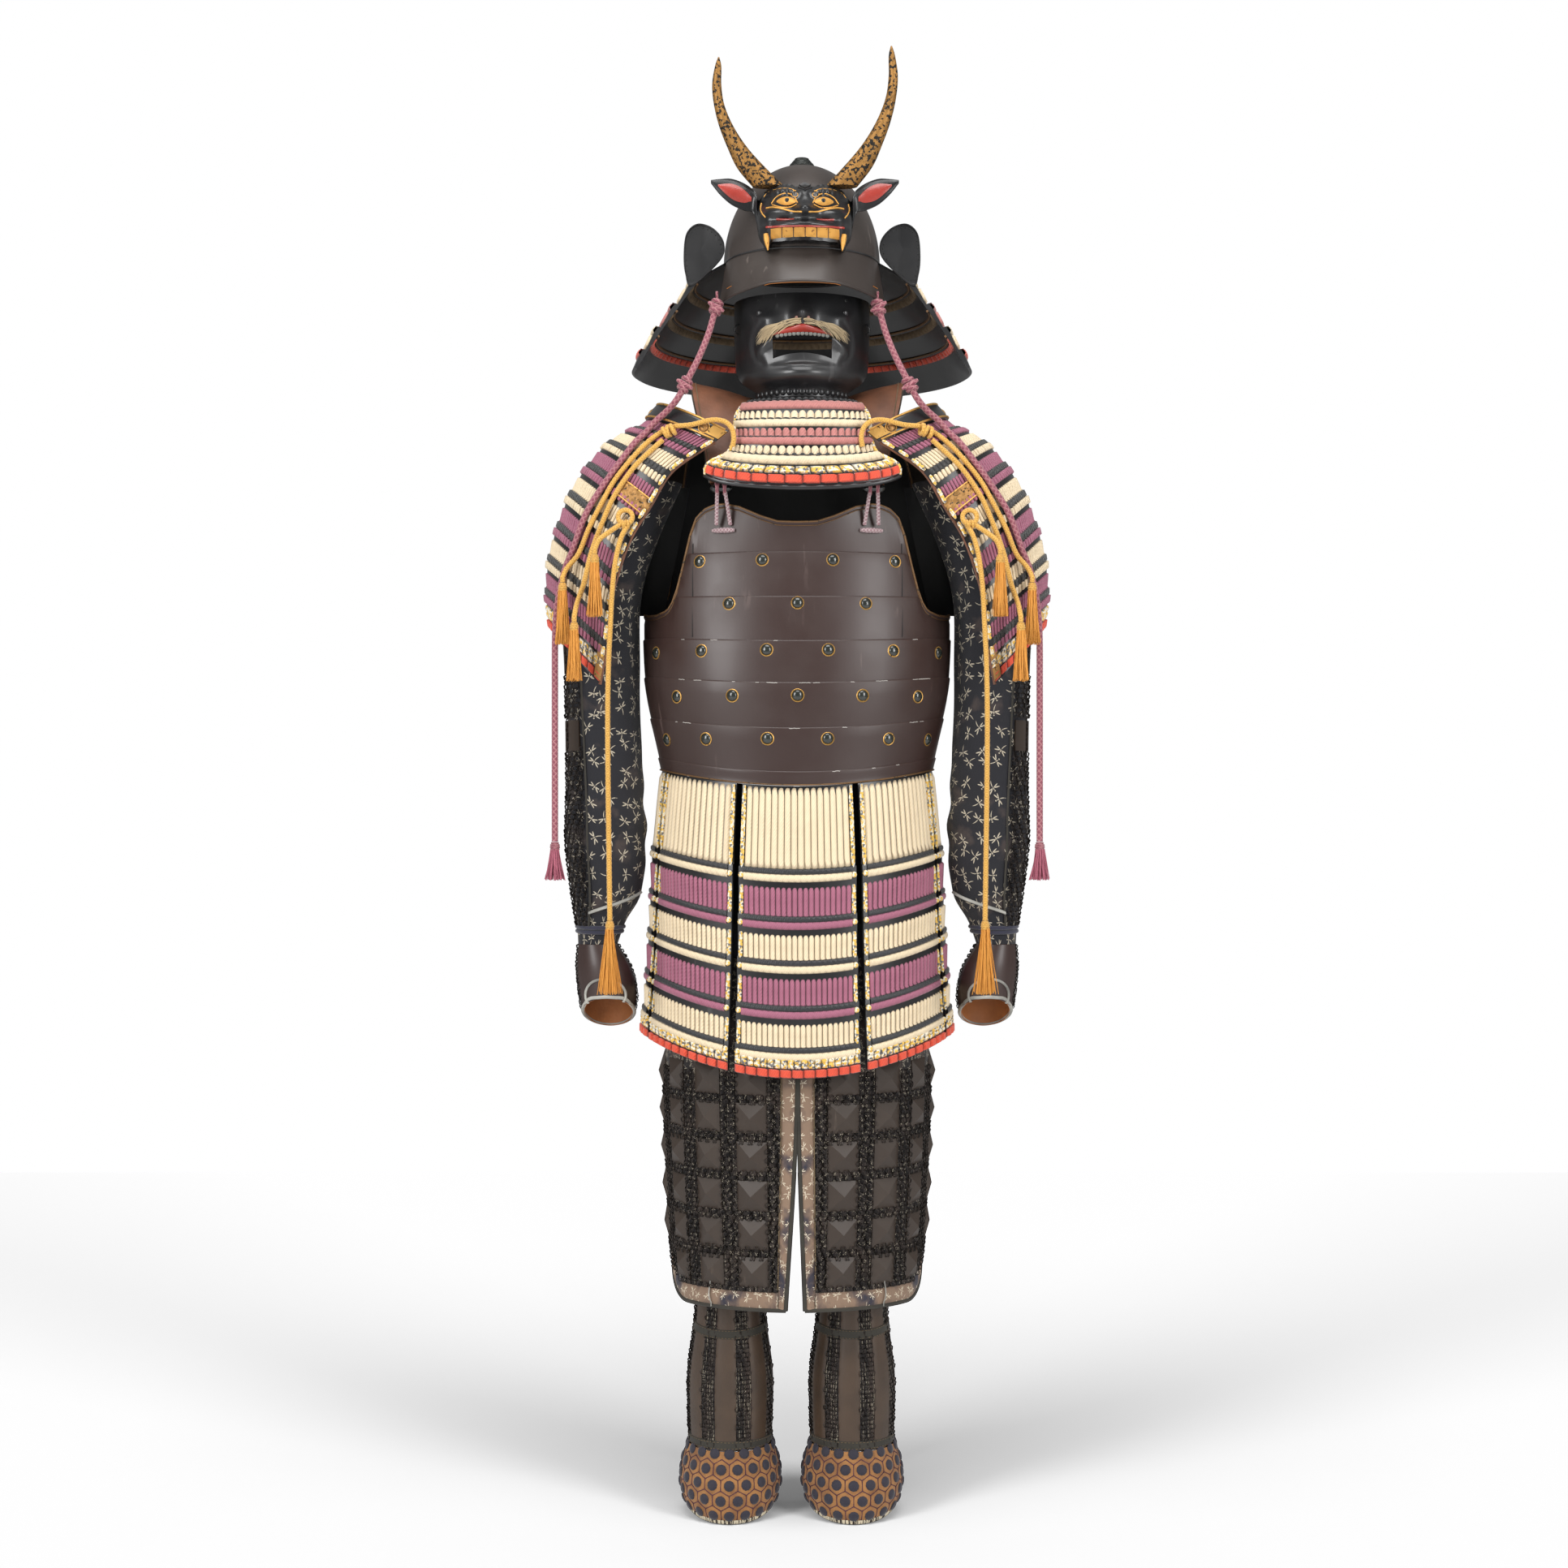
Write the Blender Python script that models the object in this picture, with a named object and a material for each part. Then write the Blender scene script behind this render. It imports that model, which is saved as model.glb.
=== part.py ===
"""Samurai armour: a laced set with helmet, mask, cuirass, skirt plates and limb guards, in its worn form.

Units are metres, +Z up, and the front faces -Y. The origin is where the wearer's shoulders hold the set up.
Every piece is a thin wall round a hollow, worked out from a few sizes and short tables of its sections.
"""

import math

import bmesh
import bpy
from mathutils import Vector

GAP = 0.0004            # what touching pieces keep between them
HEAD_X = 0.006          # helmet and mask stand a little to the wearer's left
LEG_X = -0.007          # and the legs a little to the right
CLOTH = 0.0024          # quilted cloth walls
PLATE = 0.0026          # lacquered plate walls
LAME_HEAD = 0.0040      # how far a lame's laced head stands out from the row above
LAME_LOW = 0.0008       # and how far its lower edge does

LOOKS = {
    "brown_lacquer": ((0.045, 0.026, 0.022), 0.32, 0.2),
    "black_lacquer": ((0.010, 0.010, 0.012), 0.25, 0.1),
    "lacing": ((0.55, 0.42, 0.33), 0.75, 0.0),
    "rose_cord": ((0.32, 0.07, 0.12), 0.7, 0.0),
    "gold_cord": ((0.75, 0.36, 0.03), 0.65, 0.0),
    "gilt": ((0.45, 0.25, 0.07), 0.4, 0.7),
    "leather": ((0.22, 0.09, 0.04), 0.55, 0.0),
    "blue_cloth": ((0.018, 0.016, 0.030), 0.85, 0.0),
    "hexagon_cloth": ((0.35, 0.20, 0.12), 0.85, 0.0),
}


def clear_scene():
    """Take the start-up objects away."""
    for item in list(bpy.data.objects):
        bpy.data.objects.remove(item, do_unlink=True)


def look(name):
    """The material of that name, made once."""
    made = bpy.data.materials.get(name)
    if made is None:
        colour, rough, metal = LOOKS[name]
        made = bpy.data.materials.new(name)
        made.use_nodes = True
        shader = made.node_tree.nodes["Principled BSDF"]
        shader.inputs["Base Color"].default_value = (*colour, 1.0)
        shader.inputs["Roughness"].default_value = rough
        shader.inputs["Metallic"].default_value = metal
    return made


def add_solid(name, bm, finish):
    """Turn a closed bmesh into a named object with its faces pointing out."""
    bmesh.ops.recalc_face_normals(bm, faces=bm.faces)
    mesh = bpy.data.meshes.new(name)
    bm.to_mesh(mesh)
    bm.free()
    mesh.shade_smooth()
    mesh.set_sharp_from_angle(angle=math.radians(40))
    piece = bpy.data.objects.new(name, mesh)
    piece.data.materials.append(look(finish))
    bpy.context.scene.collection.objects.link(piece)
    return piece


def at(table, key):
    """Values of a table at a key, on a smooth curve through its rows. A row is (key, value, ...)."""
    last = len(table) - 1
    i = 0
    while i < last - 1 and key > table[i + 1][0]:
        i += 1
    row0, row1 = table[i], table[i + 1]
    span = row1[0] - row0[0]
    part = (key - row0[0]) / span

    def slope(j, column):
        before, after = table[max(j - 1, 0)], table[min(j + 1, last)]
        return (after[column] - before[column]) / (after[0] - before[0])

    values = []
    for column in range(1, len(row0)):
        if part < 0 or part > 1:
            end = 0 if part < 0 else 1
            value = (row0, row1)[end][column] + slope(i + end, column) * (part - end) * span
        else:
            h00 = 2 * part ** 3 - 3 * part ** 2 + 1
            h10 = part ** 3 - 2 * part ** 2 + part
            h01 = 3 * part ** 2 - 2 * part ** 3
            h11 = part ** 3 - part ** 2
            value = h00 * row0[column] + h01 * row1[column]
            value += span * (h10 * slope(i, column) + h11 * slope(i + 1, column))
        values.append(value)
    return values


def spread(first, last, count):
    """Evenly spaced values, both ends included."""
    return [first + (last - first) * i / (count - 1) for i in range(count)]


def raised(surface, u, t, height, side=1.0):
    """The surface's point at (u, t), moved outwards by height. side -1 turns the normal over."""
    step = 1e-4
    along = surface(u + step, t) - surface(u - step, t)
    down = surface(u, t + step) - surface(u, t - step)
    return surface(u, t) + along.cross(down).normalized() * (height * side)


def ladder(bm, left, right):
    """Close the strip between two rows of points that may differ in number."""
    i = j = 0
    while i < len(left) - 1 or j < len(right) - 1:
        next_left = (i + 1) / max(len(left) - 1, 1)
        next_right = (j + 1) / max(len(right) - 1, 1)
        if j == len(right) - 1 or (i < len(left) - 1 and next_left <= next_right):
            bm.faces.new((left[i], left[i + 1], right[j]))
            i += 1
        else:
            bm.faces.new((left[i], right[j + 1], right[j]))
            j += 1


def wall(name, outer, inner, finish, closed=False, lift=None, holes=()):
    """A wall between an outer and an inner set of columns, each column running top to bottom.

    closed joins the last column to the first. lift gives the raised heights, so that ridges stay sharp.
    holes names cells (column, row) that are cut right through, where both sides have the same rows.
    """
    bm = bmesh.new()
    outs = [[bm.verts.new(point) for point in column] for column in outer]
    ins = [[bm.verts.new(point) for point in column] for column in inner]
    count = len(outs)
    for i in range(count if closed else count - 1):
        j = (i + 1) % count
        for rows, is_outer in ((outs, True), (ins, False)):
            for k in range(len(rows[i]) - 1):
                if (i, k) in holes:
                    continue
                quad = (rows[i][k], rows[i][k + 1], rows[j][k + 1], rows[j][k])
                if lift and is_outer and lift[i][k] + lift[j][k + 1] < lift[i][k + 1] + lift[j][k]:
                    bm.faces.new((quad[0], quad[1], quad[3]))
                    bm.faces.new((quad[1], quad[2], quad[3]))
                elif lift and is_outer:
                    bm.faces.new((quad[0], quad[1], quad[2]))
                    bm.faces.new((quad[0], quad[2], quad[3]))
                else:
                    bm.faces.new(quad)
        bm.faces.new((outs[i][0], outs[j][0], ins[j][0], ins[i][0]))
        bm.faces.new((outs[i][-1], outs[j][-1], ins[j][-1], ins[i][-1]))
    if not closed:
        ladder(bm, outs[0], ins[0])
        ladder(bm, outs[-1], ins[-1])
    for i, k in holes:
        edges = (
            ((i - 1, k), (i, k), (i, k + 1)),
            ((i + 1, k), (i + 1, k), (i + 1, k + 1)),
            ((i, k - 1), (i, k), (i + 1, k)),
            ((i, k + 1), (i, k + 1), (i + 1, k + 1)),
        )
        for neighbour, first, second in edges:
            if neighbour not in holes:
                a, b = first, second
                bm.faces.new((outs[a[0]][a[1]], outs[b[0]][b[1]], ins[b[0]][b[1]], ins[a[0]][a[1]]))
    return add_solid(name, bm, finish)


def laced_rows(heads, head_length, low=LAME_LOW, head=LAME_HEAD):
    """Outer profile (place, height) of laced lames: each head stands out, and its face leans back in."""
    rows = [(0.0, low)]
    for i, place in enumerate(heads):
        below = heads[i + 1] if i + 1 < len(heads) else 1.0
        if place > 0.0:
            rows.append((place - 0.004, low))
            rows.append((place, head))
        else:
            rows[0] = (0.0, head)
        rows.append((place + head_length, head))
        if i + 1 == len(heads):
            rows.append((below, low + 0.001))
    return rows


def laced_wall(name, surface, columns, heads, head_length, inner_rows, finish, side=1.0, thick=PLATE):
    """A wall of laced lames over a surface."""
    rows = laced_rows(heads, head_length)
    outer = [[raised(surface, u, t, d, side) for t, d in rows] for u in columns]
    inner = [[raised(surface, u, t, LAME_LOW - thick, side) for t in inner_rows] for u in columns]
    for u, column, lining in zip(columns, outer, inner):
        column[0].z = lining[0].z = surface(u, 0.0).z
    return wall(name, outer, inner, finish)


def turned(name, profile, centre, finish, sides=12):
    """A turned solid from (radius, height) rows, top to bottom."""
    bm = bmesh.new()
    rings = []
    for radius, height in profile:
        ring = []
        for i in range(sides):
            turn = 2 * math.pi * i / sides
            ring.append(bm.verts.new(centre + Vector((radius * math.cos(turn), radius * math.sin(turn), height))))
        rings.append(ring)
    for upper, lower in zip(rings, rings[1:]):
        for i in range(sides):
            j = (i + 1) % sides
            bm.faces.new((upper[i], upper[j], lower[j], lower[i]))
    bm.faces.new(rings[0])
    bm.faces.new(rings[-1])
    return add_solid(name, bm, finish)


# Helmet

BOWL_BACK = 0.012       # the bowl's centre lies behind the shoulders' line
BOWL_A, BOWL_B = 0.0965, 0.1150
BOWL_RIM_Z, BOWL_H = 0.1846, 0.1244
SKIRT_Z = BOWL_RIM_Z - GAP
CROWN = 0.07            # the hole under the finial, as a share of the way down
BOWL_LINING = 0.968     # the bowl's inside, as a share of its outside
BOWL_ROOF = 0.0030      # and how much lower it lies


def bowl_surface(turn, t):
    """The dome: turn goes round from the front in degrees, t from the crown to the rim."""
    angle, rise = math.radians(turn), t * math.pi / 2
    across = math.sin(rise)
    return Vector((
        HEAD_X + BOWL_A * across * math.sin(angle),
        BOWL_BACK - BOWL_B * across * math.cos(angle),
        BOWL_RIM_Z + BOWL_H * math.cos(rise),
    ))


def bowl_front(x, z):
    """How far forward the bowl or its brim comes at a place, as a Y."""
    up = max(z - BOWL_RIM_Z, 0.0) / BOWL_H
    inside = 1.0 - ((x - HEAD_X) / BOWL_A) ** 2 - up ** 2
    lip = 0.75 * max(BOWL_RIM_Z + 0.004 - z, 0.0)
    return BOWL_BACK - BOWL_B * math.sqrt(max(inside, 0.0)) - lip


# radius, height, top to bottom
FINIAL = ((0.009, 0.0115), (0.009, 0.008), (0.0125, 0.007), (0.0125, 0.004), (0.0155, 0.003), (0.0155, 0.0))


def make_bowl():
    turns = spread(0, 360 - 360 / 20, 20)
    outer = [[bowl_surface(turn, t) for t in (CROWN, 0.24, 0.42, 0.60, 0.78, 1.0)] for turn in turns]
    inner = []
    for turn in turns:
        column = []
        for t in (CROWN, 0.40, 0.70, 1.0):
            point = bowl_surface(turn, t)
            middle = Vector((HEAD_X, BOWL_BACK, BOWL_RIM_Z))
            shrunk = middle + (point - middle) * BOWL_LINING
            shrunk.z = point.z - BOWL_ROOF if t < 1.0 else point.z
            column.append(shrunk)
        inner.append(column)
    wall("helmet_bowl", outer, inner, "brown_lacquer", closed=True)
    crown = bowl_surface(0, CROWN).z
    turned("helmet_finial", FINIAL, Vector((HEAD_X, BOWL_BACK, crown + GAP)), "black_lacquer")


def brim_surface(turn, t):
    """The brim leans forward and down from the bowl's rim."""
    angle = math.radians(turn)
    a = BOWL_A + 0.0085 * t
    b = BOWL_B + 0.0270 * t
    x = a * math.sin(angle)
    drop = min(max((abs(x) - 0.040) / 0.060, 0.0), 1.0)
    low = 0.1405 - 0.0090 * drop
    return Vector((HEAD_X + x, BOWL_BACK - b * math.cos(angle), SKIRT_Z + (low - SKIRT_Z) * t))


# t, half width, half depth, height
NECK_GUARD = (
    (0.00, 0.0966, 0.1152, 0.1842),
    (0.18, 0.1300, 0.1420, 0.1630),
    (0.45, 0.1600, 0.1670, 0.1250),
    (0.75, 0.1890, 0.1910, 0.0840),
    (1.00, 0.2085, 0.2070, 0.0520),
)


def neck_guard_surface(turn, t):
    a, b, z = at(NECK_GUARD, t)
    angle = math.radians(turn)
    return Vector((HEAD_X + a * math.sin(angle), BOWL_BACK - b * math.cos(angle), z))


def make_brim_and_neck_guard():
    rows = (0.0, 0.5, 1.0)
    turns = spread(-75.0, 75.0, 15)
    outer = [[brim_surface(turn, t) for t in rows] for turn in turns]
    inner = [[raised(brim_surface, turn, t, -PLATE, -1) for t in rows] for turn in turns]
    for column in inner:
        column[0].z = SKIRT_Z
    wall("helmet_brim", outer, inner, "brown_lacquer")
    heads = (0.20, 0.41, 0.62, 0.83)
    laced_wall(
        "neck_guard", neck_guard_surface, spread(76.0, 284.0, 15), heads, 0.06,
        (0.0, 0.18, 0.45, 1.0), "black_lacquer", side=-1,
    )


def blend_closed(points, per_span):
    """A closed smooth curve through flat points, as a list of (x, z)."""
    curve = []
    count = len(points)
    for i in range(count):
        p0, p1, p2, p3 = (points[(i + j - 1) % count] for j in range(4))
        for step in range(per_span):
            s = step / per_span
            curve.append(tuple(
                0.5 * (2 * p1[c] + (p2[c] - p0[c]) * s + (2 * p0[c] - 5 * p1[c] + 4 * p2[c] - p3[c]) * s ** 2
                       + (3 * p1[c] - p0[c] - 3 * p2[c] + p3[c]) * s ** 3)
                for c in range(2)
            ))
    return curve


# outline of a turned-back ear plate: distance from the middle of the helmet, height
TURNBACK = (
    (0.1000, 0.1850), (0.0950, 0.2060), (0.1080, 0.2240), (0.1270, 0.2300), (0.1410, 0.2180),
    (0.1445, 0.1920), (0.1425, 0.1680), (0.1345, 0.1545),
)
TURNBACK_Y = -0.0240    # its back face, just in front of the neck guard's front edge


def make_turnbacks():
    outline = blend_closed(TURNBACK, 2)
    for name, side in (("turnback_l", -1), ("turnback_r", 1)):
        bm = bmesh.new()
        rows = []
        for depth in (0.0, -PLATE):
            row = []
            for x, z in outline:
                lean = 0.10 * (x - 0.120)
                row.append(bm.verts.new((HEAD_X + side * x, TURNBACK_Y + depth - abs(lean), z)))
            rows.append(row)
        back, front = rows
        count = len(outline)
        for i in range(count):
            j = (i + 1) % count
            bm.faces.new((back[i], back[j], front[j], front[i]))
        bm.faces.new(back)
        bm.faces.new(front)
        bmesh.ops.triangulate(bm, faces=[f for f in bm.faces if len(f.verts) > 4])
        add_solid(name, bm, "black_lacquer")


# Crest

CREST_X = HEAD_X + 0.003
# distance from the middle, top, bottom and depth in front of the helmet
CREST_COLUMNS = (
    (0.0000, 0.2640, 0.1890, 0.030),
    (0.0055, 0.2605, 0.1885, 0.030),
    (0.0105, 0.2570, 0.1892, 0.029),
    (0.0165, 0.2600, 0.1885, 0.028),
    (0.0225, 0.2612, 0.1890, 0.028),
    (0.0290, 0.2612, 0.1885, 0.027),
    (0.0350, 0.2600, 0.1890, 0.026),
    (0.0400, 0.2585, 0.1885, 0.025),
    (0.0455, 0.2560, 0.1790, 0.024),
    (0.0500, 0.2520, 0.1900, 0.021),
    (0.0550, 0.2460, 0.2000, 0.016),
    (0.0600, 0.2560, 0.2280, 0.006),
    (0.0720, 0.2650, 0.2330, 0.005),
    (0.0880, 0.2705, 0.2400, 0.005),
    (0.1020, 0.2700, 0.2520, 0.004),
    (0.1125, 0.2688, 0.2650, 0.003),
)
CREST_HEAD = 0.057      # half width of the head without its ears


def bump(x, z, centre_x, centre_z, wide, high):
    """A round swelling, 1 at its centre."""
    return math.exp(-((x - centre_x) / wide) ** 2 - ((z - centre_z) / high) ** 2)


def crest_relief(x, z):
    """What brows, eyes, nose, lip and teeth add to the crest's depth."""
    side = abs(x)
    if side > CREST_HEAD:
        return 0.002 * bump(side, z, 0.082, 0.254, 0.020, 0.009)
    relief = 0.0075 * bump(side, z, 0.028, 0.2500, 0.020, 0.0045)
    relief += 0.0045 * bump(side, z, 0.0225, 0.2355, 0.009, 0.0050)
    relief += 0.0130 * bump(x, z, 0.0, 0.2240, 0.0100, 0.0070)
    relief += 0.0050 * bump(side, z, 0.040, 0.2240, 0.018, 0.0055)
    relief -= 0.0050 * bump(side, z, 0.022, 0.2140, 0.014, 0.0030)
    relief += 0.0070 * bump(x, z, 0.0, 0.2055, 0.060, 0.0045)
    return relief


def make_crest():
    table = [(-row[0],) + row[1:] for row in CREST_COLUMNS[:0:-1]] + list(CREST_COLUMNS)
    fractions = (0.0, 0.09, 0.19, 0.29, 0.39, 0.48, 0.57, 0.66, 0.75, 0.83, 0.90, 1.0)
    outer, inner = [], []
    for x, top, bottom, depth in table:
        ear = abs(x) > CREST_HEAD
        front, back = [], []
        for f in fractions:
            z = top + (bottom - top) * f
            base = -0.079 - 0.10 * (abs(x) - CREST_HEAD) if ear else bowl_front(CREST_X + x, z) - 0.0012
            edge = 0.35 + 0.65 * math.sin(math.pi * min(max(f, 0.06), 0.94)) ** 0.5
            front.append(Vector((CREST_X + x, base - depth * edge - crest_relief(x, z), z)))
        for f in (0.0, 0.33, 0.66, 1.0):
            z = top + (bottom - top) * f
            base = -0.079 - 0.10 * (abs(x) - CREST_HEAD) if ear else bowl_front(CREST_X + x, z) - 0.0012
            back.append(Vector((CREST_X + x, base, z)))
        outer.append(front)
        inner.append(back)
    wall("crest_head", outer, inner, "black_lacquer")


# height, outer edge and inner edge from the crest's middle, half depth, forward
HORN = (
    (0.2617, 0.0630, 0.0240, 0.0120, -0.082),
    (0.2827, 0.0809, 0.0462, 0.0120, -0.086),
    (0.3048, 0.0920, 0.0675, 0.0108, -0.091),
    (0.3299, 0.1022, 0.0850, 0.0090, -0.096),
    (0.3549, 0.1085, 0.0960, 0.0075, -0.100),
    (0.3780, 0.1105, 0.0995, 0.0058, -0.103),
    (0.4000, 0.1070, 0.0995, 0.0036, -0.105),
    (0.4098, 0.1035, 0.1018, 0.0010, -0.106),
)
HORN_STRETCH = {"l": 1.0, "r": 1.09}    # the wearer's left horn stands a little taller


def make_horns():
    sides = 8
    for key, side in (("l", -1), ("r", 1)):
        bm = bmesh.new()
        rings = []
        for z, out, inn, depth, y in HORN:
            middle, half = (out + inn) / 2, (out - inn) / 2
            height = HORN[0][0] + (z - HORN[0][0]) * HORN_STRETCH[key]
            ring = []
            for i in range(sides):
                turn = 2 * math.pi * (i + 0.5) / sides
                x = CREST_X + side * (middle + half * math.cos(turn))
                ring.append(bm.verts.new((x, y + depth * math.sin(turn), height)))
            rings.append(ring)
        for lower, upper in zip(rings, rings[1:]):
            for i in range(sides):
                j = (i + 1) % sides
                bm.faces.new((lower[i], lower[j], upper[j], upper[i]))
        bm.faces.new(rings[0])
        bm.faces.new(rings[-1])
        add_solid("crest_horn_" + key, bm, "gilt")


# Mask and throat guard

MOUTH_HALF = 0.0360
MASK_TURNS = (-86, -70, -56, -45, -35, -25.6, -17, -8.5, 0, 8.5, 17, 25.6, 35, 45, 56, 70, 86)
# depth below the eyes, half width, half depth: heights run downwards, so the key is minus the height
MASK = (
    (-0.1360, 0.0835, 0.0800),
    (-0.1100, 0.0835, 0.0880),
    (-0.0850, 0.0830, 0.0900),
    (-0.0560, 0.0815, 0.0900),
    (-0.0380, 0.0780, 0.0930),
    (-0.0300, 0.0740, 0.0900),
    (-0.0220, 0.0660, 0.0790),
    (-0.0118, 0.0640, 0.0765),
)
MASK_ROWS = (-0.1360, -0.1230, -0.1120, -0.1020, -0.0940, -0.0830, -0.0560, -0.0460, -0.0370, -0.0290,
             -0.0220, -0.0118)
MOUTH_TOP_ROW = 5
JAW_TURN, JAW_RISE = 50.0, 0.0380      # behind this turn the lower edge rises along the jaw


def mask_surface(turn, low):
    """The face wall: nose, cheeks and chin of a stock war mask swell out of a plain half round."""
    a, b = at(MASK, low)
    angle = math.radians(turn)
    x, z = a * math.sin(angle), -low
    swell = 0.0220 * bump(x, z, 0.0, 0.1080, 0.0100, 0.0120)
    swell += 0.0070 * bump(abs(x), z, 0.0480, 0.1020, 0.0170, 0.0130)
    swell += 0.0060 * bump(x, z, 0.0, 0.0380, 0.0300, 0.0090)
    swell += 0.0035 * bump(abs(x), z, 0.0480, 0.0620, 0.0100, 0.0200)
    moustache = 0.0920 - 9.0 * x * x
    swell += 0.0050 * bump(0.0, z, 0.0, moustache, 1.0, 0.0060) * (1.0 if abs(x) < 0.054 else 0.0)
    return Vector((HEAD_X + x, 0.002 - b * math.cos(angle) - swell, z))


def make_mask():
    outer, inner, holes = [], [], set()
    for i, turn in enumerate(MASK_TURNS):
        column, lining = [], []
        for k, low in enumerate(MASK_ROWS):
            x = at(MASK, low)[0] * math.sin(math.radians(turn))
            arch = max(1.0 - (x / MOUTH_HALF) ** 2, 0.0)
            row = low
            if k == MOUTH_TOP_ROW:
                row = low - 0.0035 * arch
            elif k == MOUTH_TOP_ROW + 1:
                row = low - 0.0060 * arch
            elif k > MOUTH_TOP_ROW + 1:
                jaw = max(abs(turn) - JAW_TURN, 0.0) / (MASK_TURNS[-1] - JAW_TURN)
                row = low - JAW_RISE * jaw * (low + 0.0560) / (0.0560 - 0.0118)
            column.append(mask_surface(turn, row))
            lining.append(raised(mask_surface, turn, row, -PLATE, -1))
        lining[0].z = column[0].z
        lining[-1].z = column[-1].z
        outer.append(column)
        inner.append(lining)
        inside = abs(turn) < 30 and (i + 1 < len(MASK_TURNS)) and abs(MASK_TURNS[i + 1]) < 30
        if inside:
            holes.add((i, MOUTH_TOP_ROW))
    wall("face_mask", outer, inner, "black_lacquer", holes=holes)


# t, height, half width, front in the middle, front at the ends, rise of the ends
THROAT = (
    (0.00, 0.0114, 0.0640, -0.0750, -0.0450, 0.000),
    (0.22, -0.0154, 0.0770, -0.1060, -0.0790, 0.002),
    (0.47, -0.0450, 0.0795, -0.1210, -0.0940, 0.004),
    (0.68, -0.0700, 0.0880, -0.1280, -0.1005, 0.008),
    (0.84, -0.0890, 0.1120, -0.1310, -0.1050, 0.014),
    (1.00, -0.1070, 0.1150, -0.1330, -0.1070, 0.018),
)
THROAT_ARC = math.radians(75)


def throat_surface(u, t):
    """A bib of lames: u goes from -1 at the wearer's right to 1."""
    z, half, middle, end, rise = at(THROAT, t)
    angle = u * THROAT_ARC
    round_off = (1 - math.cos(angle)) / (1 - math.cos(THROAT_ARC))
    return Vector((
        HEAD_X + half * math.sin(angle) / math.sin(THROAT_ARC),
        middle + (end - middle) * round_off,
        z + rise * u * u,
    ))


def make_throat_guard():
    heads = (0.07, 0.28, 0.47, 0.66, 0.82)
    laced_wall(
        "throat_guard", throat_surface, spread(-1, 1, 11), heads, 0.05,
        (0.0, 0.25, 0.5, 0.84, 1.0), "black_lacquer", side=-1,
    )


# Cuirass

# key is minus the height; half width and half depth of the ring
BODY_RING = (
    (0.020, 0.1590, 0.0960),
    (0.100, 0.1680, 0.1040),
    (0.180, 0.1800, 0.1150),
    (0.245, 0.1870, 0.1240),
    (0.315, 0.1875, 0.1310),
    (0.356, 0.1830, 0.1310),
    (0.400, 0.1740, 0.1270),
    (0.437, 0.1675, 0.1230),
    (0.470, 0.1665, 0.1220),
)
SEAMS = (0.1785, 0.2321, 0.2847, 0.3344, 0.3880, 0.4397)
LINING_LOWS = (0.180, 0.245, 0.335, 0.400)
HEM_Z = 0.4560          # in the middle, as a depth below the shoulders
HEM_RISE = 0.0190       # how much higher the hem is at the sides
PLATE_STEP = 0.0014
RIM = 0.0016            # the bound rim stands this proud
RIM_WIDE = 0.0045
SIDE_GAP = 0.12         # from each half's side edge to the middle of the side, in degrees
# edge of the upper opening: distance from the middle, depth below the shoulders
FRONT_EDGE = (
    (0.0000, 0.1424), (0.0237, 0.1415), (0.0439, 0.1347), (0.0689, 0.1232), (0.0880, 0.1190),
    (0.1000, 0.1200), (0.1110, 0.1245), (0.1209, 0.1343), (0.1290, 0.1570), (0.1394, 0.2033),
    (0.1472, 0.2315), (0.1559, 0.2451), (0.1700, 0.2500),
    (0.1800, 0.2495), (0.1868, 0.2455),
)
BACK_EDGE = (
    (0.0000, 0.0360), (0.0350, 0.0350), (0.0600, 0.0290), (0.0900, 0.0260), (0.1180, 0.0300),
    (0.1360, 0.0450), (0.1460, 0.0850), (0.1530, 0.1500), (0.1600, 0.2150), (0.1690, 0.2400),
    (0.1790, 0.2450), (0.1868, 0.2455),
)


def sag(low, turn):
    """Plate edges hang lower in the middle than at the sides, more so towards the hem."""
    share = min(max((low - 0.18) / (HEM_Z - 0.18), 0.0), 1.0)
    return low - HEM_RISE * share * math.sin(math.radians(turn)) ** 2


def body_surface(turn, low, facing=-1):
    a, b = at(BODY_RING, low)
    angle = math.radians(turn)
    return Vector((a * math.sin(angle), facing * b * math.cos(angle), -low))


def falling(rows, least=0.0005):
    """Keep a column's rows in order: a row that lies above the one before is pressed under it."""
    kept = [rows[0]]
    for low, height in rows[1:]:
        if low < kept[-1][0] + least:
            low, height = kept[-1][0] + least, kept[-1][1] if len(kept) < 3 else 0.0
        kept.append((low, height))
    return kept


def make_cuirass_half(name, edge, facing):
    right = []
    for x, low in edge:
        share = min(x / at(BODY_RING, low)[0], 1.0)
        right.append((math.degrees(math.asin(share)), low))
    right[-1] = (90.0 - SIDE_GAP, right[-1][1])
    columns = [(-turn, low) for turn, low in right[:0:-1]] + right
    outer, inner = [], []
    side = -1 if facing < 0 else 1
    surface = lambda turn, low: body_surface(turn, low, facing)
    for turn, top in columns:
        rows = [(top, RIM), (top + RIM_WIDE, RIM), (top + RIM_WIDE + 0.001, 0.0)]
        for seam in SEAMS:
            rows.append((sag(seam, turn) - 0.0008, 0.0))
            rows.append((sag(seam, turn), PLATE_STEP))
        rows.append((sag(HEM_Z, turn), PLATE_STEP))
        outer.append([raised(surface, turn, low, d, side) for low, d in falling(rows)])
        knots = [(top, 0.0)] + [(low, 0.0) for low in LINING_LOWS] + [(sag(HEM_Z, turn), 0.0)]
        lining = [raised(surface, turn, low, -PLATE, side) for low, _ in falling(knots)]
        lining[0].z = outer[-1][0].z
        lining[-1].z = outer[-1][-1].z
        inner.append(lining)
    wall(name, outer, inner, "brown_lacquer")


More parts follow.
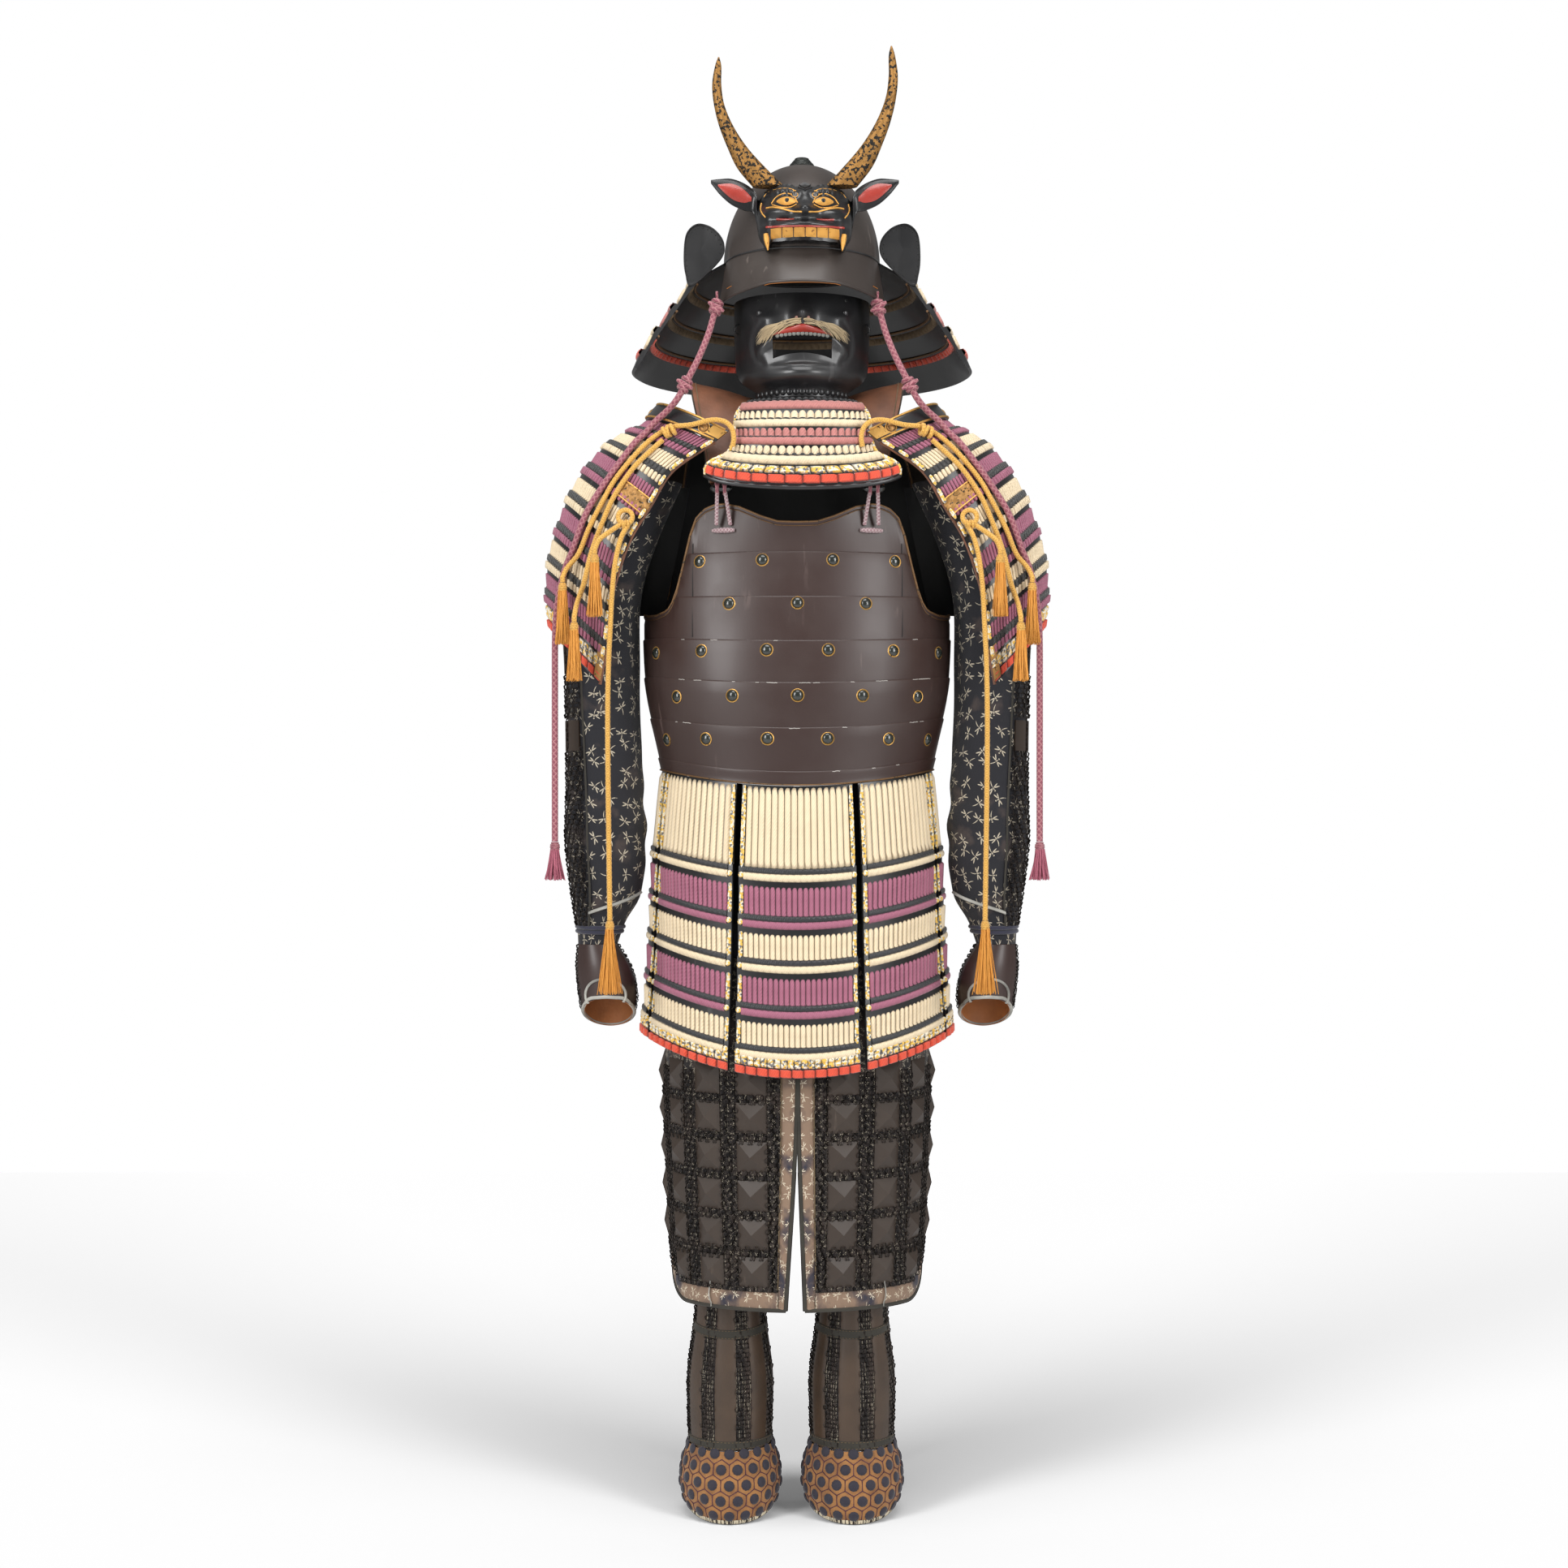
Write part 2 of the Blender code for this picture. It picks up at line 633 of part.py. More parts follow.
# Shoulder straps: forward, height, inner and outer edge from the middle, lean of the outer edge
STRAP = (
    (0.0, 0.0830, -0.0255, 0.0600, 0.1150, 0.000),
    (1.0, 0.0660, 0.0010, 0.0560, 0.1230, 0.006),
    (2.0, 0.0380, 0.0160, 0.0530, 0.1290, 0.016),
    (3.0, 0.0050, 0.0190, 0.0510, 0.1310, 0.021),
    (4.0, -0.0280, 0.0090, 0.0530, 0.1290, 0.021),
    (5.0, -0.0560, -0.0120, 0.0580, 0.1230, 0.012),
    (6.0, -0.0760, -0.0420, 0.0680, 0.1140, 0.004),
    (7.0, -0.0910, -0.0740, 0.0760, 0.1080, 0.000),
    (8.0, -0.0975, -0.0960, 0.0780, 0.1040, 0.000),
)
STRAP_THICK = 0.0045


def make_straps():
    for key, side in (("l", -1), ("r", 1)):
        def surface(u, t, side=side):
            y, z, inn, out, lean = at(STRAP, t)
            return Vector((side * (inn + (out - inn) * u), y, z + lean * u + 0.003 * math.sin(math.pi * u)))
        outer, inner = [], []
        for u in (0.0, 0.12, 0.5, 0.88, 1.0):
            edge = 0.0015 if u in (0.12, 0.88) else 0.0
            outer.append([raised(surface, u, t, edge, -side) for t in spread(0, 8, 10)])
            inner.append([raised(surface, u, t, -STRAP_THICK, -side) for t in spread(0, 8, 10)])
        wall("shoulder_strap_" + key, outer, inner, "leather")


def rod(name, points, radius, finish, sides=8, flat=1.0):
    """A closed rod of one radius through a few points, its ends square to it."""
    bm = bmesh.new()
    rings = []
    for i, point in enumerate(points):
        before, after = points[max(i - 1, 0)], points[min(i + 1, len(points) - 1)]
        along = (Vector(after) - Vector(before)).normalized()
        across = along.cross(Vector((0, 1, 0.02))).normalized()
        over = along.cross(across)
        ring = []
        for j in range(sides):
            turn = 2 * math.pi * j / sides
            offset = across * math.cos(turn) * radius + over * math.sin(turn) * radius * flat
            ring.append(bm.verts.new(Vector(point) + offset))
        rings.append(ring)
    for first, second in zip(rings, rings[1:]):
        for j in range(sides):
            k = (j + 1) % sides
            bm.faces.new((first[j], first[k], second[k], second[j]))
    bm.faces.new(rings[0])
    bm.faces.new(rings[-1])
    return add_solid(name, bm, finish)


def join_by_union(base, others):
    """Fuse other closed solids into base, and keep them only as hidden cutters."""
    for other in others:
        other.hide_render = True
        other.display_type = "WIRE"
        other.parent = base
        joint = base.modifiers.new("fuse", "BOOLEAN")
        joint.operation = "UNION"
        joint.object = other


TOGGLE = ((0.0780, -0.1000, -0.1022), (0.1040, -0.1000, -0.1022))
TOGGLE_RADIUS, LOOP_RADIUS = 0.0055, 0.0025
# forward and height down a loop strand, then how far out each strand is
LOOP_FALL = ((-0.1030, -0.1030), (-0.1040, -0.1240), (-0.1007, -0.1450))
LOOP_OUT = ((0.0865, 0.08325, 0.0800), (0.0955, 0.0960, 0.0965))


def make_fasteners():
    """A toggle under each strap's end, with the two strands of its loop down to the breast plate."""
    for key, side in (("l", -1), ("r", 1)):
        ends = [(side * x, y, z) for x, y, z in TOGGLE]
        toggle = rod("fastener_" + key, ends, TOGGLE_RADIUS, "black_lacquer", sides=10, flat=0.8)
        strands = []
        for number, outs in enumerate(LOOP_OUT):
            points = [(side * x, y, z) for x, (y, z) in zip(outs, LOOP_FALL)]
            strands.append(rod("loop_%s%d" % (key, number), points, LOOP_RADIUS, "rose_cord", sides=6))
        join_by_union(toggle, strands)


# Skirt of seven laced panels

# t, half width, half depth
SKIRT = (
    (0.00, 0.1655, 0.1200),
    (0.28, 0.1740, 0.1280),
    (0.60, 0.1785, 0.1340),
    (0.90, 0.1850, 0.1405),
    (1.00, 0.1885, 0.1430),
)
SKIRT_GAPS = (24.4, 70.7, 124.0, 180.0)     # where the slits are, in degrees from the front
SKIRT_SLIT = 1.3                            # half a slit, in degrees
SKIRT_LOW = 0.8000
SKIRT_RISE = 0.0420
SKIRT_HEADS = (0.285, 0.448, 0.598, 0.753, 0.895)
SKIRT_HEAD_LENGTH = 0.035


def skirt_surface(turn, t):
    a, b = at(SKIRT, t)
    angle = math.radians(turn)
    across = math.sin(angle) ** 2
    top = -HEM_Z + HEM_RISE * across - 2 * GAP
    low = -SKIRT_LOW + SKIRT_RISE * across
    return Vector((a * math.sin(angle), -b * math.cos(angle), top + (low - top) * t))


def make_skirt():
    edges = [-gap for gap in SKIRT_GAPS[::-1]] + list(SKIRT_GAPS)
    for number, (left, right) in enumerate(zip(edges, edges[1:]), 1):
        columns = spread(left + SKIRT_SLIT, right - SKIRT_SLIT, 7)
        laced_wall("tasset_%d" % number, skirt_surface, columns, SKIRT_HEADS, SKIRT_HEAD_LENGTH,
                   (0.0, 0.28, 0.90, 1.0), "lacing", side=-1)


# Shoulder guards

# row, crest of the guard out from the middle and up, then its two edges the same, then half depth
GUARD = (
    (-1.0, 0.1690, 0.0110, 0.0815, -0.0335, 0.101),
    (0.0, 0.1850, -0.0070, 0.0976, -0.0465, 0.102),
    (1.0, 0.1990, -0.0175, 0.1130, -0.0560, 0.102),
    (2.0, 0.2290, -0.0330, 0.1500, -0.0830, 0.102),
    (3.0, 0.2540, -0.0590, 0.1745, -0.1225, 0.101),
    (4.0, 0.2770, -0.0930, 0.1985, -0.1620, 0.100),
    (5.0, 0.2920, -0.1310, 0.2145, -0.2060, 0.098),
    (6.0, 0.3040, -0.1710, 0.2230, -0.2430, 0.096),
    (7.0, 0.3080, -0.2120, 0.2270, -0.2850, 0.094),
    (8.2, 0.3040, -0.2620, 0.2360, -0.3350, 0.091),
)
GUARD_LAST = 8.2
GUARD_HEADS = (1.0, 2.0, 3.0, 4.0, 5.0, 6.0, 7.0)
GUARD_HEAD_LENGTH = 0.27
GUARD_SINK = 0.0027     # the plates lie this much under the surface, so that the cords clear their heads
# row and height of the top plate's bevelled face, then its thickness under the surface
GUARD_TOP = ((-1.0, 0.001), (-0.85, 0.0035), (-0.15, 0.0035), (-0.01, 0.001))
GUARD_TOP_UNDER = 0.0022


def guard_surface(side):
    """A half round shell over the upper arm: turn -90 is its front edge and 90 its back edge."""
    def surface(turn, row):
        out_x, out_z, edge_x, edge_z, depth = at(GUARD, row)
        angle = math.radians(turn)
        share = math.cos(angle)
        return Vector((
            side * (edge_x + (out_x - edge_x) * share),
            depth * math.sin(angle),
            edge_z + (out_z - edge_z) * share,
        ))
    return surface


def make_shoulder_guards():
    for key, side in (("l", -1), ("r", 1)):
        surface = guard_surface(side)
        turns = spread(-90, 90, 10)
        rows = [(0.03, LAME_LOW)]
        for head in GUARD_HEADS:
            rows += [(head - 0.03, LAME_LOW), (head, LAME_HEAD), (head + GUARD_HEAD_LENGTH, LAME_HEAD)]
        rows.append((GUARD_LAST, LAME_LOW + 0.001))
        facing = -side
        outer = [[raised(surface, turn, row, d - GUARD_SINK, facing) for row, d in rows] for turn in turns]
        inner_rows = [0.03, 1.5, 3.0, 4.5, 6.0, GUARD_LAST]
        under = LAME_LOW - PLATE - GUARD_SINK
        inner = [[raised(surface, turn, row, under, facing) for row in inner_rows] for turn in turns]
        wall("shoulder_guard_" + key, outer, inner, "lacing")
        outer = [[raised(surface, turn, row, d, facing) for row, d in GUARD_TOP] for turn in turns]
        ends = (GUARD_TOP[0][0], GUARD_TOP[-1][0])
        inner = [[raised(surface, turn, row, -GUARD_TOP_UNDER, facing) for row in ends] for turn in turns]
        wall("guard_top_" + key, outer, inner, "black_lacquer")


# Sleeves and hand guards

# depth below the shoulders, middle out from the centre line, half width, half depth
SLEEVE = (
    (0.085, 0.1900, 0.0480, 0.0540),
    (0.150, 0.2180, 0.0480, 0.0560),
    (0.230, 0.2390, 0.0455, 0.0560),
    (0.320, 0.2385, 0.0445, 0.0550),
    (0.420, 0.2365, 0.0450, 0.0540),
    (0.490, 0.2345, 0.0475, 0.0520),
    (0.520, 0.2340, 0.0490, 0.0510),
    (0.590, 0.2345, 0.0405, 0.0460),
    (0.622, 0.2410, 0.0290, 0.0360),
    (0.650, 0.2450, 0.0235, 0.0280),
)
SLEEVE_ROWS = (0.085, 0.150, 0.230, 0.320, 0.420, 0.490, 0.516, 0.550, 0.590, 0.6250, 0.6260, 0.6370, 0.6380,
               0.650)
SLEEVE_LINING = (0.085, 0.230, 0.420, 0.516, 0.590, 0.625, 0.650)
WRIST_CORD = 0.0025
WRIST_ROWS = (10, 11)
HAND_TOP = 0.6504
HAND = (
    (0.00, 0.2450, 0.0240, 0.0285),
    (0.35, 0.2375, 0.0330, 0.0340),
    (0.70, 0.2330, 0.0350, 0.0350),
    (1.00, 0.2320, 0.0320, 0.0340),
)
HAND_FRONT, HAND_BACK = 0.7150, 0.7550


def make_arms():
    turns = spread(0, 360 - 360 / 12, 12)
    for key, side in (("l", -1), ("r", 1)):
        def sleeve(turn, low, side=side):
            middle, a, b = at(SLEEVE, low)
            angle = math.radians(turn)
            return Vector((side * middle + a * math.sin(angle), -b * math.cos(angle), -low))

        def hand(turn, t, side=side):
            middle, a, b = at(HAND, t)
            angle = math.radians(turn)
            low = (HAND_FRONT + HAND_BACK) / 2 - (HAND_BACK - HAND_FRONT) / 2 * math.cos(angle)
            return Vector((side * middle + a * math.sin(angle), -b * math.cos(angle),
                           -HAND_TOP - (low - HAND_TOP) * t))

        outer, inner = [], []
        for turn in turns:
            column = []
            for k, low in enumerate(SLEEVE_ROWS):
                proud = WRIST_CORD if k in WRIST_ROWS else 0.0
                column.append(raised(sleeve, turn, low, proud, -1))
            lining = [raised(sleeve, turn, low, -CLOTH, -1)
                      for low in SLEEVE_LINING]
            for end in (0, -1):
                column[end].z = lining[end].z = sleeve(turn, SLEEVE_ROWS[end]).z
            outer.append(column)
            inner.append(lining)
        wall("sleeve_" + key, outer, inner, "blue_cloth", closed=True)
        outer, inner = [], []
        for turn in turns:
            column = [raised(hand, turn, t, d, -1) for t, d in
                      ((0.0, 0.0), (0.20, 0.0), (0.55, 0.0), (0.93, 0.0), (0.94, 0.0018), (1.0, 0.0018))]
            lining = [raised(hand, turn, t, -PLATE, -1) for t in (0.0, 0.35, 0.70, 1.0)]
            column[0].z = lining[0].z = -HAND_TOP
            outer.append(column)
            inner.append(lining)
        wall("hand_guard_" + key, outer, inner, "leather", closed=True)


# Thigh guards

THIGH_TOP, THIGH_LOW = 0.6620, 1.0790
# depth below the shoulders, half width, half depth
THIGH = (
    (0.620, 0.1560, 0.1100),
    (0.780, 0.1620, 0.1150),
    (0.920, 0.1580, 0.1150),
    (1.090, 0.1490, 0.1110),
)
THIGH_END = 102.0                           # where a panel ends behind, in degrees from the front
PLATE_TURNS = (20.0, 42.0, 65.0, 88.0)      # middles of the columns of pyramid plates
PLATE_HALF_TURN = 7.4
PLATE_LOWS = (0.8055, 0.8510, 0.8970, 0.9435, 0.9895, 1.0345)
PLATE_HALF = 0.0190
PYRAMID = 0.0085
BORDER_TURN = 7.0
BORDER = 0.0190
SLIT = {"l": (0.0012, 0.0141), "r": (0.0012, 0.0090)}   # half opening of the slit at the top and the hem
BELT_PROUD = 0.0012
BELT_ROWS = (0.6320, THIGH_TOP - 0.0012)
HEM_PROUD = 0.0015                          # the binding of the hem and the slit stands out


def make_thigh_guards():
    for key, side in (("l", -1), ("r", 1)):
        def surface(turn, low, side=side):
            a, b = at(THIGH, low)
            angle = math.radians(turn) * side
            return Vector((a * math.sin(angle), -b * math.cos(angle), -low))

        turns = [0.0, BORDER_TURN]
        for middle in PLATE_TURNS:
            turns += [middle - PLATE_HALF_TURN, middle, middle + PLATE_HALF_TURN]
        turns.append(THIGH_END)
        outer, inner, lift = [], [], []
        for i, turn in enumerate(turns):
            corner = max(turn - 62.0, 0.0) / 40.0
            hem = THIGH_LOW - 0.075 * corner ** 2
            rows = [(THIGH_TOP, 0.0)]
            on_column = 2 <= i <= 13 and (i - 2) % 3 == 1
            for low in PLATE_LOWS:
                squeezed = low + PLATE_HALF > hem - BORDER
                height = PYRAMID if on_column and not squeezed else 0.0
                rows += [(low - PLATE_HALF, 0.0), (low, height), (low + PLATE_HALF, 0.0)]
            rows += [(hem - BORDER, 0.0), (hem, HEM_PROUD)]
            rows = fit_above(rows, hem)
            column, heights = [], []
            for low, height in rows:
                here = turn
                if i < 2:
                    opening = at(((THIGH_TOP, SLIT[key][0]), (0.85, SLIT[key][0]), (THIGH_LOW, SLIT[key][1])), low)
                    here = turn + math.degrees(opening[0] / at(THIGH, low)[0])
                proud = HEM_PROUD if i < 1 and low > THIGH_TOP else 0.0
                column.append(raised(surface, here, low, max(height, proud), -side))
                heights.append(height)
            lining = []
            for low in spread(THIGH_TOP, hem, 5):
                here = turn
                if i < 2:
                    opening = at(((THIGH_TOP, SLIT[key][0]), (0.85, SLIT[key][0]), (THIGH_LOW, SLIT[key][1])), low)
                    here = turn + math.degrees(opening[0] / at(THIGH, low)[0])
                lining.append(raised(surface, here, low, -CLOTH, -side))
            outer.append(column)
            inner.append(lining)
            lift.append(heights)
        wall("thigh_guard_" + key, outer, inner, "blue_cloth", lift=lift)

    def belt(turn, low):
        angle = math.radians(turn)
        return Vector((THIGH[0][1] * math.sin(angle), -THIGH[0][2] * math.cos(angle), -low))

    turns = spread(0, 360 - 22.5, 16)
    outer = [[raised(belt, turn, low, BELT_PROUD, -1) for low in BELT_ROWS] for turn in turns]
    inner = [[raised(belt, turn, low, -CLOTH, -1) for low in BELT_ROWS] for turn in turns]
    wall("thigh_belt", outer, inner, "blue_cloth", closed=True)


def fit_above(rows, hem, least=0.0008):
    """Press the rows that would pass a rounded hem together, just above it."""
    count = len(rows)
    fitted = []
    for i, (low, height) in enumerate(rows):
        limit = hem - least * (count - 1 - i)
        fitted.append((min(low, limit), height if low <= limit else 0.0))
    return fitted


# Shin guards and foot covers

LEG_APART = 0.0750
# depth below the shoulders, half width, half depth
SHIN = (
    (1.045, 0.0400, 0.0480),
    (1.110, 0.0420, 0.0500),
    (1.180, 0.0505, 0.0540),
    (1.262, 0.0490, 0.0520),
)
SHIN_ROWS = ((1.045, 0.0), (1.114, 0.0), (1.115, 0.0022), (1.128, 0.0022), (1.129, 0.0), (1.185, 0.0),
             (1.2480, 0.0), (1.2490, 0.0022), (1.2620, 0.0022))
SHIN_REACH = 128.0
SPLINTS = 5             # raised splints round each shin guard, mail between them
SPLINT_PROUD = 0.0016
SHIN_LINING = (1.045, 1.110, 1.180, 1.262)
FOOT_TOP = 1.2624
FOOT = (
    (0.00, 0.0510, 0.0540),
    (0.30, 0.0580, 0.0620),
    (0.60, 0.0605, 0.0680),
    (0.85, 0.0570, 0.0680),
    (1.00, 0.0500, 0.0640),
)
FOOT_LOW = 1.3460
FOOT_WALL = 0.0045


def make_legs():
    for key, side in (("l", -1), ("r", 1)):
        centre = LEG_X + side * LEG_APART

        def shin(turn, low, centre=centre):
            a, b = at(SHIN, low)
            angle = math.radians(turn)
            return Vector((centre + a * math.sin(angle), -b * math.cos(angle), -low))

        def foot(turn, t, centre=centre):
            a, b = at(FOOT, t)
            angle = math.radians(turn)
            low = FOOT_LOW - 0.020 * (1 - math.cos(angle)) / 2
            return Vector((centre + a * math.sin(angle), -b * math.cos(angle), -FOOT_TOP - (low - FOOT_TOP) * t))

        outer, inner = [], []
        pitch = 2 * SHIN_REACH / SPLINTS
        for number in range(SPLINTS):
            start = -SHIN_REACH + pitch * number
            for share, proud in ((0.0, 0.0), (0.10, SPLINT_PROUD), (0.68, SPLINT_PROUD), (0.78, 0.0)):
                turn = start + pitch * share
                outer.append([raised(shin, turn, low, max(d, proud), -1) for low, d in SHIN_ROWS])
                inner.append([raised(shin, turn, low, -CLOTH, -1) for low in SHIN_LINING])
        outer.append([raised(shin, SHIN_REACH, low, d, -1) for low, d in SHIN_ROWS])
        inner.append([raised(shin, SHIN_REACH, low, -CLOTH, -1) for low in SHIN_LINING])
        for column in outer + inner:
            column[0].z, column[-1].z = -SHIN_LINING[0], -SHIN_LINING[-1]
        wall("shin_guard_" + key, outer, inner, "leather")
        turns = spread(-SHIN_REACH, SHIN_REACH, 15)
        rows = (0.0, 0.15, 0.35, 0.60, 0.85, 1.0)
        outer = [[raised(foot, turn, t, 0.0, -1) for t in rows] for turn in turns]
        inner = [[raised(foot, turn, t, -FOOT_WALL, -1) for t in (0.0, 0.35, 0.80, 1.0)] for turn in turns]
        for column in outer + inner:
            column[0].z = -FOOT_TOP
        wall("foot_cover_" + key, outer, inner, "hexagon_cloth")


# Cords and tassels. A route lists how far out, forward and high each point is, on either side alike.

ROSE_D = 0.0080
GOLD_D = 0.0065
PITCH = 3.0             # diameters between the tube's points
ROSE_ROUTE = (
    (0.0965, -0.0600, 0.1265), (0.1005, -0.0625, 0.1120), (0.1070, -0.0680, 0.0880), (0.1175, -0.0760, 0.0600),
    (0.1300, -0.0840, 0.0330), (0.1435, -0.0860, 0.0072), (0.1558, -0.0803, -0.0063), (0.1690, -0.0783, -0.0176),
    (0.1822, -0.0827, -0.0336), (0.1933, -0.0863, -0.0444), (0.2075, -0.0888, -0.0630), (0.2306, -0.0880, -0.0948),
    (0.2528, -0.0859, -0.1303), (0.2698, -0.0830, -0.1754), (0.2787, -0.0806, -0.1969), (0.2872, -0.0785, -0.2337),
    (0.2905, -0.0775, -0.2700), (0.2910, -0.0770, -0.3400), (0.2910, -0.0770, -0.4300), (0.2910, -0.0770, -0.5170),
)
GOLD_ROUTES = {
    "gold_cord": (
        (0.0770, -0.1165, -0.0545), (0.0755, -0.1175, -0.0440), (0.0782, -0.1160, -0.0322),
        (0.0862, -0.1142, -0.0245), (0.1006, -0.1100, -0.0217), (0.1270, -0.1026, -0.0265),
        (0.1473, -0.0958, -0.0276), (0.1593, -0.0928, -0.0321), (0.1753, -0.0927, -0.0428),
        (0.1945, -0.0943, -0.0621), (0.2180, -0.0926, -0.0910), (0.2342, -0.0929, -0.1196),
        (0.2485, -0.0913, -0.1472), (0.2619, -0.0898, -0.1792), (0.2755, -0.0940, -0.1970),
        (0.2800, -0.0970, -0.2075),
    ),
    "gold_branch": (
        (0.1603, -0.0977, -0.0436), (0.1741, -0.0976, -0.0559), (0.1952, -0.0982, -0.0769),
        (0.2182, -0.0974, -0.1103), (0.2316, -0.0981, -0.1400), (0.2456, -0.0964, -0.1774),
        (0.2550, -0.0982, -0.2160), (0.2620, -0.1085, -0.2400), (0.2645, -0.1170, -0.2560),
    ),
    "ring_cord": (
        (0.2100, -0.1085, -0.1455), (0.2230, -0.1135, -0.1550), (0.2350, -0.1175, -0.1650),
        (0.2400, -0.1195, -0.1760),
    ),
    "long_cord": (
        (0.2010, -0.1085, -0.1455), (0.2085, -0.1115, -0.1600), (0.2140, -0.1135, -0.1800),
        (0.2178, -0.1140, -0.2050), (0.2200, -0.1140, -0.2300), (0.2218, -0.1140, -0.2650),
        (0.2240, -0.1140, -0.3100), (0.2250, -0.1140, -0.3700), (0.2246, -0.1140, -0.4500),
        (0.2236, -0.1140, -0.5300), (0.2225, -0.1140, -0.6100),
    ),
}
# length of the skirt and its half width at the tips, under each cord
TASSELS = {
    "rose_cord": ("rose_tassel", 0.038, 0.0145),
    "gold_cord": ("tassel_a", 0.066, 0.0110),
    "gold_branch": ("tassel_b", 0.062, 0.0105),
    "ring_cord": ("tassel_c", 0.066, 0.0105),
    "long_cord": ("tassel_d", 0.079, 0.0165),
}
TASSEL_GAP = 0.0008
STRANDS = 8
STRAIGHT = 0.0006       # a point that is off the line by less is left out
LEVEL_END = 0.0060      # a cord's last stretch hangs plumb, so that its end face is level


def smooth_route(points, step):
    """Points along a smooth curve through a route, in equal steps where it bends and fewer where it is straight."""
    length = 0.0
    keyed = [(0.0, *points[0])]
    for before, after in zip(points, points[1:]):
        length += (Vector(after) - Vector(before)).length
        keyed.append((length, *after))
    even = [Vector(at(keyed, key)) for key in spread(0.0, length, max(int(round(length / step)), 2) + 1)]
    kept = [even[0]]
    for i in range(1, len(even) - 1):
        chord = even[i + 1] - kept[-1]
        off = (even[i] - kept[-1]).cross(chord).length / chord.length
        if off > STRAIGHT:
            kept.append(even[i])
    return kept + [even[-1]]


def make_cord(name, route, side, diameter, finish):
    """A tube on a poly spline, its ends filled."""
    points = smooth_route([(side * x, y, z) for x, y, z in route], diameter * PITCH)
    points.append(points[-1] - Vector((0.0, 0.0, LEVEL_END)))
    curve = bpy.data.curves.new(name, "CURVE")
    curve.dimensions = "3D"
    curve.bevel_depth = diameter / 2
    curve.bevel_resolution = 2
    curve.use_fill_caps = True
    line = curve.splines.new("POLY")
    line.points.add(len(points) - 1)
    for slot, point in zip(line.points, points):
        slot.co = (*point, 1.0)
    curve.materials.append(look(finish))
    piece = bpy.data.objects.new(name, curve)
    bpy.context.scene.collection.objects.link(piece)
    return points[-1]


def make_tassel(name, top, skirt, spread_out, finish, neck):
    """A bound head with strands that part below it, each rooted in its own slice of the head's base."""
    bm = bmesh.new()
    rings = []
    for radius, low in ((0.8 * neck, 0.0), (1.15 * neck, 0.004), (1.0 * neck, 0.010)):
        ring = []
        for i in range(STRANDS):
            turn = 2 * math.pi * i / STRANDS
            ring.append(bm.verts.new(top + Vector((radius * math.cos(turn), radius * math.sin(turn), -low))))
        rings.append(ring)
    bm.faces.new(rings[0])
    for upper, lower in zip(rings, rings[1:]):
        for i in range(STRANDS):
            j = (i + 1) % STRANDS
            bm.faces.new((upper[i], upper[j], lower[j], lower[i]))
    middle = bm.verts.new(top + Vector((0.0, 0.0, -0.010)))
    base = rings[-1]
    low = -0.010 - skirt
    for i in range(STRANDS):
        j = (i + 1) % STRANDS
        reach = spread_out * (1.0 if i % 2 else 0.72)
        tip = []
        for distance, share in ((0.45 * reach, 0.5), (reach, 0.22), (reach, 0.78)):
            turn = 2 * math.pi * (i + share) / STRANDS
            tip.append(bm.verts.new(top + Vector((distance * math.cos(turn), distance * math.sin(turn), low))))
        root = (middle, base[i], base[j])
        for a, b in ((0, 1), (1, 2), (2, 0)):
            bm.faces.new((root[a], root[b], tip[b]))
            bm.faces.new((root[a], tip[b], tip[a]))
        bm.faces.new(tip)
    add_solid(name, bm, finish)


def make_cords():
    for key, side in (("l", -1), ("r", 1)):
        ends = {"rose_cord": make_cord("rose_cord_" + key, ROSE_ROUTE, side, ROSE_D, "rose_cord")}
        for name, route in GOLD_ROUTES.items():
            ends[name] = make_cord("%s_%s" % (name, key), route, side, GOLD_D, "gold_cord")
        for cord, (name, skirt, wide) in TASSELS.items():
            rose = cord == "rose_cord"
            make_tassel("%s_%s" % (name, key), ends[cord] - Vector((0, 0, TASSEL_GAP)), skirt, wide,
                        "rose_cord" if rose else "gold_cord", 0.0058 if rose else 0.0050)


def main():
    clear_scene()
    make_bowl()
    make_brim_and_neck_guard()
    make_turnbacks()
    make_crest()
    make_horns()
    make_mask()
    make_throat_guard()
    make_cuirass_half("cuirass_front", FRONT_EDGE, -1)
    make_cuirass_half("cuirass_back", BACK_EDGE, 1)
    make_straps()
    make_fasteners()
    make_skirt()
    make_shoulder_guards()
    make_arms()
    make_thigh_guards()
    make_legs()
    make_cords()


main()
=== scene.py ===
"""Looks of the samurai armour: lacing, lacquer, cords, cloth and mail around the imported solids."""

import math

import bmesh
import bpy
import numpy as np
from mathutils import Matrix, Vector


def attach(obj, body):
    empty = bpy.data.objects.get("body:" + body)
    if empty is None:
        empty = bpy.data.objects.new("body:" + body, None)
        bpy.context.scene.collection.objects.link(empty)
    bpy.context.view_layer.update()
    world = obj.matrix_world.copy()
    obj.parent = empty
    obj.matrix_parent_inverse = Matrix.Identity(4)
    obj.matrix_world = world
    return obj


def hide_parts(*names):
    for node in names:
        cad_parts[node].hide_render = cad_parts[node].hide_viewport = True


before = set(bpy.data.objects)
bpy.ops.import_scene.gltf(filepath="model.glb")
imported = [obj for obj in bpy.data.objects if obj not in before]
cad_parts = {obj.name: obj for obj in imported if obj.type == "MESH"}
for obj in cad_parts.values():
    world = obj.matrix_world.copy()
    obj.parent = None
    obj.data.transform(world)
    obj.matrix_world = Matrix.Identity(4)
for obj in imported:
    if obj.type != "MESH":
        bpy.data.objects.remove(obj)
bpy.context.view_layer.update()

SIDES = (("l", -1), ("r", 1))
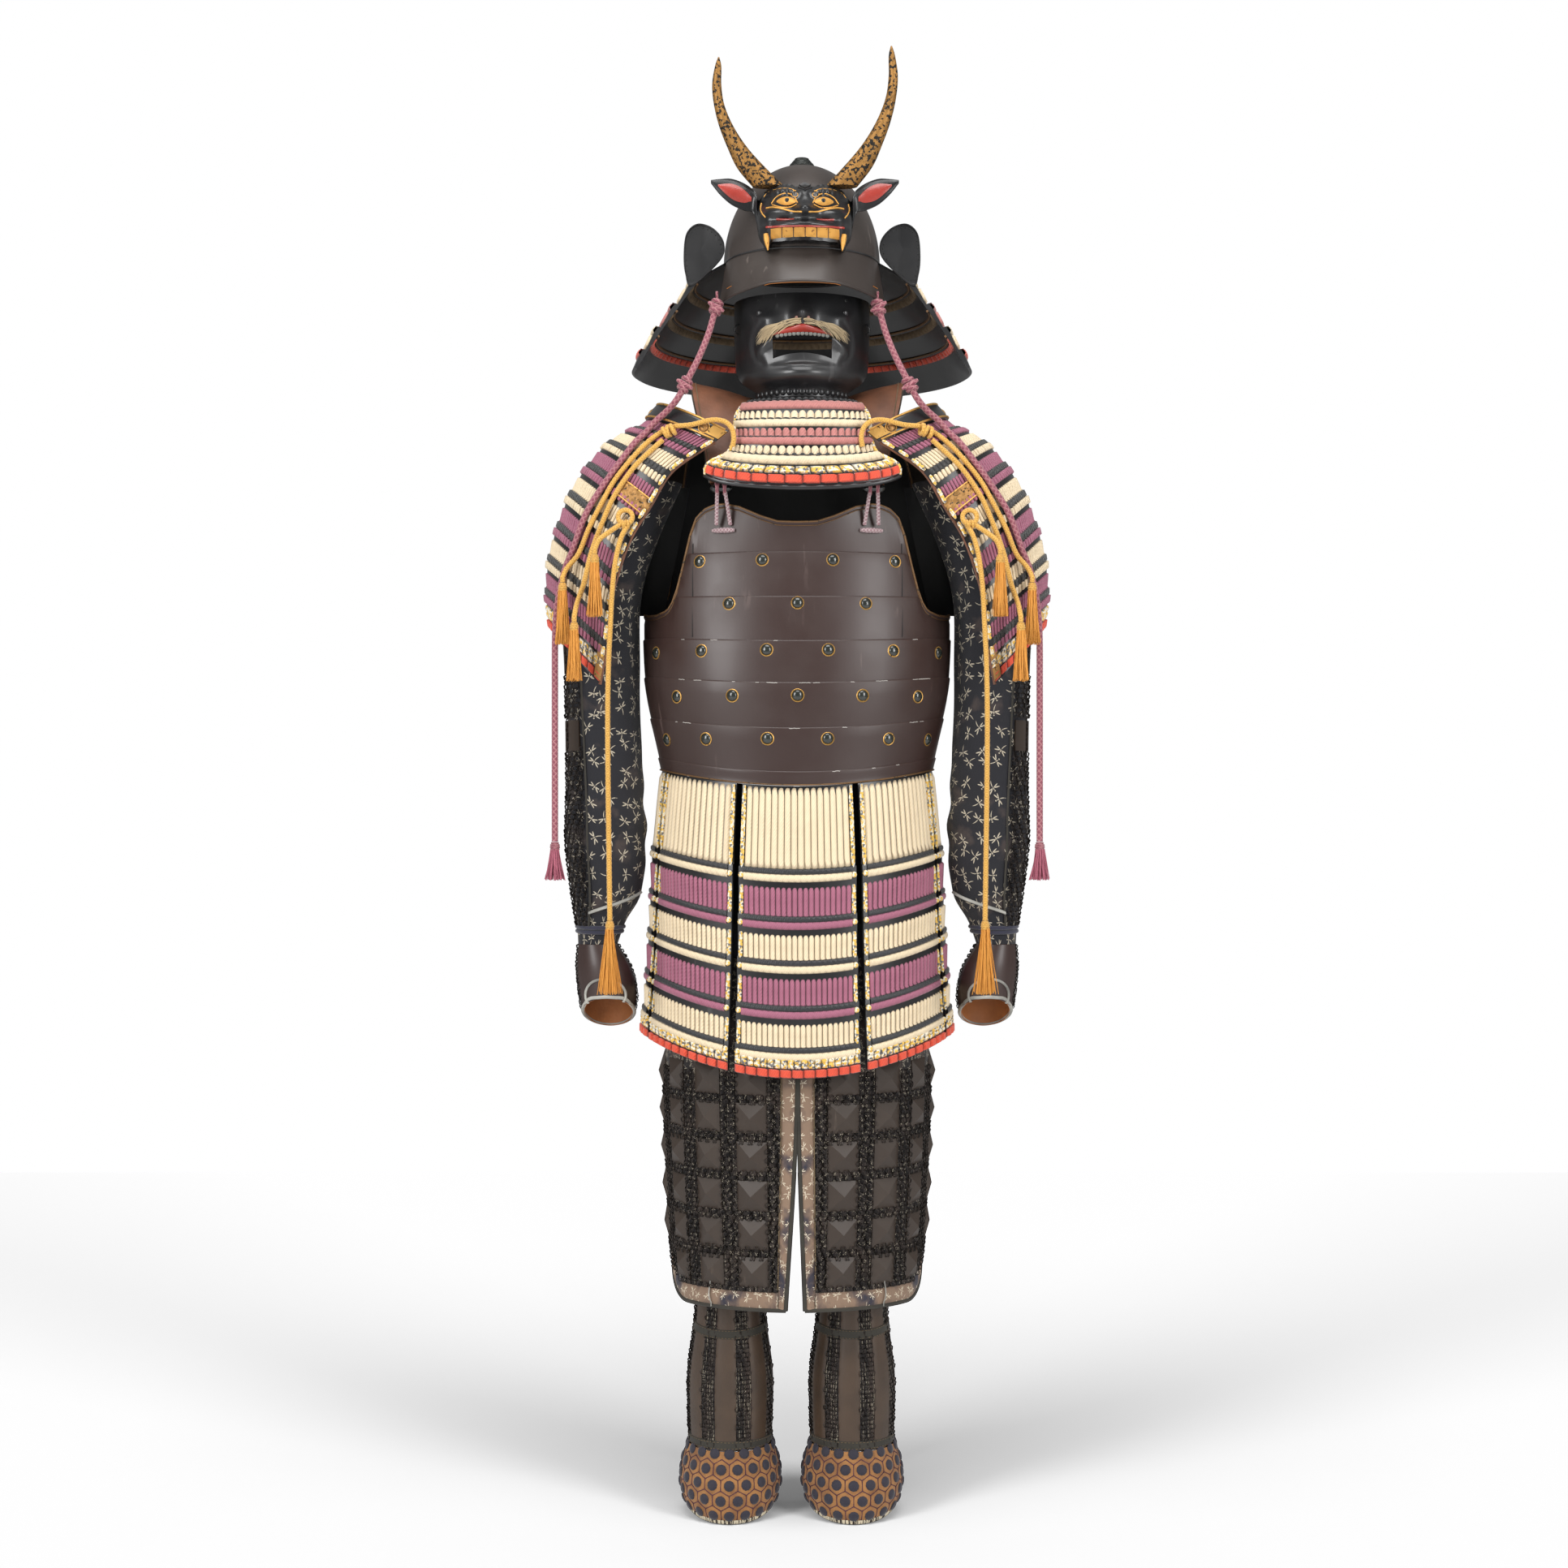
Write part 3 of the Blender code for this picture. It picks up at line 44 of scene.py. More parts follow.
HEAD_X = 0.006          # helmet and mask stand a little to the wearer's left
LEG_X = -0.007          # and the legs a little to the right


def circle(count):
    """Angles evenly round a circle."""
    return np.linspace(0, 2 * math.pi, count, endpoint=False)


# Shader node groups, each built once

def wire(tree, kind, inputs=None, **settings):
    """A new node: a socket given for an input is linked, any other value is set."""
    node = tree.nodes.new(kind)
    for key, value in settings.items():
        setattr(node, key, value)
    for key, value in (inputs or {}).items():
        if isinstance(value, bpy.types.NodeSocket):
            tree.links.new(value, node.inputs[key])
        else:
            node.inputs[key].default_value = value
    return node


def maths(tree, operation, *values):
    node = tree.nodes.new("ShaderNodeMath")
    node.operation = operation
    for slot, value in zip(node.inputs, values):
        if isinstance(value, bpy.types.NodeSocket):
            tree.links.new(value, slot)
        else:
            slot.default_value = value
    return node.outputs[0]


def mix(tree, factor, first, second):
    node = tree.nodes.new("ShaderNodeMix")
    node.data_type = "RGBA"
    for key, value in ((0, factor), (6, first), (7, second)):
        if isinstance(value, bpy.types.NodeSocket):
            tree.links.new(value, node.inputs[key])
        else:
            node.inputs[key].default_value = (*value, 1.0) if isinstance(value, tuple) else value
    return node.outputs[2]


def ramp(tree, factor, low, high):
    """0 below low, 1 above high."""
    node = wire(tree, "ShaderNodeMapRange", {"Value": factor, "From Min": low, "From Max": high}, clamp=True)
    return node.outputs[0]


def noise(tree, place, scale, detail):
    inputs = {"Vector": place, "Scale": scale, "Detail": detail}
    return wire(tree, "ShaderNodeTexNoise", inputs).outputs["Fac"]


def start_group(name, inputs, outputs):
    tree = bpy.data.node_groups.new(name, "ShaderNodeTree")
    for label, kind, value in inputs:
        socket = tree.interface.new_socket(label, in_out="INPUT", socket_type=kind)
        if value is not None:
            socket.default_value = value
    for label, kind in outputs:
        tree.interface.new_socket(label, in_out="OUTPUT", socket_type=kind)
    return tree, tree.nodes.new("NodeGroupInput").outputs, tree.nodes.new("NodeGroupOutput").inputs


FLOAT, VECTOR = "NodeSocketFloat", "NodeSocketVector"


def make_wear_group():
    """Rubbed patches and fine scratches in lacquer."""
    tree, given, result = start_group(
        "lacquer wear", (("Place", VECTOR, None), ("Patch size", FLOAT, 14.0), ("Scratch size", FLOAT, 90.0)),
        (("Rubbed", FLOAT), ("Scratches", FLOAT), ("Grain", FLOAT)),
    )
    patches = noise(tree, given["Place"], given["Patch size"], 6.0)
    tree.links.new(ramp(tree, patches, 0.46, 0.72), result["Rubbed"])
    stretched = {"Vector": given["Place"], "Rotation": (0.4, 0.7, 0.5), "Scale": (1, 1, 0.12)}
    turned = wire(tree, "ShaderNodeMapping", stretched)
    lines = noise(tree, turned.outputs[0], given["Scratch size"], 3.0)
    thin = ramp(tree, lines, 0.66, 0.70)
    tree.links.new(maths(tree, "MULTIPLY", thin, ramp(tree, patches, 0.50, 0.62)), result["Scratches"])
    grain = noise(tree, given["Place"], 420.0, 4.0)
    tree.links.new(grain, result["Grain"])
    return tree


def make_fibre_group():
    """Fine silk fibres that run along V, and slow changes of shade."""
    tree, given, result = start_group(
        "silk fibre", (("Place", VECTOR, None), ("Fibre", FLOAT, 2400.0), ("Slant", FLOAT, 0.6)),
        (("Fibres", FLOAT), ("Shade", FLOAT)),
    )
    parts = wire(tree, "ShaderNodeSeparateXYZ", {"Vector": given["Place"]})
    leaning = maths(tree, "ADD", parts.outputs[0], maths(tree, "MULTIPLY", parts.outputs[1], given["Slant"]))
    threads = maths(tree, "SINE", maths(tree, "MULTIPLY", leaning, given["Fibre"]))
    tree.links.new(maths(tree, "MULTIPLY_ADD", threads, 0.5, 0.5), result["Fibres"])
    slow = noise(tree, given["Place"], 60.0, 5.0)
    tree.links.new(slow, result["Shade"])
    return tree


def make_dust_group():
    """Pale dust that settles where the surface faces up."""
    tree, given, result = start_group("dust", (("Amount", FLOAT, 0.3),), (("Dust", FLOAT),))
    facing = wire(tree, "ShaderNodeNewGeometry")
    up = wire(tree, "ShaderNodeSeparateXYZ", {"Vector": facing.outputs["Normal"]}).outputs[2]
    clouds = noise(tree, facing.outputs["Position"], 35.0, 7.0)
    settled = maths(tree, "MULTIPLY", ramp(tree, up, 0.1, 1.0), ramp(tree, clouds, 0.35, 0.75))
    tree.links.new(maths(tree, "MULTIPLY", settled, given["Amount"]), result["Dust"])
    return tree


WEAR, FIBRE, DUST = make_wear_group(), make_fibre_group(), make_dust_group()


class Finish:
    """A material with its shader, and short ways to lay colours, dust, painted shade in valleys and relief on
    it.
    """

    def __init__(self, name, colour, rough, metal=0.0, coat=0.0, sheen=0.0):
        self.material = bpy.data.materials.new(name)
        self.material.use_nodes = True
        self.tree = self.material.node_tree
        self.shader = self.tree.nodes["Principled BSDF"]
        self.colour = colour
        self.rough = rough
        self.shader.inputs["Metallic"].default_value = metal
        self.shader.inputs["Coat Weight"].default_value = coat
        self.shader.inputs["Coat Roughness"].default_value = 0.18
        self.shader.inputs["Sheen Weight"].default_value = sheen
        self.place = wire(self.tree, "ShaderNodeTexCoord").outputs["Object"]
        self.flat = wire(self.tree, "ShaderNodeUVMap", uv_map="UVMap").outputs[0]
        self.relief = None

    def group(self, tree, **values):
        node = self.tree.nodes.new("ShaderNodeGroup")
        node.node_tree = tree
        for key, value in values.items():
            label = key.replace("_", " ")
            if isinstance(value, bpy.types.NodeSocket):
                self.tree.links.new(value, node.inputs[label])
            else:
                node.inputs[label].default_value = value
        return node.outputs

    def lay(self, factor, colour, share=1.0):
        """Lay a colour over what is there, by a mask."""
        if share != 1.0:
            factor = maths(self.tree, "MULTIPLY", factor, share)
        self.colour = mix(self.tree, factor, self.colour, colour)

    def paint_valley_shade(self, reach, colour, share):
        """Painted shade: darken the valleys between strands, by the depth kept in the mesh."""
        valley = wire(self.tree, "ShaderNodeAttribute", attribute_name="depth").outputs["Fac"]
        self.lay(ramp(self.tree, valley, reach, 0.0), colour, share)

    def rougher(self, factor, amount):
        self.rough = maths(self.tree, "MULTIPLY_ADD", factor, amount, self.rough)

    def raise_by(self, height, depth, strength):
        inputs = {"Height": height, "Distance": depth, "Strength": strength}
        if self.relief is not None:
            inputs["Normal"] = self.relief
        self.relief = wire(self.tree, "ShaderNodeBump", inputs).outputs[0]

    def done(self):
        for key, value in (("Base Color", self.colour), ("Roughness", self.rough)):
            if isinstance(value, bpy.types.NodeSocket):
                self.tree.links.new(value, self.shader.inputs[key])
            else:
                self.shader.inputs[key].default_value = (*value, 1.0) if isinstance(value, tuple) else value
        if self.relief is not None:
            self.tree.links.new(self.relief, self.shader.inputs["Normal"])
        return self.material


def lacquer(name, colour, worn, rough, coat=0.25, patch=14.0, dust=0.05):
    """Lacquer with rubbed patches, scratches and a fine orange-peel grain."""
    made = Finish(name, colour, rough, coat=coat)
    wear = made.group(WEAR, Place=made.place, Patch_size=patch)
    made.lay(wear["Rubbed"], worn, 0.55)
    made.lay(wear["Scratches"], tuple(min(3.2 * c + 0.03, 1.0) for c in worn), 0.35)
    made.lay(made.group(DUST, Amount=dust)["Dust"], (0.30, 0.27, 0.23))
    made.rougher(wear["Rubbed"], 0.16)
    made.raise_by(wear["Grain"], 0.0004, 0.12)
    return made.done()


def silk(name, colour, deep, fibre=2400.0, slant=0.6, rough=0.72):
    """Silk cord: fibres, painted shade in the valleys between strands, slow changes of shade."""
    made = Finish(name, colour, rough, sheen=0.25)
    fibres = made.group(FIBRE, Place=made.flat, Fibre=fibre, Slant=slant)
    made.lay(fibres["Shade"], tuple(0.72 * c for c in colour), 0.55)
    made.lay(fibres["Fibres"], deep, 0.22)
    # painted shade: the valleys between strands darkened to a third of the deep colour
    made.paint_valley_shade(0.55, tuple(0.35 * c for c in deep), 0.85)
    made.raise_by(fibres["Fibres"], 0.0005, 0.5)
    return made.done()


def variegated(name):
    """Braid of yellow, white and slate threads in small lozenges."""
    made = Finish(name, (0.80, 0.74, 0.60), 0.7, sheen=0.2)
    cells = wire(made.tree, "ShaderNodeTexVoronoi", {"Vector": made.flat, "Scale": 420.0})
    tone = wire(made.tree, "ShaderNodeSeparateColor", {"Color": cells.outputs["Color"]})
    made.lay(ramp(made.tree, tone.outputs[0], 0.46, 0.50), (0.80, 0.48, 0.06))
    made.lay(ramp(made.tree, tone.outputs[1], 0.80, 0.83), (0.10, 0.11, 0.13))
    fibres = made.group(FIBRE, Place=made.flat, Fibre=3000.0, Slant=1.0)
    made.lay(fibres["Fibres"], (0.35, 0.28, 0.18), 0.25)
    # painted shade: the valleys between strands darkened almost to black
    made.paint_valley_shade(0.5, (0.03, 0.03, 0.03), 0.9)
    made.raise_by(fibres["Fibres"], 0.0004, 0.4)
    return made.done()


CREAM = silk("cream lacing", (0.80, 0.66, 0.45), (0.50, 0.36, 0.20))
ROSE = silk("rose lacing", (0.36, 0.115, 0.18), (0.18, 0.045, 0.08))
PINK = silk("faded rose lacing", (0.50, 0.19, 0.17), (0.26, 0.08, 0.07))
RED = silk("red lacing", (0.72, 0.075, 0.03), (0.40, 0.03, 0.015))
DARK_BRAID = silk("black braid", (0.013, 0.014, 0.016), (0.008, 0.008, 0.010), rough=0.42)
GREY_RIBS = silk("dark ribbed edge", (0.030, 0.030, 0.028), (0.014, 0.014, 0.014), rough=0.5)
VARIEGATED = variegated("variegated braid")
BLACK = lacquer("black lacquer", (0.007, 0.007, 0.008), (0.018, 0.018, 0.018), 0.32, coat=0.15)
SATIN_BLACK = lacquer("satin black lacquer", (0.010, 0.010, 0.011), (0.024, 0.023, 0.023), 0.36,
                      coat=0.35, dust=0.03)
BROWN = lacquer("brown lacquer", (0.034, 0.017, 0.014), (0.046, 0.029, 0.025), 0.40, coat=0.06, patch=9.0)
PLATE_BROWN = lacquer("plate lacquer", (0.032, 0.020, 0.013), (0.046, 0.031, 0.021), 0.46, coat=0.0)
HELMET_BROWN = lacquer("helmet lacquer", (0.036, 0.027, 0.023), (0.060, 0.048, 0.041), 0.42,
                       coat=0.1, patch=11.0)
LINING_BLACK = lacquer("lining lacquer", (0.005, 0.005, 0.005), (0.009, 0.009, 0.009), 0.7,
                       coat=0.0, dust=0.0)


def gilt(name, colour, dark, speckle, rough=0.38, metal=0.75):
    """Leaf gilding that has flaked off in specks."""
    made = Finish(name, colour, rough, metal=metal)
    flakes = noise(made.tree, made.place, 260.0, 5.0)
    slow = noise(made.tree, made.place, 30.0, 3.0)
    made.lay(ramp(made.tree, slow, 0.4, 0.7), tuple(0.6 * c for c in colour), 0.7)
    made.lay(ramp(made.tree, flakes, 0.66 - speckle, 0.70 - speckle), dark)
    made.rougher(flakes, 0.2)
    made.raise_by(flakes, 0.0008, 0.5)
    return made.done()


GILT = gilt("gilt", (0.70, 0.40, 0.11), (0.05, 0.035, 0.02), 0.02)
HORN_GILT = gilt("horn gilding", (0.36, 0.18, 0.045), (0.016, 0.013, 0.010), 0.15, rough=0.45, metal=0.55)
GOLD_PAINT = gilt("gold paint", (0.75, 0.38, 0.08), (0.25, 0.10, 0.03), 0.0, rough=0.42, metal=0.35)
ENGRAVED = gilt("engraved gilt", (0.42, 0.22, 0.07), (0.06, 0.035, 0.015), 0.08, rough=0.4, metal=0.6)
BRONZE_RIM = gilt("bronze rim", (0.16, 0.085, 0.035), (0.04, 0.03, 0.02), 0.05, rough=0.45, metal=0.5)


def plain(name, colour, rough, scale=300.0, depth=0.0006, metal=0.0, coat=0.0, dark=0.55, sheen=0.0):
    """A finish with mottled colour and a fine grain."""
    made = Finish(name, colour, rough, metal=metal, coat=coat, sheen=sheen)
    slow = noise(made.tree, made.place, 24.0, 8.0)
    fine = noise(made.tree, made.place, scale, 4.0)
    made.lay(ramp(made.tree, slow, 0.35, 0.70), tuple(dark * c for c in colour), 0.8)
    made.rougher(fine, 0.15)
    made.raise_by(fine, depth, 0.4)
    return made.done()


RED_LACQUER = plain("red lacquer", (0.38, 0.035, 0.022), 0.3, coat=0.4)
ORANGE_EDGE = plain("bare orange edge", (0.50, 0.17, 0.03), 0.6)
LEATHER = plain("strap leather", (0.20, 0.075, 0.035), 0.5, depth=0.0010, dark=0.35)
LEATHER_DARK = plain("dark leather", (0.045, 0.034, 0.024), 0.55, depth=0.0008)
PALM_LEATHER = plain("palm leather", (0.36, 0.12, 0.03), 0.6, depth=0.0012, dark=0.45)
IRON = plain("dark iron", (0.040, 0.043, 0.040), 0.35, metal=0.7)
MAIL_IRON = plain("mail iron", (0.040, 0.032, 0.028), 0.42, metal=0.75, dark=0.4)
PALE_BINDING = plain("grey white binding", (0.42, 0.41, 0.37), 0.75, scale=120.0, depth=0.0015, dark=0.12)
NAVY_CORD = plain("navy cord", (0.020, 0.020, 0.042), 0.8, sheen=0.3)
DARK_BINDING = plain("olive dark binding", (0.030, 0.026, 0.018), 0.7, sheen=0.1)
SPLINT = plain("splint lacquer", (0.062, 0.036, 0.020), 0.44, coat=0.05, dark=0.55)
STITCH = plain("old stitches", (0.16, 0.11, 0.06), 0.8)
CREAM_PRINT = plain("cream print", (0.72, 0.64, 0.48), 0.85, dark=0.7)
FUR = plain("moustache hair", (0.52, 0.40, 0.24), 0.8, dark=0.45)


# Surfaces, as in the solids

def at(table, key):
    """Values of a table at a key, on a smooth curve through its rows. A row is (key, value, ...)."""
    last = len(table) - 1
    i = 0
    while i < last - 1 and key > table[i + 1][0]:
        i += 1
    row0, row1 = table[i], table[i + 1]
    span = row1[0] - row0[0]
    part = (key - row0[0]) / span

    def slope(j, column):
        before, after = table[max(j - 1, 0)], table[min(j + 1, last)]
        return (after[column] - before[column]) / (after[0] - before[0])

    values = []
    for column in range(1, len(row0)):
        if part < 0 or part > 1:
            end = 0 if part < 0 else 1
            value = (row0, row1)[end][column] + slope(i + end, column) * (part - end) * span
        else:
            h00 = 2 * part ** 3 - 3 * part ** 2 + 1
            h10 = part ** 3 - 2 * part ** 2 + part
            h01 = 3 * part ** 2 - 2 * part ** 3
            h11 = part ** 3 - part ** 2
            value = h00 * row0[column] + h01 * row1[column]
            value += span * (h10 * slope(i, column) + h11 * slope(i + 1, column))
        values.append(value)
    return values


HEM_Z, HEM_RISE = 0.4560, 0.0190
SKIRT = ((0.00, 0.1655, 0.1200), (0.28, 0.1740, 0.1280), (0.60, 0.1785, 0.1340), (0.90, 0.1850, 0.1405),
         (1.00, 0.1885, 0.1430))
SKIRT_GAPS = (24.4, 70.7, 124.0, 180.0)
SKIRT_SLIT = 1.3
SKIRT_LOW, SKIRT_RISE = 0.8000, 0.0420
SKIRT_HEADS = (0.285, 0.448, 0.598, 0.753, 0.895)


def skirt_surface(turn, t):
    a, b = at(SKIRT, t)
    angle = math.radians(turn)
    across = math.sin(angle) ** 2
    top = -HEM_Z + HEM_RISE * across - 0.0008
    low = -SKIRT_LOW + SKIRT_RISE * across
    return a * math.sin(angle), -b * math.cos(angle), top + (low - top) * t


GUARD = (
    (-1.0, 0.1690, 0.0110, 0.0815, -0.0335, 0.101), (0.0, 0.1850, -0.0070, 0.0976, -0.0465, 0.102),
    (1.0, 0.1990, -0.0175, 0.1130, -0.0560, 0.102), (2.0, 0.2290, -0.0330, 0.1500, -0.0830, 0.102),
    (3.0, 0.2540, -0.0590, 0.1745, -0.1225, 0.101), (4.0, 0.2770, -0.0930, 0.1985, -0.1620, 0.100),
    (5.0, 0.2920, -0.1310, 0.2145, -0.2060, 0.098), (6.0, 0.3040, -0.1710, 0.2230, -0.2430, 0.096),
    (7.0, 0.3080, -0.2120, 0.2270, -0.2850, 0.094), (8.2, 0.3040, -0.2620, 0.2360, -0.3350, 0.091),
)
GUARD_LAST = 8.2
GUARD_SINK = 0.0027     # the plates lie this much under the surface


def guard_surface(side):
    def surface(turn, row):
        out_x, out_z, edge_x, edge_z, depth = at(GUARD, row)
        share = math.cos(math.radians(turn))
        return (side * (edge_x + (out_x - edge_x) * share), depth * math.sin(math.radians(turn)),
                edge_z + (out_z - edge_z) * share)
    return surface


THROAT = (
    (0.00, 0.0114, 0.0640, -0.0750, -0.0450, 0.000), (0.22, -0.0154, 0.0770, -0.1060, -0.0790, 0.002),
    (0.47, -0.0450, 0.0795, -0.1210, -0.0940, 0.004), (0.68, -0.0700, 0.0880, -0.1280, -0.1005, 0.008),
    (0.84, -0.0890, 0.1120, -0.1310, -0.1050, 0.014), (1.00, -0.1070, 0.1150, -0.1330, -0.1070, 0.018),
)
THROAT_ARC = math.radians(75)


def throat_surface(u, t):
    z, half, middle, end, rise = at(THROAT, t)
    angle = u * THROAT_ARC
    round_off = (1 - math.cos(angle)) / (1 - math.cos(THROAT_ARC))
    return (HEAD_X + half * math.sin(angle) / math.sin(THROAT_ARC), middle + (end - middle) * round_off,
            z + rise * u * u)


BOWL_BACK = 0.012
NECK_GUARD = ((0.00, 0.0966, 0.1152, 0.1842), (0.18, 0.1300, 0.1420, 0.1630), (0.45, 0.1600, 0.1670, 0.1250),
              (0.75, 0.1890, 0.1910, 0.0840), (1.00, 0.2085, 0.2070, 0.0520))


def neck_guard_surface(turn, t):
    a, b, z = at(NECK_GUARD, t)
    angle = math.radians(turn)
    return HEAD_X + a * math.sin(angle), BOWL_BACK - b * math.cos(angle), z


class Patch:
    """A stretch of a surface, sampled once, so that many points on it are quick to find."""

    def __init__(self, surface, us, ts, side=1.0, cells=(49, 73)):
        self.us, self.ts, self.cells = us, ts, cells
        across, down = np.linspace(*us, cells[0]), np.linspace(*ts, cells[1])
        grid = np.array([[surface(u, t) for t in down] for u in across])
        normal = np.cross(np.gradient(grid, axis=0), np.gradient(grid, axis=1))
        normal /= np.linalg.norm(normal, axis=2, keepdims=True)
        self.grid, self.normal = grid, normal * side

    def look_up(self, table, u, t):
        fu = np.clip((u - self.us[0]) / (self.us[1] - self.us[0]), 0, 1) * (self.cells[0] - 1)
        ft = np.clip((t - self.ts[0]) / (self.ts[1] - self.ts[0]), 0, 1) * (self.cells[1] - 1)
        i = np.minimum(fu.astype(int), self.cells[0] - 2)
        j = np.minimum(ft.astype(int), self.cells[1] - 2)
        a, b = (fu - i)[..., None], (ft - j)[..., None]
        return ((table[i, j] * (1 - a) + table[i + 1, j] * a) * (1 - b)
                + (table[i, j + 1] * (1 - a) + table[i + 1, j + 1] * a) * b)

    def points(self, u, t, height=0.0):
        u, t, height = np.broadcast_arrays(*(np.asarray(part, float) for part in (u, t, height)))
        return self.look_up(self.grid, u, t) + self.look_up(self.normal, u, t) * height[..., None]

    def seat(self, u, t, lift):
        """A point over the surface, and the way the surface faces there."""
        return self.points(u, t, lift), self.look_up(self.normal, np.array(float(u)), np.array(float(t)))

    def width(self, t):
        line = self.points(np.linspace(*self.us, 60), t)
        return float(np.linalg.norm(np.diff(line, axis=0), axis=1).sum())

    def length(self, t0, t1, u=None):
        u = sum(self.us) / 2 if u is None else u
        line = self.points(u, np.linspace(t0, t1, 30))
        return float(np.linalg.norm(np.diff(line, axis=0), axis=1).sum())


class Piece:
    """Gathers grids of points into one mesh object with several finishes."""

    def __init__(self, name):
        self.name = name
        self.verts, self.faces, self.finish, self.flat, self.depth = [], [], [], [], []
        self.materials = []

    def slot_of(self, material):
        if material not in self.materials:
            self.materials.append(material)
        return self.materials.index(material)

    def grid(self, points, material, flat=None, depth=None, wrap=False):
        """Quads between neighbouring points of an (n, m, 3) array. Returns the number of its first point."""
        n, m = points.shape[:2]
        start = len(self.verts)
        self.verts.extend(points.reshape(-1, 3).tolist())
        flat = np.zeros((n, m, 2)) if flat is None else flat
        self.flat.extend(flat.reshape(-1, 2).tolist())
        depth = np.ones((n, m)) if depth is None else np.broadcast_to(depth, (n, m))
        self.depth.extend(depth.reshape(-1).tolist())
        slot = self.slot_of(material)
        for i in range(n if wrap else n - 1):
            a, b = start + i * m, start + ((i + 1) % n) * m
            self.faces.extend((a + j, a + j + 1, b + j + 1, b + j) for j in range(m - 1))
            self.finish.extend([slot] * (m - 1))
        return start

    def close(self, front, back, material):
        """The four edges of a wall, between its front and its back."""
        for a, b in ((front[0], back[0]), (back[-1], front[-1])):
            self.grid(np.stack([a, b]), material)
        for a, b in ((back[:, 0], front[:, 0]), (front[:, -1], back[:, -1])):
            self.grid(np.stack([a, b]), material)

    def cap(self, first, step, count, material):
        """One face through every step-th point from the first."""
        self.faces.append(tuple(first + i * step for i in range(count)))
        self.finish.append(self.slot_of(material))

    def face(self, points, material):
        start = len(self.verts)
        self.verts.extend([list(p) for p in points])
        self.flat.extend([(0.0, 0.0)] * len(points))
        self.depth.extend([1.0] * len(points))
        self.faces.append(tuple(range(start, start + len(points))))
        self.finish.append(self.slot_of(material))

    def tube(self, points, radius, material, sides=8, closed=False, bulge=None, flat=1.0):
        """A tube along points, its ends filled. bulge(along, round) scales its radius, as a braid does."""
        points = np.asarray(points, float)
        count = len(points)
        along = np.gradient(points, axis=0)
        if closed:
            along = np.roll(points, -1, axis=0) - np.roll(points, 1, axis=0)
        along /= np.maximum(np.linalg.norm(along, axis=1, keepdims=True), 1e-9)
        radius = np.broadcast_to(np.asarray(radius, float), (count,))
        guide = np.array([0.0, 1.0, 0.0]) if abs(along[0][1]) < 0.9 else np.array([1.0, 0.0, 0.0])
        across = np.zeros_like(points)
        for i in range(count):
            guide = guide - along[i] * np.dot(guide, along[i])
            guide /= max(np.linalg.norm(guide), 1e-9)
            across[i] = guide
        over = np.cross(along, across)
        step = np.concatenate([[0], np.cumsum(np.linalg.norm(np.diff(points, axis=0), axis=1))])
        angle = circle(sides)
        spin = angle[:, None] + 0 * step[None, :]
        scale = np.ones((sides, count)) if bulge is None else bulge(step[None, :], spin)
        reach = (radius[None, :] * scale)[..., None]
        out = np.cos(spin)[..., None] * across[None] + flat * np.sin(spin)[..., None] * over[None]
        ring = points[None] + reach * out
        uv = np.stack([np.broadcast_to(angle[:, None] * radius.mean(), (sides, count)),
                       np.broadcast_to(step[None, :], (sides, count))], axis=2)
        # the bulge also gives the depth by which the finishes paint shade into the braid's valleys
        shade = None
        if bulge is not None:
            shade = np.clip((scale - scale.min()) / max(float(np.ptp(scale)), 1e-9), 0, 1)
        if closed:
            ring = np.concatenate([ring, ring[:, :1]], axis=1)
            uv = np.concatenate([uv, uv[:, -1:]], axis=1)
            shade = None if shade is None else np.concatenate([shade, shade[:, :1]], axis=1)
        start = self.grid(ring, material, uv, shade, wrap=True)
        if not closed:
            slot, m = self.slot_of(material), count
            self.faces.append(tuple(start + i * m for i in range(sides)))
            self.faces.append(tuple(start + i * m + m - 1 for i in reversed(range(sides))))
            self.finish.extend([slot, slot])
        return ring

    def done(self, slot=None, replaces=(), sharp=50.0, weld=False):
        mesh = bpy.data.meshes.new(self.name)
        mesh.from_pydata(self.verts, [], self.faces)
        for material in self.materials:
            mesh.materials.append(material)
        mesh.polygons.foreach_set("material_index", self.finish)
        corners = np.zeros(len(mesh.loops), int)
        mesh.loops.foreach_get("vertex_index", corners)
        layer = mesh.uv_layers.new(name="UVMap")
        layer.data.foreach_set("uv", np.asarray(self.flat, np.float32)[corners].ravel())
        depth = mesh.attributes.new("depth", "FLOAT", "POINT")
        depth.data.foreach_set("value", np.asarray(self.depth, np.float32))
        if weld:
            solid = bmesh.new()
            solid.from_mesh(mesh)
            bmesh.ops.remove_doubles(solid, verts=solid.verts, dist=0.00002)
            solid.to_mesh(mesh)
            solid.free()
        mesh.validate()
        mesh.shade_smooth()
        mesh.set_sharp_from_angle(angle=math.radians(sharp))
        made = bpy.data.objects.new(self.name, mesh)
        bpy.context.scene.collection.objects.link(made)
        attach(made, "root")
        if replaces:
            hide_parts(*replaces)
        return made


# Lacing

def dome(x):
    """A half round over 0 to 1."""
    return np.sqrt(np.clip(1 - (2 * x - 1) ** 2, 0, 1))


BRAID_LEAN = 1.4        # how many stitches a braid's strand leans over its height


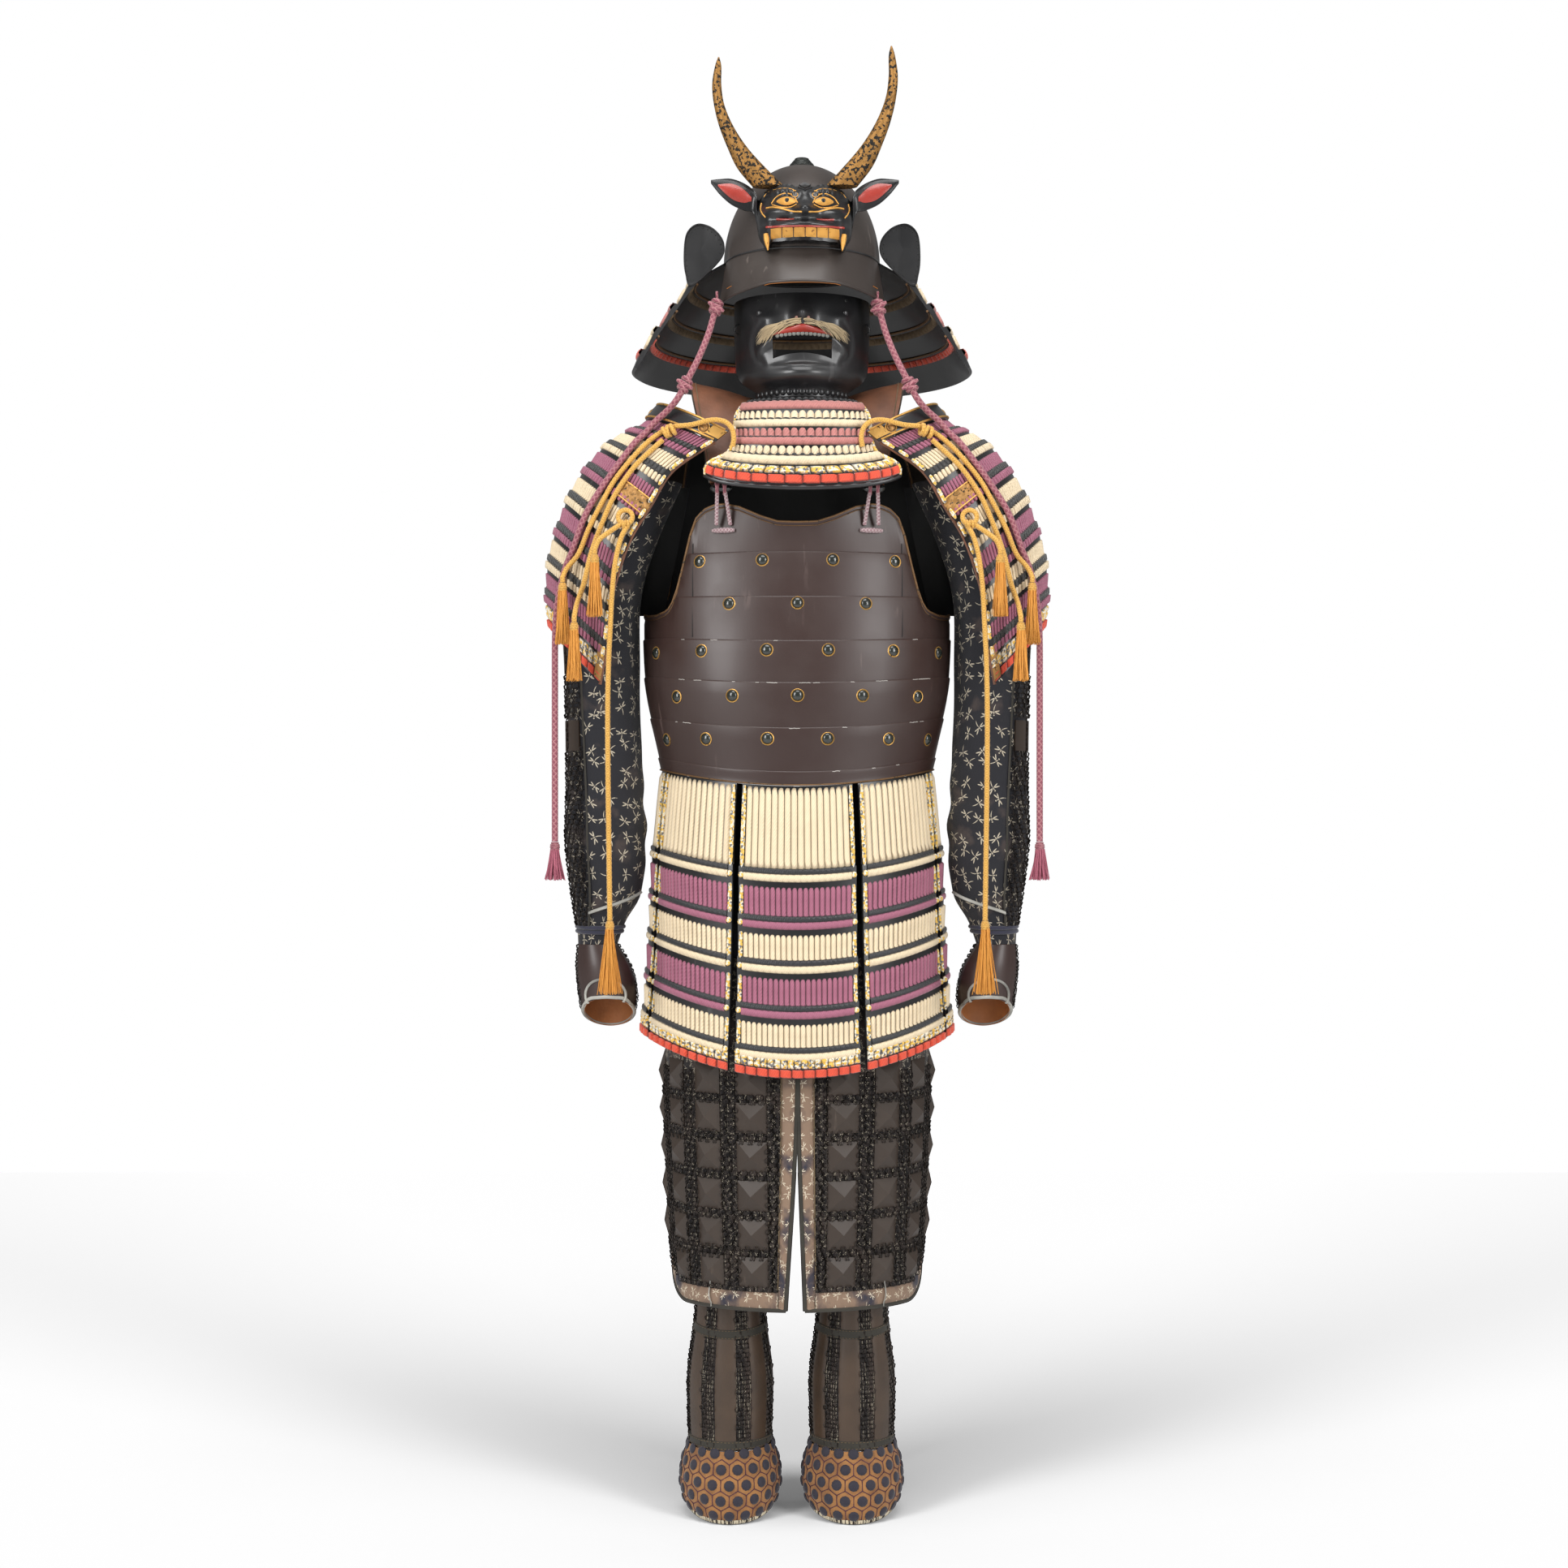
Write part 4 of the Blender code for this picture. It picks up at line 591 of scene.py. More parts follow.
def band(piece, patch, floor, kind, t0, t1, material, pitch, high):
    """One row of lacing on a patch: ribs run down it, braid leans, beads and blocks stand side by side.

    floor gives the height of the plate under it at each t.
    """
    middle = (t0 + t1) / 2
    width, length = patch.width(middle), patch.length(t0, t1)
    count = max(int(round(width / pitch)), 2)
    per = {"ribs": 4, "braid": 4, "beads": 6, "blocks": 4}[kind]
    rows = {"ribs": np.array([0, 0.08, 0.45, 0.90, 1.0]),
            "braid": np.linspace(0, 1, 6), "beads": np.linspace(0, 1, 6),
            "blocks": np.array([0, 0.12, 0.5, 0.88, 1.0])}[kind]
    across = np.linspace(0, 1, count * per + 1)
    local = (across * count) % 1.0
    cell = np.minimum((across * count).astype(int), count - 1)
    chance = np.random.default_rng(int(1000 * abs(t0)) + count)
    jitter = chance.uniform(-1, 1, count)[cell]
    s, v = local[:, None], rows[None, :]
    if kind == "ribs":
        rise = dome(s) ** 0.8 * (1 + 0.12 * jitter[:, None]) * np.clip(dome(v) * 2.2, 0, 1)
        rounding = 0.5 * pitch / length * (1 - dome(s)) * 0.9
        place = v + (rounding * (1 - v) - 0.4 * rounding * v) * 1.0
        depth = dome(s) * np.clip(dome(v) * 2.5, 0, 1)
    elif kind == "braid":
        mirror = np.where(across < 0.5, 1.0, -1.0)[:, None]
        phase = (s + mirror * BRAID_LEAN * (v - 0.5)) % 1.0
        rise = (0.25 + 0.75 * dome(phase)) * dome(v)
        place = v + 0 * s
        depth = dome(phase) * dome(v)
    elif kind == "beads":
        rise = np.sqrt(np.clip(1 - (2 * s - 1) ** 2 - (2 * v - 1) ** 2, 0, 1))
        place = v + 0 * s
        depth = rise
    else:
        edge = np.clip((0.5 - np.abs(s - 0.5)) * 7, 0, 1)
        rise = edge * np.clip(dome(v) * 1.8, 0, 1)
        place = v + 0 * s
        depth = rise
    t = t0 + (t1 - t0) * place
    u = patch.us[0] + (patch.us[1] - patch.us[0]) * across[:, None] + 0 * t
    under = np.interp(t, floor[0], floor[1])
    points = patch.points(u, t, under - 0.0002 + high * rise)
    uv = np.stack([across[:, None] * width + 0 * t, t * length / (t1 - t0)], axis=2)
    # depth, 0 in the valleys and 1 on the crests, is what the finishes paint shade by
    piece.grid(points, material, uv, np.broadcast_to(depth, t.shape))


def plate_wall(piece, patch, floor, material, lining, thick=0.0018, columns=24):
    """The lacquered plate under the lacing, with its lining and its four edges."""
    u0, u1 = patch.us
    t0, t1 = patch.ts
    us = np.linspace(u0, u1, columns)
    ts = np.unique(np.concatenate([floor[0], np.linspace(t0, t1, 16)]))
    uu, tt = np.meshgrid(us, ts, indexing="ij")
    front = patch.points(uu, tt, np.interp(tt, floor[0], floor[1]))
    piece.grid(front, material, np.stack([uu * 0.01, tt * 0.3], axis=2))
    back = patch.points(uu, tt, -thick)
    piece.grid(back[:, ::-1], lining, np.stack([uu * 0.01, tt * 0.3], axis=2)[:, ::-1])
    piece.close(front, back, material)


def edge_cord(piece, patch, u, t0, t1, lift, radius):
    """A braided edge cord down a patch, in bulging stitches."""
    length = patch.length(t0, t1, u)
    count = max(int(length / 0.0024), 6)
    ts = np.linspace(t0, t1, count)
    line = patch.points(u, ts, lift)
    share = np.linspace(0, 1, count)
    ends = 0.55 + 0.45 * np.clip(np.sin(math.pi * share) * 3, 0, 1)
    wide = radius * ends * (1 + 0.12 * np.sin(share * length * 900))
    piece.tube(line, wide, VARIEGATED, sides=6)


def knot_bead(piece, place, radius, material):
    """A small round knot."""
    place = np.asarray(place, float)
    turns = circle(8)
    rise = np.linspace(-math.pi / 2, math.pi / 2, 5)
    ring = np.stack([
        np.cos(rise)[None] * np.cos(turns)[:, None],
        0.8 * np.cos(rise)[None] * np.sin(turns)[:, None],
        np.sin(rise)[None] + 0 * turns[:, None],
    ], axis=2) * radius * (1 + 0.08 * np.sin(5 * turns)[:, None, None])
    flat = np.stack(np.meshgrid(turns * radius, rise * radius, indexing="ij"), axis=2)
    piece.grid(ring + place, material, flat, wrap=True)


def lame_floor(heads, head_length, last=1.0, step=0.004):
    """Places and heights of the plates' outer face, as in the solids."""
    low, head = 0.0008, 0.0040
    places, heights = [0.0], [low]
    for place in heads:
        places += [place - step, place, place + head_length]
        heights += [low, head, head]
    places.append(last)
    heights.append(low + 0.001)
    return np.array(places), np.array(heights)


def make_skirt():
    floor = lame_floor(SKIRT_HEADS, 0.035)
    edges = [-gap for gap in SKIRT_GAPS[::-1]] + list(SKIRT_GAPS)
    tones = (CREAM, ROSE, CREAM, ROSE, CREAM)
    for number, (left, right) in enumerate(zip(edges, edges[1:]), 1):
        us = (left + SKIRT_SLIT, right - SKIRT_SLIT)
        patch = Patch(skirt_surface, us, (0.0, 1.0), side=-1.0)
        side_by = 0.045 * (us[1] - us[0])
        inner = Patch(skirt_surface, (us[0] + side_by, us[1] - side_by), (0.0, 1.0), side=-1.0)
        piece = Piece("laced_skirt_%d" % number)
        plate_wall(piece, patch, floor, BLACK, LINING_BLACK)
        for i, (head, tone) in enumerate(zip(SKIRT_HEADS, tones)):
            top = 0.004 if i == 0 else SKIRT_HEADS[i - 1] + 0.063
            pitch = 0.0078 if i == 0 else 0.0064
            band(piece, inner, floor, "ribs", top, head + 0.002, tone, pitch, 0.0026)
            band(piece, inner, floor, "braid", head - 0.001, head + 0.021, DARK_BRAID, 0.0062, 0.0022)
            band(piece, inner, floor, "braid", head + 0.018, head + 0.046, tone, 0.0072, 0.0030)
            for u in us:
                inward = side_by * (0.55 if u == us[0] else -0.55)
                edge_cord(piece, patch, u + inward, top, head + 0.004, 0.0028, radius=0.0027)
                knot_bead(piece, patch.points(u + inward, head + 0.030, 0.0052), 0.0036, VARIEGATED)
        band(piece, patch, floor, "beads", 0.932, 0.952, VARIEGATED, 0.0078, 0.0030)
        band(piece, patch, floor, "beads", 0.948, 0.968, VARIEGATED, 0.0078, 0.0030)
        band(piece, patch, floor, "blocks", 0.970, 0.999, RED, 0.0132, 0.0040)
        piece.done(slot="lacing", replaces=("tasset_%d" % number,))


def make_shoulder_guards():
    heads = (1.0, 2.0, 3.0, 4.0, 5.0, 6.0, 7.0)
    floor = lame_floor(heads, 0.27, last=GUARD_LAST, step=0.03)
    floor[0][0] = 0.03
    floor = (floor[0], floor[1] - GUARD_SINK)
    tones = (ROSE, CREAM, ROSE, CREAM, ROSE, CREAM, ROSE)
    for key, side in SIDES:
        patch = Patch(guard_surface(side), (-90.0, 90.0), (0.03, GUARD_LAST), side=-side, cells=(61, 97))
        inner = Patch(guard_surface(side), (-86.5, 86.5), (0.03, GUARD_LAST), side=-side, cells=(61, 97))
        piece = Piece("laced_shoulder_guard_" + key)
        plate_wall(piece, patch, floor, BLACK, LEATHER_DARK, thick=0.0018 + GUARD_SINK, columns=32)
        for i, (head, tone) in enumerate(zip(heads, tones)):
            top = 0.05 if i == 0 else heads[i - 1] + 0.56
            band(piece, inner, floor, "ribs", top, head, tone, 0.0046, 0.0022)
            band(piece, inner, floor, "blocks", head - 0.01, head + 0.20, GREY_RIBS, 0.0058, 0.0016)
            band(piece, inner, floor, "ribs", head + 0.20, head + 0.44, tone, 0.0056, 0.0030)
            for u in (-88.4, 88.4):
                edge_cord(piece, patch, u, top, head - 0.02, 0.0038, radius=0.0026)
                edge_cord(piece, patch, u, head + 0.16, head + 0.46, 0.0056, radius=0.0024)
        band(piece, patch, floor, "beads", 7.50, 7.72, VARIEGATED, 0.0080, 0.0030)
        band(piece, patch, floor, "beads", 7.68, 7.90, VARIEGATED, 0.0080, 0.0030)
        band(piece, patch, floor, "blocks", 7.92, 8.16, RED, 0.0110, 0.0036)
        for u in (-90.0, 90.0):
            ts = np.linspace(0.05, GUARD_LAST, 120)
            piece.tube(patch.points(u, ts, -0.0010), 0.0021, LEATHER, sides=6)
        piece.done(slot="lacing", replaces=("shoulder_guard_" + key,))


def make_throat_guard():
    floor = lame_floor((0.07, 0.28, 0.47, 0.66, 0.82), 0.05)
    patch = Patch(throat_surface, (-1.0, 1.0), (0.0, 1.0), side=-1.0)
    inner = Patch(throat_surface, (-0.95, 0.95), (0.0, 1.0), side=-1.0)
    piece = Piece("laced_throat_guard")
    plate_wall(piece, patch, floor, BLACK, LINING_BLACK, columns=40)
    rows = (
        ("beads", 0.020, 0.075, DARK_BRAID, 0.0066, 0.0030), ("braid", 0.085, 0.170, PINK, 0.0080, 0.0040),
        ("ribs", 0.195, 0.285, CREAM, 0.0080, 0.0030), ("beads", 0.255, 0.300, DARK_BRAID, 0.0080, 0.0030),
        ("braid", 0.285, 0.360, CREAM, 0.0085, 0.0040),
        ("ribs", 0.375, 0.475, PINK, 0.0080, 0.0030), ("beads", 0.440, 0.485, DARK_BRAID, 0.0080, 0.0030),
        ("braid", 0.473, 0.552, PINK, 0.0088, 0.0042),
        ("ribs", 0.560, 0.655, CREAM, 0.0080, 0.0030), ("beads", 0.625, 0.668, DARK_BRAID, 0.0080, 0.0032),
        ("braid", 0.655, 0.750, CREAM, 0.0096, 0.0046),
        ("beads", 0.760, 0.845, VARIEGATED, 0.0150, 0.0046), ("blocks", 0.852, 0.945, RED, 0.0165, 0.0046),
    )
    for kind, t0, t1, tone, pitch, high in rows:
        band(piece, inner, floor, kind, t0, t1, tone, pitch, high)
    for u in (-0.97, 0.97):
        edge_cord(piece, patch, u, 0.08, 0.97, 0.0040, radius=0.0026)
    us = np.linspace(-1, 1, 90)
    piece.tube(patch.points(us, 0.985, 0.0016), 0.0030, SATIN_BLACK, sides=8)
    piece.done(slot="black_lacquer", replaces=("throat_guard",))


def make_neck_guard():
    heads = (0.20, 0.41, 0.62, 0.83)
    floor = lame_floor(heads, 0.06)
    patch = Patch(neck_guard_surface, (76.0, 284.0), (0.0, 1.0), side=-1.0, cells=(97, 49))
    piece = Piece("laced_neck_guard")
    plate_wall(piece, patch, floor, BLACK, SATIN_BLACK, columns=66)
    tones = (CREAM, PINK, CREAM, RED)
    for head, tone in zip(heads, tones):
        band(piece, patch, floor, "braid", head - 0.005, head + 0.060, tone, 0.0090, 0.0042)
        if head < 0.8:
            band(piece, patch, floor, "ribs", head + 0.075, head + 0.175, tone, 0.0090, 0.0030)
    lining = Patch(neck_guard_surface, (76.0, 284.0), (0.0, 1.0), side=1.0, cells=(97, 49))
    under = (np.array([0.0, 1.0]), np.array([0.0022, 0.0022]))
    for place, tone, pitch in ((0.23, STITCH, 0.0100), (0.47, STITCH, 0.0100), (0.70, RED, 0.0120)):
        kind = "beads" if tone is STITCH else "blocks"
        band(piece, lining, under, kind, place, place + 0.055, tone, pitch, 0.0022)
    for place in (0.21, 0.45, 0.68):
        us = np.linspace(76.0, 284.0, 80)
        piece.tube(lining.points(us, place, 0.0030), 0.0016, BRONZE_RIM, sides=6)
    piece.done(slot="black_lacquer", replaces=("neck_guard",))


make_skirt()
make_shoulder_guards()
make_throat_guard()
make_neck_guard()


# Cords and tassels

ROSE_D = 0.0080
GOLD_D = 0.0065
ROSE_ROUTE = (
    (0.0965, -0.0600, 0.1265), (0.1005, -0.0625, 0.1120), (0.1070, -0.0680, 0.0880),
    (0.1175, -0.0760, 0.0600), (0.1300, -0.0840, 0.0330), (0.1435, -0.0860, 0.0072),
    (0.1558, -0.0803, -0.0063), (0.1690, -0.0783, -0.0176), (0.1822, -0.0827, -0.0336),
    (0.1933, -0.0863, -0.0444), (0.2075, -0.0888, -0.0630), (0.2306, -0.0880, -0.0948),
    (0.2528, -0.0859, -0.1303), (0.2698, -0.0830, -0.1754), (0.2787, -0.0806, -0.1969),
    (0.2872, -0.0785, -0.2337), (0.2905, -0.0775, -0.2700), (0.2910, -0.0770, -0.3400),
    (0.2910, -0.0770, -0.4300), (0.2910, -0.0770, -0.5170),
)
GOLD_ROUTES = {
    "gold_cord": (
        (0.0770, -0.1165, -0.0545), (0.0755, -0.1175, -0.0440), (0.0782, -0.1160, -0.0322),
        (0.0862, -0.1142, -0.0245), (0.1006, -0.1100, -0.0217), (0.1270, -0.1026, -0.0265),
        (0.1473, -0.0958, -0.0276), (0.1593, -0.0928, -0.0321), (0.1753, -0.0927, -0.0428),
        (0.1945, -0.0943, -0.0621), (0.2180, -0.0926, -0.0910), (0.2342, -0.0929, -0.1196),
        (0.2485, -0.0913, -0.1472), (0.2619, -0.0898, -0.1792), (0.2755, -0.0940, -0.1970),
        (0.2800, -0.0970, -0.2075),
    ),
    "gold_branch": (
        (0.1603, -0.0977, -0.0436), (0.1741, -0.0976, -0.0559), (0.1952, -0.0982, -0.0769),
        (0.2182, -0.0974, -0.1103), (0.2316, -0.0981, -0.1400), (0.2456, -0.0964, -0.1774),
        (0.2550, -0.0982, -0.2160), (0.2620, -0.1085, -0.2400), (0.2645, -0.1170, -0.2560),
    ),
    "ring_cord": (
        (0.2100, -0.1085, -0.1455), (0.2230, -0.1135, -0.1550), (0.2350, -0.1175, -0.1650),
        (0.2400, -0.1195, -0.1760),
    ),
    "long_cord": (
        (0.2010, -0.1085, -0.1455), (0.2085, -0.1115, -0.1600), (0.2140, -0.1135, -0.1800),
        (0.2178, -0.1140, -0.2050), (0.2200, -0.1140, -0.2300), (0.2218, -0.1140, -0.2650),
        (0.2240, -0.1140, -0.3100), (0.2250, -0.1140, -0.3700), (0.2246, -0.1140, -0.4500),
        (0.2236, -0.1140, -0.5300), (0.2225, -0.1140, -0.6100),
    ),
}
# name of each cord's tassel, length of its skirt and half width at the tips
TASSELS = {
    "rose_cord": ("rose_tassel", 0.038, 0.0145),
    "gold_cord": ("tassel_a", 0.066, 0.0110),
    "gold_branch": ("tassel_b", 0.062, 0.0105),
    "ring_cord": ("tassel_c", 0.066, 0.0105),
    "long_cord": ("tassel_d", 0.079, 0.0165),
}
TASSEL_GAP = 0.0008
LEVEL_END = 0.0060      # a cord's last stretch hangs plumb
RING = (0.2045, -0.1085, -0.1370)
RING_RADIUS = 0.0085


def smooth_line(points, step):
    """Points in equal steps along a smooth curve through a route."""
    length, keyed = 0.0, [(0.0, *points[0])]
    for before, after in zip(points, points[1:]):
        length += (Vector(after) - Vector(before)).length
        keyed.append((length, *after))
    count = max(int(round(length / step)), 2) + 1
    return np.array([at(keyed, key) for key in np.linspace(0.0, length, count)])


def braid_silk(name, colour, other, pitch, share):
    """Braided cord: two tones that cross in slanting stitches."""
    made = Finish(name, colour, 0.7, sheen=0.25)
    parts = wire(made.tree, "ShaderNodeSeparateXYZ", {"Vector": made.flat})
    along = maths(made.tree, "MULTIPLY", parts.outputs[1], 2 * math.pi / pitch)
    around = maths(made.tree, "MULTIPLY", parts.outputs[0], 900.0)
    first = maths(made.tree, "SINE", maths(made.tree, "ADD", along, around))
    second = maths(made.tree, "SINE", maths(made.tree, "SUBTRACT", along, around))
    stitch = maths(made.tree, "MAXIMUM", first, second)
    made.lay(ramp(made.tree, stitch, 1 - share, 1 - share + 0.15), other)
    fibres = made.group(FIBRE, Place=made.flat, Fibre=4200.0, Slant=1.0)
    made.lay(fibres["Fibres"], tuple(0.45 * c for c in colour), 0.25)
    made.lay(fibres["Shade"], tuple(0.75 * c for c in colour), 0.4)
    # painted shade: the valleys between strands darkened to a third of the cord's colour
    made.paint_valley_shade(0.5, tuple(0.3 * c for c in colour), 0.7)
    made.raise_by(stitch, 0.0006, 0.4)
    made.raise_by(fibres["Fibres"], 0.0004, 0.4)
    return made.done()


ROSE_CORD = braid_silk("rose cord", (0.26, 0.060, 0.090), (0.46, 0.20, 0.21), 0.0070, 0.45)
GOLD_CORD = braid_silk("gold cord", (0.66, 0.33, 0.045), (0.78, 0.46, 0.10), 0.0030, 0.5)
GOLD_FLOSS = silk("gold tassel floss", (0.72, 0.30, 0.035), (0.34, 0.11, 0.01), fibre=5000.0, slant=0.1)
ROSE_FLOSS = silk("rose tassel floss", (0.40, 0.10, 0.15), (0.18, 0.03, 0.05), fibre=5000.0, slant=0.1)


def braid_bulge(pitch, strands, high):
    """The radius of a round braid: it swells where a strand lies over."""
    def bulge(along, round_angle):
        turn = 2 * math.pi * along / pitch
        over = np.maximum(np.abs(np.sin(strands * round_angle / 2 + turn / 2)),
                          np.abs(np.sin(strands * round_angle / 2 - turn / 2)))
        return 1 - high + high * over
    return bulge


def square_to(direction):
    """A direction a unit long, and two more square to it."""
    along = Vector(direction).normalized()
    across = along.orthogonal().normalized()
    return along, across, along.cross(across)


def wrap(piece, place, along, radius, thick, material, turns=3, lean=0.2):
    """Turns of a cord bound tightly round another, which read as a knot."""
    along, across, over = square_to(along)
    for number in range(turns):
        middle = Vector(place) + along * (number - (turns - 1) / 2) * thick * 1.9
        tilt = lean * (1 if number % 2 else -1)
        ring = []
        for angle in circle(16):
            out = across * math.cos(angle) + over * math.sin(angle)
            ring.append(middle + out * radius + along * tilt * radius * math.cos(angle))
        piece.tube(ring, thick, material, sides=7, closed=True)


def make_tassel(name, top, skirt, wide, neck, floss, binding, node, seed):
    """A bound head, and a skirt of many fine strands that hang from under it."""
    piece = Piece(name)
    for low, radius in ((0.0012, 0.80), (0.0036, 1.05), (0.0060, 1.12), (0.0084, 1.0)):
        turns = circle(18)
        ring = np.stack([np.cos(turns), np.sin(turns), 0 * turns], axis=1) * neck * radius * 0.72
        piece.tube(ring + top - np.array([0, 0, low]), 0.0016, binding, sides=7, closed=True)
    chance = np.random.default_rng(seed)
    count = 105
    for number in range(count):
        angle = 2 * math.pi * (number + chance.uniform(-0.4, 0.4)) / count * 7
        share = math.sqrt((number + 0.5) / count)
        reach = wide * share * chance.uniform(0.80, 1.0)
        out = np.array([math.cos(angle), math.sin(angle), 0.0])
        sway = np.array([chance.uniform(-1, 1), chance.uniform(-1, 1), 0.0]) * 0.0012
        low = skirt * chance.uniform(0.94, 1.0)
        steps = np.array([0.0, 0.18, 0.45, 0.75, 1.0])
        line = []
        for step in steps:
            radius = neck * 0.85 * share + (reach - neck * 0.85 * share) * step ** 1.25
            hang = np.array([0, 0, 0.008 + low * step])
            line.append(top + out * radius + sway * math.sin(3 * step + number) - hang)
        piece.tube(line, (0.0007, 0.0007, 0.00065, 0.0006, 0.0004), floss, sides=3)
    return piece.done(replaces=(node,))


def make_cords():
    for key, side in SIDES:
        mirror = np.array([side, 1, 1])
        routes = {"rose_cord": ROSE_ROUTE, **GOLD_ROUTES}
        for number, (cord, route) in enumerate(routes.items()):
            rose = cord == "rose_cord"
            diameter, step, pitch, high = GOLD_D, 0.0013, 0.0056, 0.12
            braid, floss, slot = GOLD_CORD, GOLD_FLOSS, "gold_cord"
            if rose:
                diameter, step, pitch, high = ROSE_D, 0.0014, 0.0070, 0.16
                braid, floss, slot = ROSE_CORD, ROSE_FLOSS, "rose_cord"
            line = smooth_line([tuple(mirror * point) for point in route], step)
            plumb = [line[-1] - np.array([0, 0, LEVEL_END * share]) for share in np.linspace(0.15, 1, 6)]
            line = np.concatenate([line, plumb])
            piece = Piece("braided_%s_%s" % (cord, key))
            bulge = braid_bulge(pitch, 4, high)
            piece.tube(line, diameter / 2, braid, sides=10 if rose else 8, bulge=bulge)
            made = piece.done(slot=slot, replaces=("%s_%s" % (cord, key),))
            name, skirt, wide = TASSELS[cord]
            top = line[-1] - np.array([0, 0, TASSEL_GAP])
            node, seed = "%s_%s" % (name, key), 40 + number + (10 if side > 0 else 0)
            tassel = make_tassel("floss_" + node, top, skirt, wide, 0.0058 if rose else 0.0050,
                                 floss, braid, node, seed)


def make_knots():
    """Knots along the cords, the thin ties up to the brim, and the gold ring on each guard's edge."""
    for key, side in SIDES:
        mirror = np.array([side, 1, 1])
        knots = Piece("knots_" + key)
        for first in (0, 4):
            a, b = Vector(mirror * ROSE_ROUTE[first]), Vector(mirror * ROSE_ROUTE[first + 1])
            middle = a + (b - a) * 0.35
            wrap(knots, middle, b - a, 0.0052, 0.0030, ROSE_CORD)
            cross = Vector((side, 0, 0.6)).normalized()
            forward, reaches = Vector((0, -0.004, 0)), np.linspace(-0.011, 0.011, 9)
            swell = (0.0016, 0.0026, 0.0032, 0.0034, 0.0034, 0.0034, 0.0032, 0.0026, 0.0016)
            knots.tube([middle + cross * reach + forward for reach in reaches], swell, ROSE_CORD, sides=8)
        brim = [(0.0965, -0.0600, 0.1265), (0.0968, -0.0615, 0.1330), (0.0970, -0.0640, 0.1400)]
        knots.tube([mirror * p for p in brim], 0.0016, ROSE_CORD, sides=7)
        a, b = (Vector(mirror * GOLD_ROUTES["gold_cord"][i]) for i in (6, 7))
        wrap(knots, (a + b) / 2 + Vector((0, -0.001, -0.003)), b - a, 0.0056, 0.0027, GOLD_CORD)
        hung = Vector(mirror * RING) - Vector((0, 0, RING_RADIUS))
        wrap(knots, hung, (1, 0, 0), 0.0042, 0.0016, GOLD_CORD)
        turns = circle(40)
        ring = np.stack([np.cos(turns), 0.15 * np.sin(turns), np.sin(turns)], axis=1) * RING_RADIUS
        rope = braid_bulge(0.0032, 4, 0.14)
        knots.tube(ring + mirror * RING, 0.0030, GOLD_CORD, sides=10, closed=True, bulge=rope)
        knots.done(slot="gold_cord")


make_cords()
make_knots()


# Helmet

BOWL_A, BOWL_B = 0.0965, 0.1150
BOWL_RIM_Z, BOWL_H = 0.1846, 0.1244
CROWN = 0.07


def bowl_surface(turn, t):
    angle, rise = math.radians(turn), t * math.pi / 2
    across = math.sin(rise)
    return (HEAD_X + BOWL_A * across * math.sin(angle), BOWL_BACK - BOWL_B * across * math.cos(angle),
            BOWL_RIM_Z + BOWL_H * math.cos(rise))


def brim_surface(turn, t):
    angle = math.radians(turn)
    a, b = BOWL_A + 0.0085 * t, BOWL_B + 0.0270 * t
    x = a * math.sin(angle)
    drop = min(max((abs(x) - 0.040) / 0.060, 0.0), 1.0)
    low = 0.1405 - 0.0090 * drop
    return HEAD_X + x, BOWL_BACK - b * math.cos(angle), BOWL_RIM_Z + (low - BOWL_RIM_Z) * t


def shell(piece, patch, thick, outside, inside, us=60, ts=30, height=0.0):
    """A wall over a patch: outer face with an optional relief, plain inner face and four edges."""
    uu, tt = np.meshgrid(np.linspace(*patch.us, us), np.linspace(*patch.ts, ts), indexing="ij")
    rise = height(uu, tt) if callable(height) else height
    front = patch.points(uu, tt, rise)
    back = patch.points(uu, tt, -thick)
    flat = np.stack([uu * 0.002, tt * 0.1], axis=2)
    piece.grid(front, outside, flat)
    piece.grid(back[:, ::-1], inside, flat[:, ::-1])
    piece.close(front, back, outside)


def torus(piece, centre, normal, radius, thick, material, sides=20, around=7, twist=0):
    """A small ring; twist gives it rope strands."""
    normal, across, over = square_to(normal)
    ring = [Vector(centre) + (across * math.cos(a) + over * math.sin(a)) * radius
            for a in circle(sides)]
    bulge = None
    if twist:
        length = 2 * math.pi * radius

        def bulge(along, angle):
            return 0.86 + 0.14 * np.abs(np.sin(angle + math.pi * twist * along / length))
    piece.tube(ring, thick, material, sides=around, closed=True, bulge=bulge)


def stud(piece, centre, normal, radius, high, material, sides=16, rows=6):
    """A domed stud seated on a surface."""
    normal, across, over = square_to(normal)
    grid = []
    for a in circle(sides):
        column = []
        for r in np.linspace(0.02, math.pi / 2, rows):
            out = (across * math.cos(a) + over * math.sin(a)) * radius * math.sin(r)
            column.append(Vector(centre) + out + normal * high * math.cos(r))
        grid.append(column)
    grid = np.array(grid)
    start = piece.grid(grid, material, wrap=True)
    piece.cap(start, rows, sides, material)


